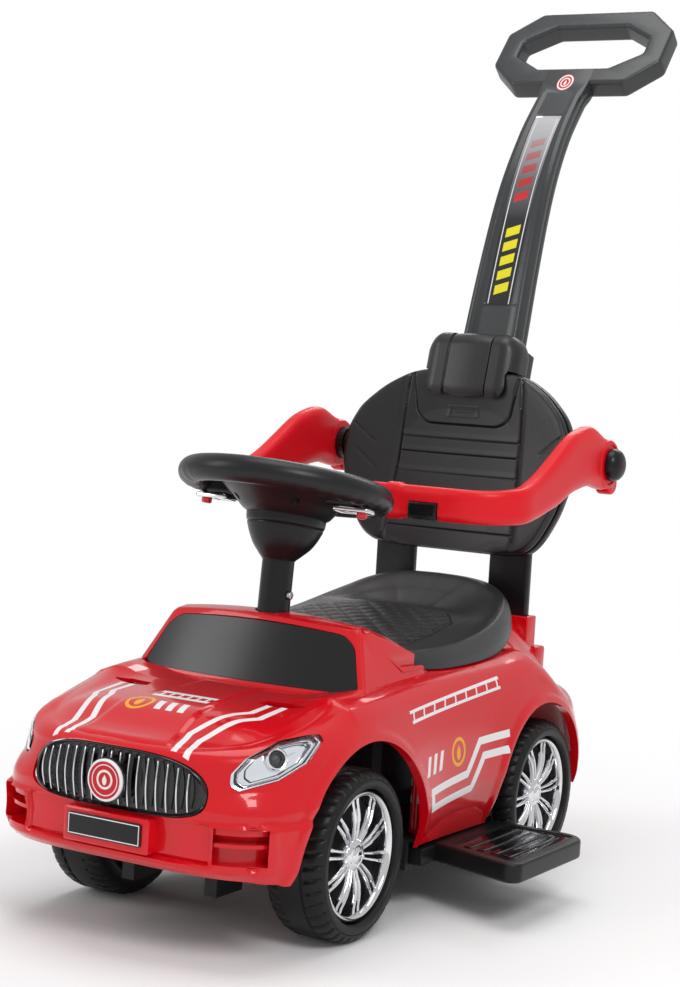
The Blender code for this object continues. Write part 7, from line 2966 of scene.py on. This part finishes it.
@dataclass
class Backrest:
    """The padded-looking front shell, the rear shell with its legs and ears, and the pillow."""

    handle: PushHandle
    lean: float = math.radians(7.9)
    foot: tuple = (0.2205, 0.307)
    half: float = 0.131
    wrap: float = 0.014
    middle: float = 0.095
    width: Keys = ((0.0, 0.0600), (0.0012, 0.0760), (0.003, 0.088), (0.012, 0.101), (0.028, 0.112),
                   (0.055, 0.124), (0.088, 0.131), (0.112, 0.130), (0.138, 0.121), (0.160, 0.102),
                   (0.176, 0.080), (0.187, 0.052), (0.1884, 0.030), (0.189, 0.010))
    seam: Keys = ((0.0, 0.0765), (0.020, 0.0750), (0.086, 0.0702), (0.128, 0.0690), (0.171, 0.0668),
                  (0.189, 0.0650))
    lines: tuple = (0.0196, 0.0780, 0.0994, 0.1154)
    deep: float = -0.0233
    pivot: tuple = (0.2405, 0.408)
    head_centre: Point = (0.0, 0.2560, 0.4940)
    head_size: Point = (0.108, 0.050, 0.078)
    head_lean: float = 14.0
    head_round: float = 0.0185
    head_seam: float = 0.0245

    def point(self, x: np.ndarray, up: np.ndarray, out: np.ndarray, wrap: float = 1.0) -> np.ndarray:
        """Points of the leaning board: up from its foot and out towards the child.

        Args:
            x: Across.
            up: Up from the foot.
            out: Towards the child.
            wrap: Share of the curve round the child.

        Returns:
            The points.
        """
        c, s = math.cos(self.lean), math.sin(self.lean)
        out = out + wrap * self.wrap * (np.abs(x) / self.half) ** 2.2
        return np.stack([x, self.foot[0] + up * s - out * c, self.foot[1] + up * c + out * s], -1)

    def outline(self, steps: int = 40) -> np.ndarray:
        """The closed outline as across and up.

        Args:
            steps: Parts of each side.

        Returns:
            The points.
        """
        ups = [0.0945 - 0.0945 * math.cos(math.pi * k / steps) for k in range(steps + 1)]
        half = [(keyed(self.width, up), up) for up in ups]
        return np.array(half + [(-x, up) for x, up in reversed(half)])

    def share(self, x: np.ndarray, up: np.ndarray) -> np.ndarray:
        """How far out towards the outline each place is, 1 on it.

        Args:
            x: Across.
            up: Up from the foot.

        Returns:
            The shares.
        """
        edge = self.outline(160)
        angle = np.arctan2(edge[:, 1] - self.middle, edge[:, 0])
        reach = np.hypot(edge[:, 0], edge[:, 1] - self.middle)
        order = np.argsort(angle)
        here = np.arctan2(up - self.middle, x)
        limit = np.interp(here, angle[order], reach[order], period=2 * math.pi)
        return np.clip(np.hypot(x, up - self.middle) / limit, 0, 1)

    def relief(self, x: np.ndarray, up: np.ndarray) -> np.ndarray:
        """Height of the moulded seams, lines, pocket and creases.

        Args:
            x: Across.
            up: Up from the foot.

        Returns:
            Heights, negative inwards.
        """
        seam = np.interp(up, [k[0] for k in self.seam], [k[1] for k in self.seam])
        aside = np.abs(x) - seam
        inside = 1 - eased(-0.0025, -0.0010, aside)
        height = -0.0022 * groove(aside, 0.0019) + 0.0016 * eased(-0.0005, 0.0080, aside)
        pocket_half = np.interp(up, (0.131, 0.141, 0.161, 0.189), (0.0515, 0.0545, 0.0580, 0.0630))
        corner = 0.0150
        du, dv = np.abs(x) - (pocket_half - corner), (0.1308 + corner) - up
        away = np.hypot(np.maximum(du, 0), np.maximum(dv, 0)) + np.minimum(np.maximum(du, dv), 0) - corner
        height = height - 0.0016 * groove(away, 0.0014) * inside + 0.0011 * (1 - eased(-0.0016, 0.0, away))
        for level in self.lines:
            apart = up - level
            step = 0.0007 * (eased(-0.0009, 0.0009, apart) - eased(0.0009, 0.0075, apart))
            height = height + inside * (step - 0.0014 * groove(apart, 0.0012))
        emboss = np.maximum(np.abs(x + 0.001) - 0.0165, np.abs(up - 0.1446) - 0.0052)
        height = height + 0.0007 * groove(emboss, 0.0009)
        bar = np.maximum(np.abs(x + 0.001) - 0.0135, np.abs(up - 0.1446) - 0.0014)
        height = height - 0.0007 * groove(bar, 0.0009)
        for x0, u0, x1, u1 in ((0.1205, 0.1235, 0.0970, 0.1050), (0.1150, 0.0960, 0.0945, 0.0785)):
            length = math.dist((x0, u0), (x1, u1))
            ux, uy = (x1 - x0) / length, (u1 - u0) / length
            reach = (np.abs(x) - x0) * ux + (up - u0) * uy
            apart = (np.abs(x) - x0) * -uy + (up - u0) * ux
            on = eased(-0.004, 0.002, reach) * (1 - eased(length - 0.002, length + 0.004, reach))
            height = height - 0.0012 * on * groove(apart, 0.0012)
        return height

    def front(self) -> Mesh:
        """The front shell over a fine rectangular grid, closed behind.

        Returns:
            The shell.
        """
        ups = [0.0, 0.0004, 0.0010, 0.0018, 0.0030, 0.0045, 0.0065, 0.0090]
        ups += [0.0115 + k * 0.00075 for k in range(int((0.1830 - 0.0115) / 0.00075))]
        ups += [0.1830, 0.1842, 0.1853, 0.1862, 0.1869, 0.1875, 0.1880, 0.1884, 0.1887, 0.1889]
        shares = np.concatenate([np.linspace(0, 0.44, 36, endpoint=False),
                                 np.linspace(0.44, 0.60, 30, endpoint=False),
                                 np.linspace(0.60, 0.92, 20, endpoint=False), np.linspace(0.92, 1.0, 12)])
        across = np.concatenate([-shares[:0:-1], shares])
        up = np.array(ups)[:, None] * np.ones_like(across)[None, :]
        x = np.array([keyed(self.width, u) for u in ups])[:, None] * across[None, :]
        share = self.share(x, up)
        out = np.interp(share, (0, 0.56, 0.86, 0.93, 0.965, 0.985, 1.0),
                        (0.0045, 0.0045, 0.0083, 0.0089, 0.0088, 0.0080, 0.0052))
        out = out + self.relief(x, up) * (1 - eased(0.975, 0.995, share))
        grid = self.point(x, up, out)
        rows, columns = grid.shape[:2]
        rim = [(0, c) for c in range(columns)] + [(r, columns - 1) for r in range(1, rows)]
        rim += [(rows - 1, c) for c in range(columns - 2, -1, -1)] + [(r, 0) for r in range(rows - 2, 0, -1)]
        flat = np.array([(x[i], up[i]) for i in rim])
        work = bmesh.new()
        verts = Draft.web(work, grid, False)
        before = [verts[r][c] for r, c in rim]
        for scale, level in ((1.0, 0.0015), (0.985, 0.0002), (0.95, 0.0), (0.30, 0.0)):
            ring = self.point(flat[:, 0] * scale, self.middle + (flat[:, 1] - self.middle) * scale,
                              np.full(len(rim), level))
            after = [work.verts.new(p) for p in ring]
            for k in range(len(rim)):
                j = (k + 1) % len(rim)
                work.faces.new((before[k], before[j], after[j], after[k]))
            before = after
        work.faces.new(before)
        return Draft.tidy(work, "front_shell")

    def rings(self, sections: tuple) -> list:
        """Rings of the outline at a scale, a distance out and a share of the wrap.

        Args:
            sections: Rows of scale, distance out and share of the wrap.

        Returns:
            The rings.
        """
        edge = self.outline(48)
        return [self.point(edge[:, 0] * scale, self.middle + (edge[:, 1] - self.middle) * scale,
                           np.full(len(edge), out), wrap) for scale, out, wrap in sections]

    def rear(self) -> Mesh:
        """The rear shell with socket, legs, ears and bores.

        Returns:
            The shell.
        """
        shell = Draft.loft(self.rings(((0.30, -GAP, 1), (0.95, -GAP, 1), (1.005, -0.0012, 1),
                                       (1.012, -0.0030, 1), (1.012, -0.0095, 0.9), (0.995, -0.0120, 0.86),
                                       (0.92, -0.0165, 0.7), (0.78, -0.0205, 0.5), (0.66, -0.0226, 0.35),
                                       (0.60, self.deep, 0.3), (0.30, self.deep, 0))))
        y, z = self.pivot
        tools = [Draft.softened(self.handle.coarse(0.010, 0.0045, 0.0045, 5), 0.0018, 2, 20)]
        for side in Side:
            tools.append(BodyShell.paired((0.0445, 0.2245, 0.1893), (0.0905, 0.2345, 0.330), side, 0.0030))
            ear = Draft.rod((side.value * 0.108, y, z), (side.value * 0.1397, y, z), 0.0160, 64)
            tools.append(Draft.softened(ear, 0.0012, 2, 50))
        shell = Draft.worked(shell, Join.ADD, tools)
        cuts = [self.handle.coarse(GAP, GAP, GAP, 0)]
        for side in Side:
            cuts.append(Draft.rod((side.value * 0.117, y, z), (side.value * 0.16, y, z), 0.004 + GAP, 32))
        for _, height in self.handle.bolts:
            face = self.handle.face(height)
            cuts.append(Draft.rod((0, face - 0.0125, height), (0, face + 0.06, height), 0.003 + GAP, 24))
        return Draft.worked(shell, Join.CUT, cuts)

    def pillow(self) -> Mesh:
        """The pillow: round-edged, drawn in along two upright seams.

        Returns:
            The pillow.
        """
        half_x, half_y, half_z = (size / 2 for size in self.head_size)
        radius, seam_x = self.head_round, self.head_seam
        xs = set(np.linspace(-half_x + radius, half_x - radius, 60).tolist())
        for side in (-1, 1):
            xs |= {side * (half_x - radius * (1 - math.sin(k * math.pi / 24))) for k in range(13)}
            xs |= {side * seam_x + k * 0.0004 for k in range(-6, 7)}
        rings = []
        for x in sorted(xs):
            inset = Windscreen.corner_loss(half_x - abs(x), radius)
            seam = min(abs(abs(x) - seam_x) / 0.0015, 1.0)
            puff = 0.0012 * math.cos(math.pi * min(abs(x) / seam_x, 1.0) / 2)
            inset += 0.0017 * (1 - seam ** 2 * (3 - 2 * seam))
            inset += 0.0012 - (puff if abs(x) < seam_x else 0.0009)
            a, b = half_y - inset, half_z - inset
            corner = min(0.0175, a * 0.97)
            outline = rounded_outline([(-a, -b), (a, -b), (a, b), (-a, b)], corner, 12)
            rings.append([(x, y, z) for y, z in outline])
        mesh = Draft.loft(rings)
        Draft.placed(mesh, posed(self.head_centre, "X", -self.head_lean))
        rest = Draft.loft(self.rings(((1.022, -0.055, 1), (1.022, 0.0100, 1))))
        return Draft.worked(mesh, Join.CUT, [self.handle.coarse(0.05, 0.0050, 0.02, 4), rest])

    def build(self, car: Car) -> None:
        """Make the three pieces.

        Args:
            car: The car that the pieces go to.
        """
        grain = LeatherLook("back_black", (0.011, 0.011, 0.012), 0.38).material()
        car.add("back_front", self.front(), "car", grain, "black_matte", ("backrest_front",), 60)
        satin = MouldedPlastic("back_satin", (0.009, 0.009, 0.010), 0.32, 0.00004, 800.0).material()
        car.add("back_rear", self.rear(), "car", satin, "black_satin", ("backrest_rear",), 35)
        soft = LeatherLook("pillow_black", (0.013, 0.013, 0.014), 0.34).material()
        car.add("pillow", self.pillow(), "car", soft, "black_matte", ("headrest",), 60)


@dataclass
class Footrests:
    """Boards that draw out sideways, with a glossy ribbed tread let into each."""

    corners: tuple = ((0.232, -0.0615), (0.232, 0.0975), (0.130, 0.0975), (0.130, -0.0300))
    tread: tuple = ((0.2190, -0.0440), (0.2190, 0.0840), (0.1520, 0.0840), (0.1520, -0.0260))
    centre_z: float = 0.0520
    thick: float = 0.0180
    floor: float = 0.0592
    ribs: int = 4

    def build(self, car: Car) -> None:
        """Make both boards and their treads.

        Args:
            car: The car that the pieces go to.
        """
        matte = MouldedPlastic("footrest_black", (0.008, 0.008, 0.009), 0.38, 0.00005, 700.0).material()
        gloss = MouldedPlastic("tread_gloss", (0.005, 0.005, 0.006), 0.16, 0.000004, 500.0, 0.2).material()
        frame = Draft.board(list(self.corners), [0.012, 0.024, 0.003, 0.003], 12, self.thick, 0.0030, 5,
                            (0, 0, self.centre_z))
        tongue = Draft.softened(Draft.box((0.0725, -0.0585, 0.0435), (0.136, 0.0960, 0.0590)), 0.0010, 2)
        frame = Draft.worked(frame, Join.ADD, [tongue])
        well = Draft.board(list(self.tread), 0.006, 8, 0.004, at=(0, 0, self.floor + 0.002))
        outline = [(0.2222, -0.0490), (0.2222, 0.0872), (0.1488, 0.0872), (0.1488, -0.0282)]
        rim = Draft.board(outline, 0.008, 8, 0.002, at=(0, 0, 0.0602 + 0.001))
        frame = Draft.worked(frame, Join.CUT, [well, rim])
        outline = [(0.2186, -0.0435), (0.2186, 0.0836), (0.1524, 0.0836), (0.1524, -0.0258)]
        inset = Draft.board(outline, 0.0056, 8, 0.0008, 0.0002, at=(0, 0, self.floor + 0.0004))
        ribs = []
        for k in range(self.ribs):
            x = 0.1645 + k * 0.0145
            rib = Draft.box((x - 0.0040, -0.0240 - 0.15 * (x - 0.1645), 0.0595), (x + 0.0040, 0.0740, 0.0609))
            ribs.append(Draft.softened(rib, 0.0006, 3))
        inset = Draft.worked(inset, Join.ADD, ribs)
        for side in Side:
            body = side.word + "_footrest"
            car.add("footboard_" + side.word, Draft.sided(frame, side), body, matte, "black_matte",
                    ("footrest_" + side.word,), 35)
            car.add("foot_tread_" + side.word, Draft.sided(inset, side), body, gloss, "black_gloss")


@dataclass
class Studio:
    """Pale floor, soft lights, white surroundings and the camera at the photograph's angle."""

    azimuth: float = 30.5211
    elevation: float = 3.7154
    roll: float = 3.4028
    eye: Point = (1.0023, -1.7951, 0.4994)
    focal: float = 2079.6669
    frame_height: float = 987.0
    floor_half: float = 14.0
    white_from: tuple = (0.42, 0.95)
    ambient: float = 0.50
    mirrored: float = 0.25

    def camera(self) -> None:
        """Place the camera."""
        a, e, r = (math.radians(v) for v in (self.azimuth, self.elevation, self.roll))
        back = Vector((math.sin(a) * math.cos(e), -math.cos(a) * math.cos(e), math.sin(e)))
        right = (-back).cross(Vector((0, 0, 1))).normalized()
        up = right.cross(-back)
        turned_right = right * math.cos(r) + up * math.sin(r)
        turned_up = up * math.cos(r) - right * math.sin(r)
        pose = Matrix((turned_right, turned_up, back)).transposed().to_4x4()
        pose.translation = self.eye
        lens = bpy.data.cameras.new("camera")
        lens.sensor_fit = "AUTO"
        lens.sensor_width = 24.0
        lens.lens = self.focal / self.frame_height * 24.0
        camera = linked("camera", lens)
        camera.matrix_world = pose
        bpy.context.scene.camera = camera

    def seen(self, tree: bpy.types.NodeTree) -> Socket:
        """1 for rays from the camera and through glass, less from mirrors, 0 for light that is scattered.

        Args:
            tree: The nodes that it joins.

        Returns:
            The value.
        """
        path = add_node(tree, "ShaderNodeLightPath", {}, {})
        total = path.outputs["Is Camera Ray"]
        for name, share in (("Is Glossy Ray", self.mirrored), ("Is Transmission Ray", 1.0)):
            part = add_node(tree, "ShaderNodeMath", {"operation": "MULTIPLY"},
                            {0: path.outputs[name], 1: share})
            total = add_node(tree, "ShaderNodeMath", {"operation": "MAXIMUM"},
                             {0: total, 1: part.outputs[0]}).outputs[0]
        return total

    def world(self) -> None:
        """White surroundings where they are seen, softer where they light the car."""
        world = bpy.data.worlds.new("white")
        bpy.context.scene.world = world
        world.use_nodes = True
        tree = world.node_tree
        back = tree.nodes["Background"]
        back.inputs["Color"].default_value = (1, 1, 1, 1)
        scale = add_node(tree, "ShaderNodeMapRange", {}, {"Value": self.seen(tree), "To Min": self.ambient})
        tree.links.new(scale.outputs[0], back.inputs["Strength"])

    def floor(self) -> None:
        """A pale floor that takes the shadow near the car and is plain white further off."""
        half = self.floor_half
        mesh = bpy.data.meshes.new("floor")
        mesh.from_pydata([(x * half, y * half, -0.0004) for y in (-1, 1) for x in (-1, 1)], [],
                         [(0, 1, 3, 2)])
        floor = linked("floor", mesh)
        paint = Paint("floor_white")
        paint.set("Base Color", (0.97, 0.97, 0.975))
        paint.set("Roughness", 0.9)
        paint.set("Specular IOR Level", 0.0)
        glow = paint.node("ShaderNodeEmission", {}, {"Color": (1, 1, 1, 1)})
        where = paint.node("ShaderNodeTexCoord", {}, {})
        length = paint.node("ShaderNodeVectorMath", {"operation": "LENGTH"}, {0: where.outputs["Object"]})
        far = Signal(paint, length.outputs["Value"]).ranged(*self.white_from, 0.0, 1.0)
        both = far * Signal(paint, self.seen(paint.tree))
        mix = paint.node("ShaderNodeMixShader", {}, {0: both, 1: paint.shader.outputs[0],
                                                     2: glow.outputs[0]})
        paint.tree.links.new(mix.outputs[0], paint.tree.nodes["Material Output"].inputs["Surface"])
        mesh.materials.append(paint.material)

    @staticmethod
    def softbox(name: str, at: Point, aim: Point, size: tuple, power: float) -> None:
        """One rectangular soft light.

        Args:
            name: Its name.
            at: Where it stands.
            aim: What it points at.
            size: Width and height.
            power: Watts.
        """
        light = bpy.data.lights.new(name, "AREA")
        light.shape = "RECTANGLE"
        light.size, light.size_y = size
        light.energy = power
        lamp = linked(name, light)
        lamp.location = at
        lamp.rotation_euler = (Vector(aim) - Vector(at)).to_track_quat("-Z", "Y").to_euler()

    def build(self) -> None:
        """Set up camera, surroundings, floor and lights."""
        self.camera()
        self.world()
        self.floor()
        self.softbox("key", (1.9, -1.6, 2.3), (0.0, -0.1, 0.3), (1.0, 1.0), 30.0)
        self.softbox("fill", (-2.2, -2.0, 1.5), (0.0, -0.1, 0.3), (0.9, 1.6), 16.0)
        self.softbox("back", (-0.5, 2.4, 2.2), (0.0, 0.0, 0.4), (2.0, 0.8), 20.0)
        self.softbox("top", (0.0, -0.1, 2.8), (0.0, -0.1, 0.0), (1.6, 1.6), 20.0)
        bpy.context.scene.view_settings.view_transform = "Standard"


class RideOnCar:
    """The whole car: its parts in the order in which they are made."""

    def __init__(self, nodes: dict) -> None:
        """Prepare the parts.

        Args:
            nodes: The CAD's objects by their node names.
        """
        self.car = Car(nodes)
        self.skin = BodySkin()
        self.screen = Windscreen()
        self.saddle = Saddle()
        self.shell = BodyShell(self.skin, self.screen, self.saddle)
        self.lamps = Headlamps(self.skin)
        self.handle = PushHandle()

    def build(self) -> None:
        """Make all pieces and dress the CAD nodes that stay."""
        pocket = self.lamps.pocket()
        self.shell.build(self.car, [Draft.sided(pocket, side) for side in Side])
        self.screen.build(self.car)
        self.saddle.build(self.car)
        FrontTrim(self.shell).build(self.car)
        self.lamps.build(self.car)
        SteeringGear().build(self.car)
        Guard().build(self.car)
        self.handle.build(self.car)
        Backrest(self.handle).build(self.car)
        Wheels().build(self.car)
        Footrests().build(self.car)
        self.dress_rest()

    def dress_rest(self) -> None:
        """Give every CAD node that stays its finish."""
        steel = BareSteel("frame_steel").material()
        matte = MouldedPlastic("pan_black", (0.016, 0.016, 0.017), 0.46, 0.00006, 600.0).material()
        metal = ("axle_nut", "bumper_screw", "kingpin", "rear_axle", "seat_hinge", "steering_rod",
                 "stub_axle", "tie_rod", "screw", "bolt")
        for name in sorted(self.car.nodes):
            if name in self.car.dressed:
                continue
            finish = steel if name.startswith(metal) else matte
            self.car.dress(finish, name)


def main() -> None:
    """Build the car and its studio."""
    logging.basicConfig(level=logging.INFO, format="%(name)s: %(message)s")
    ride_on = RideOnCar(frame["nodes"])
    ride_on.build()
    log.info("%d pieces made", ride_on.car.count)
    Studio().build()


if __name__ == "__main__":
    main()
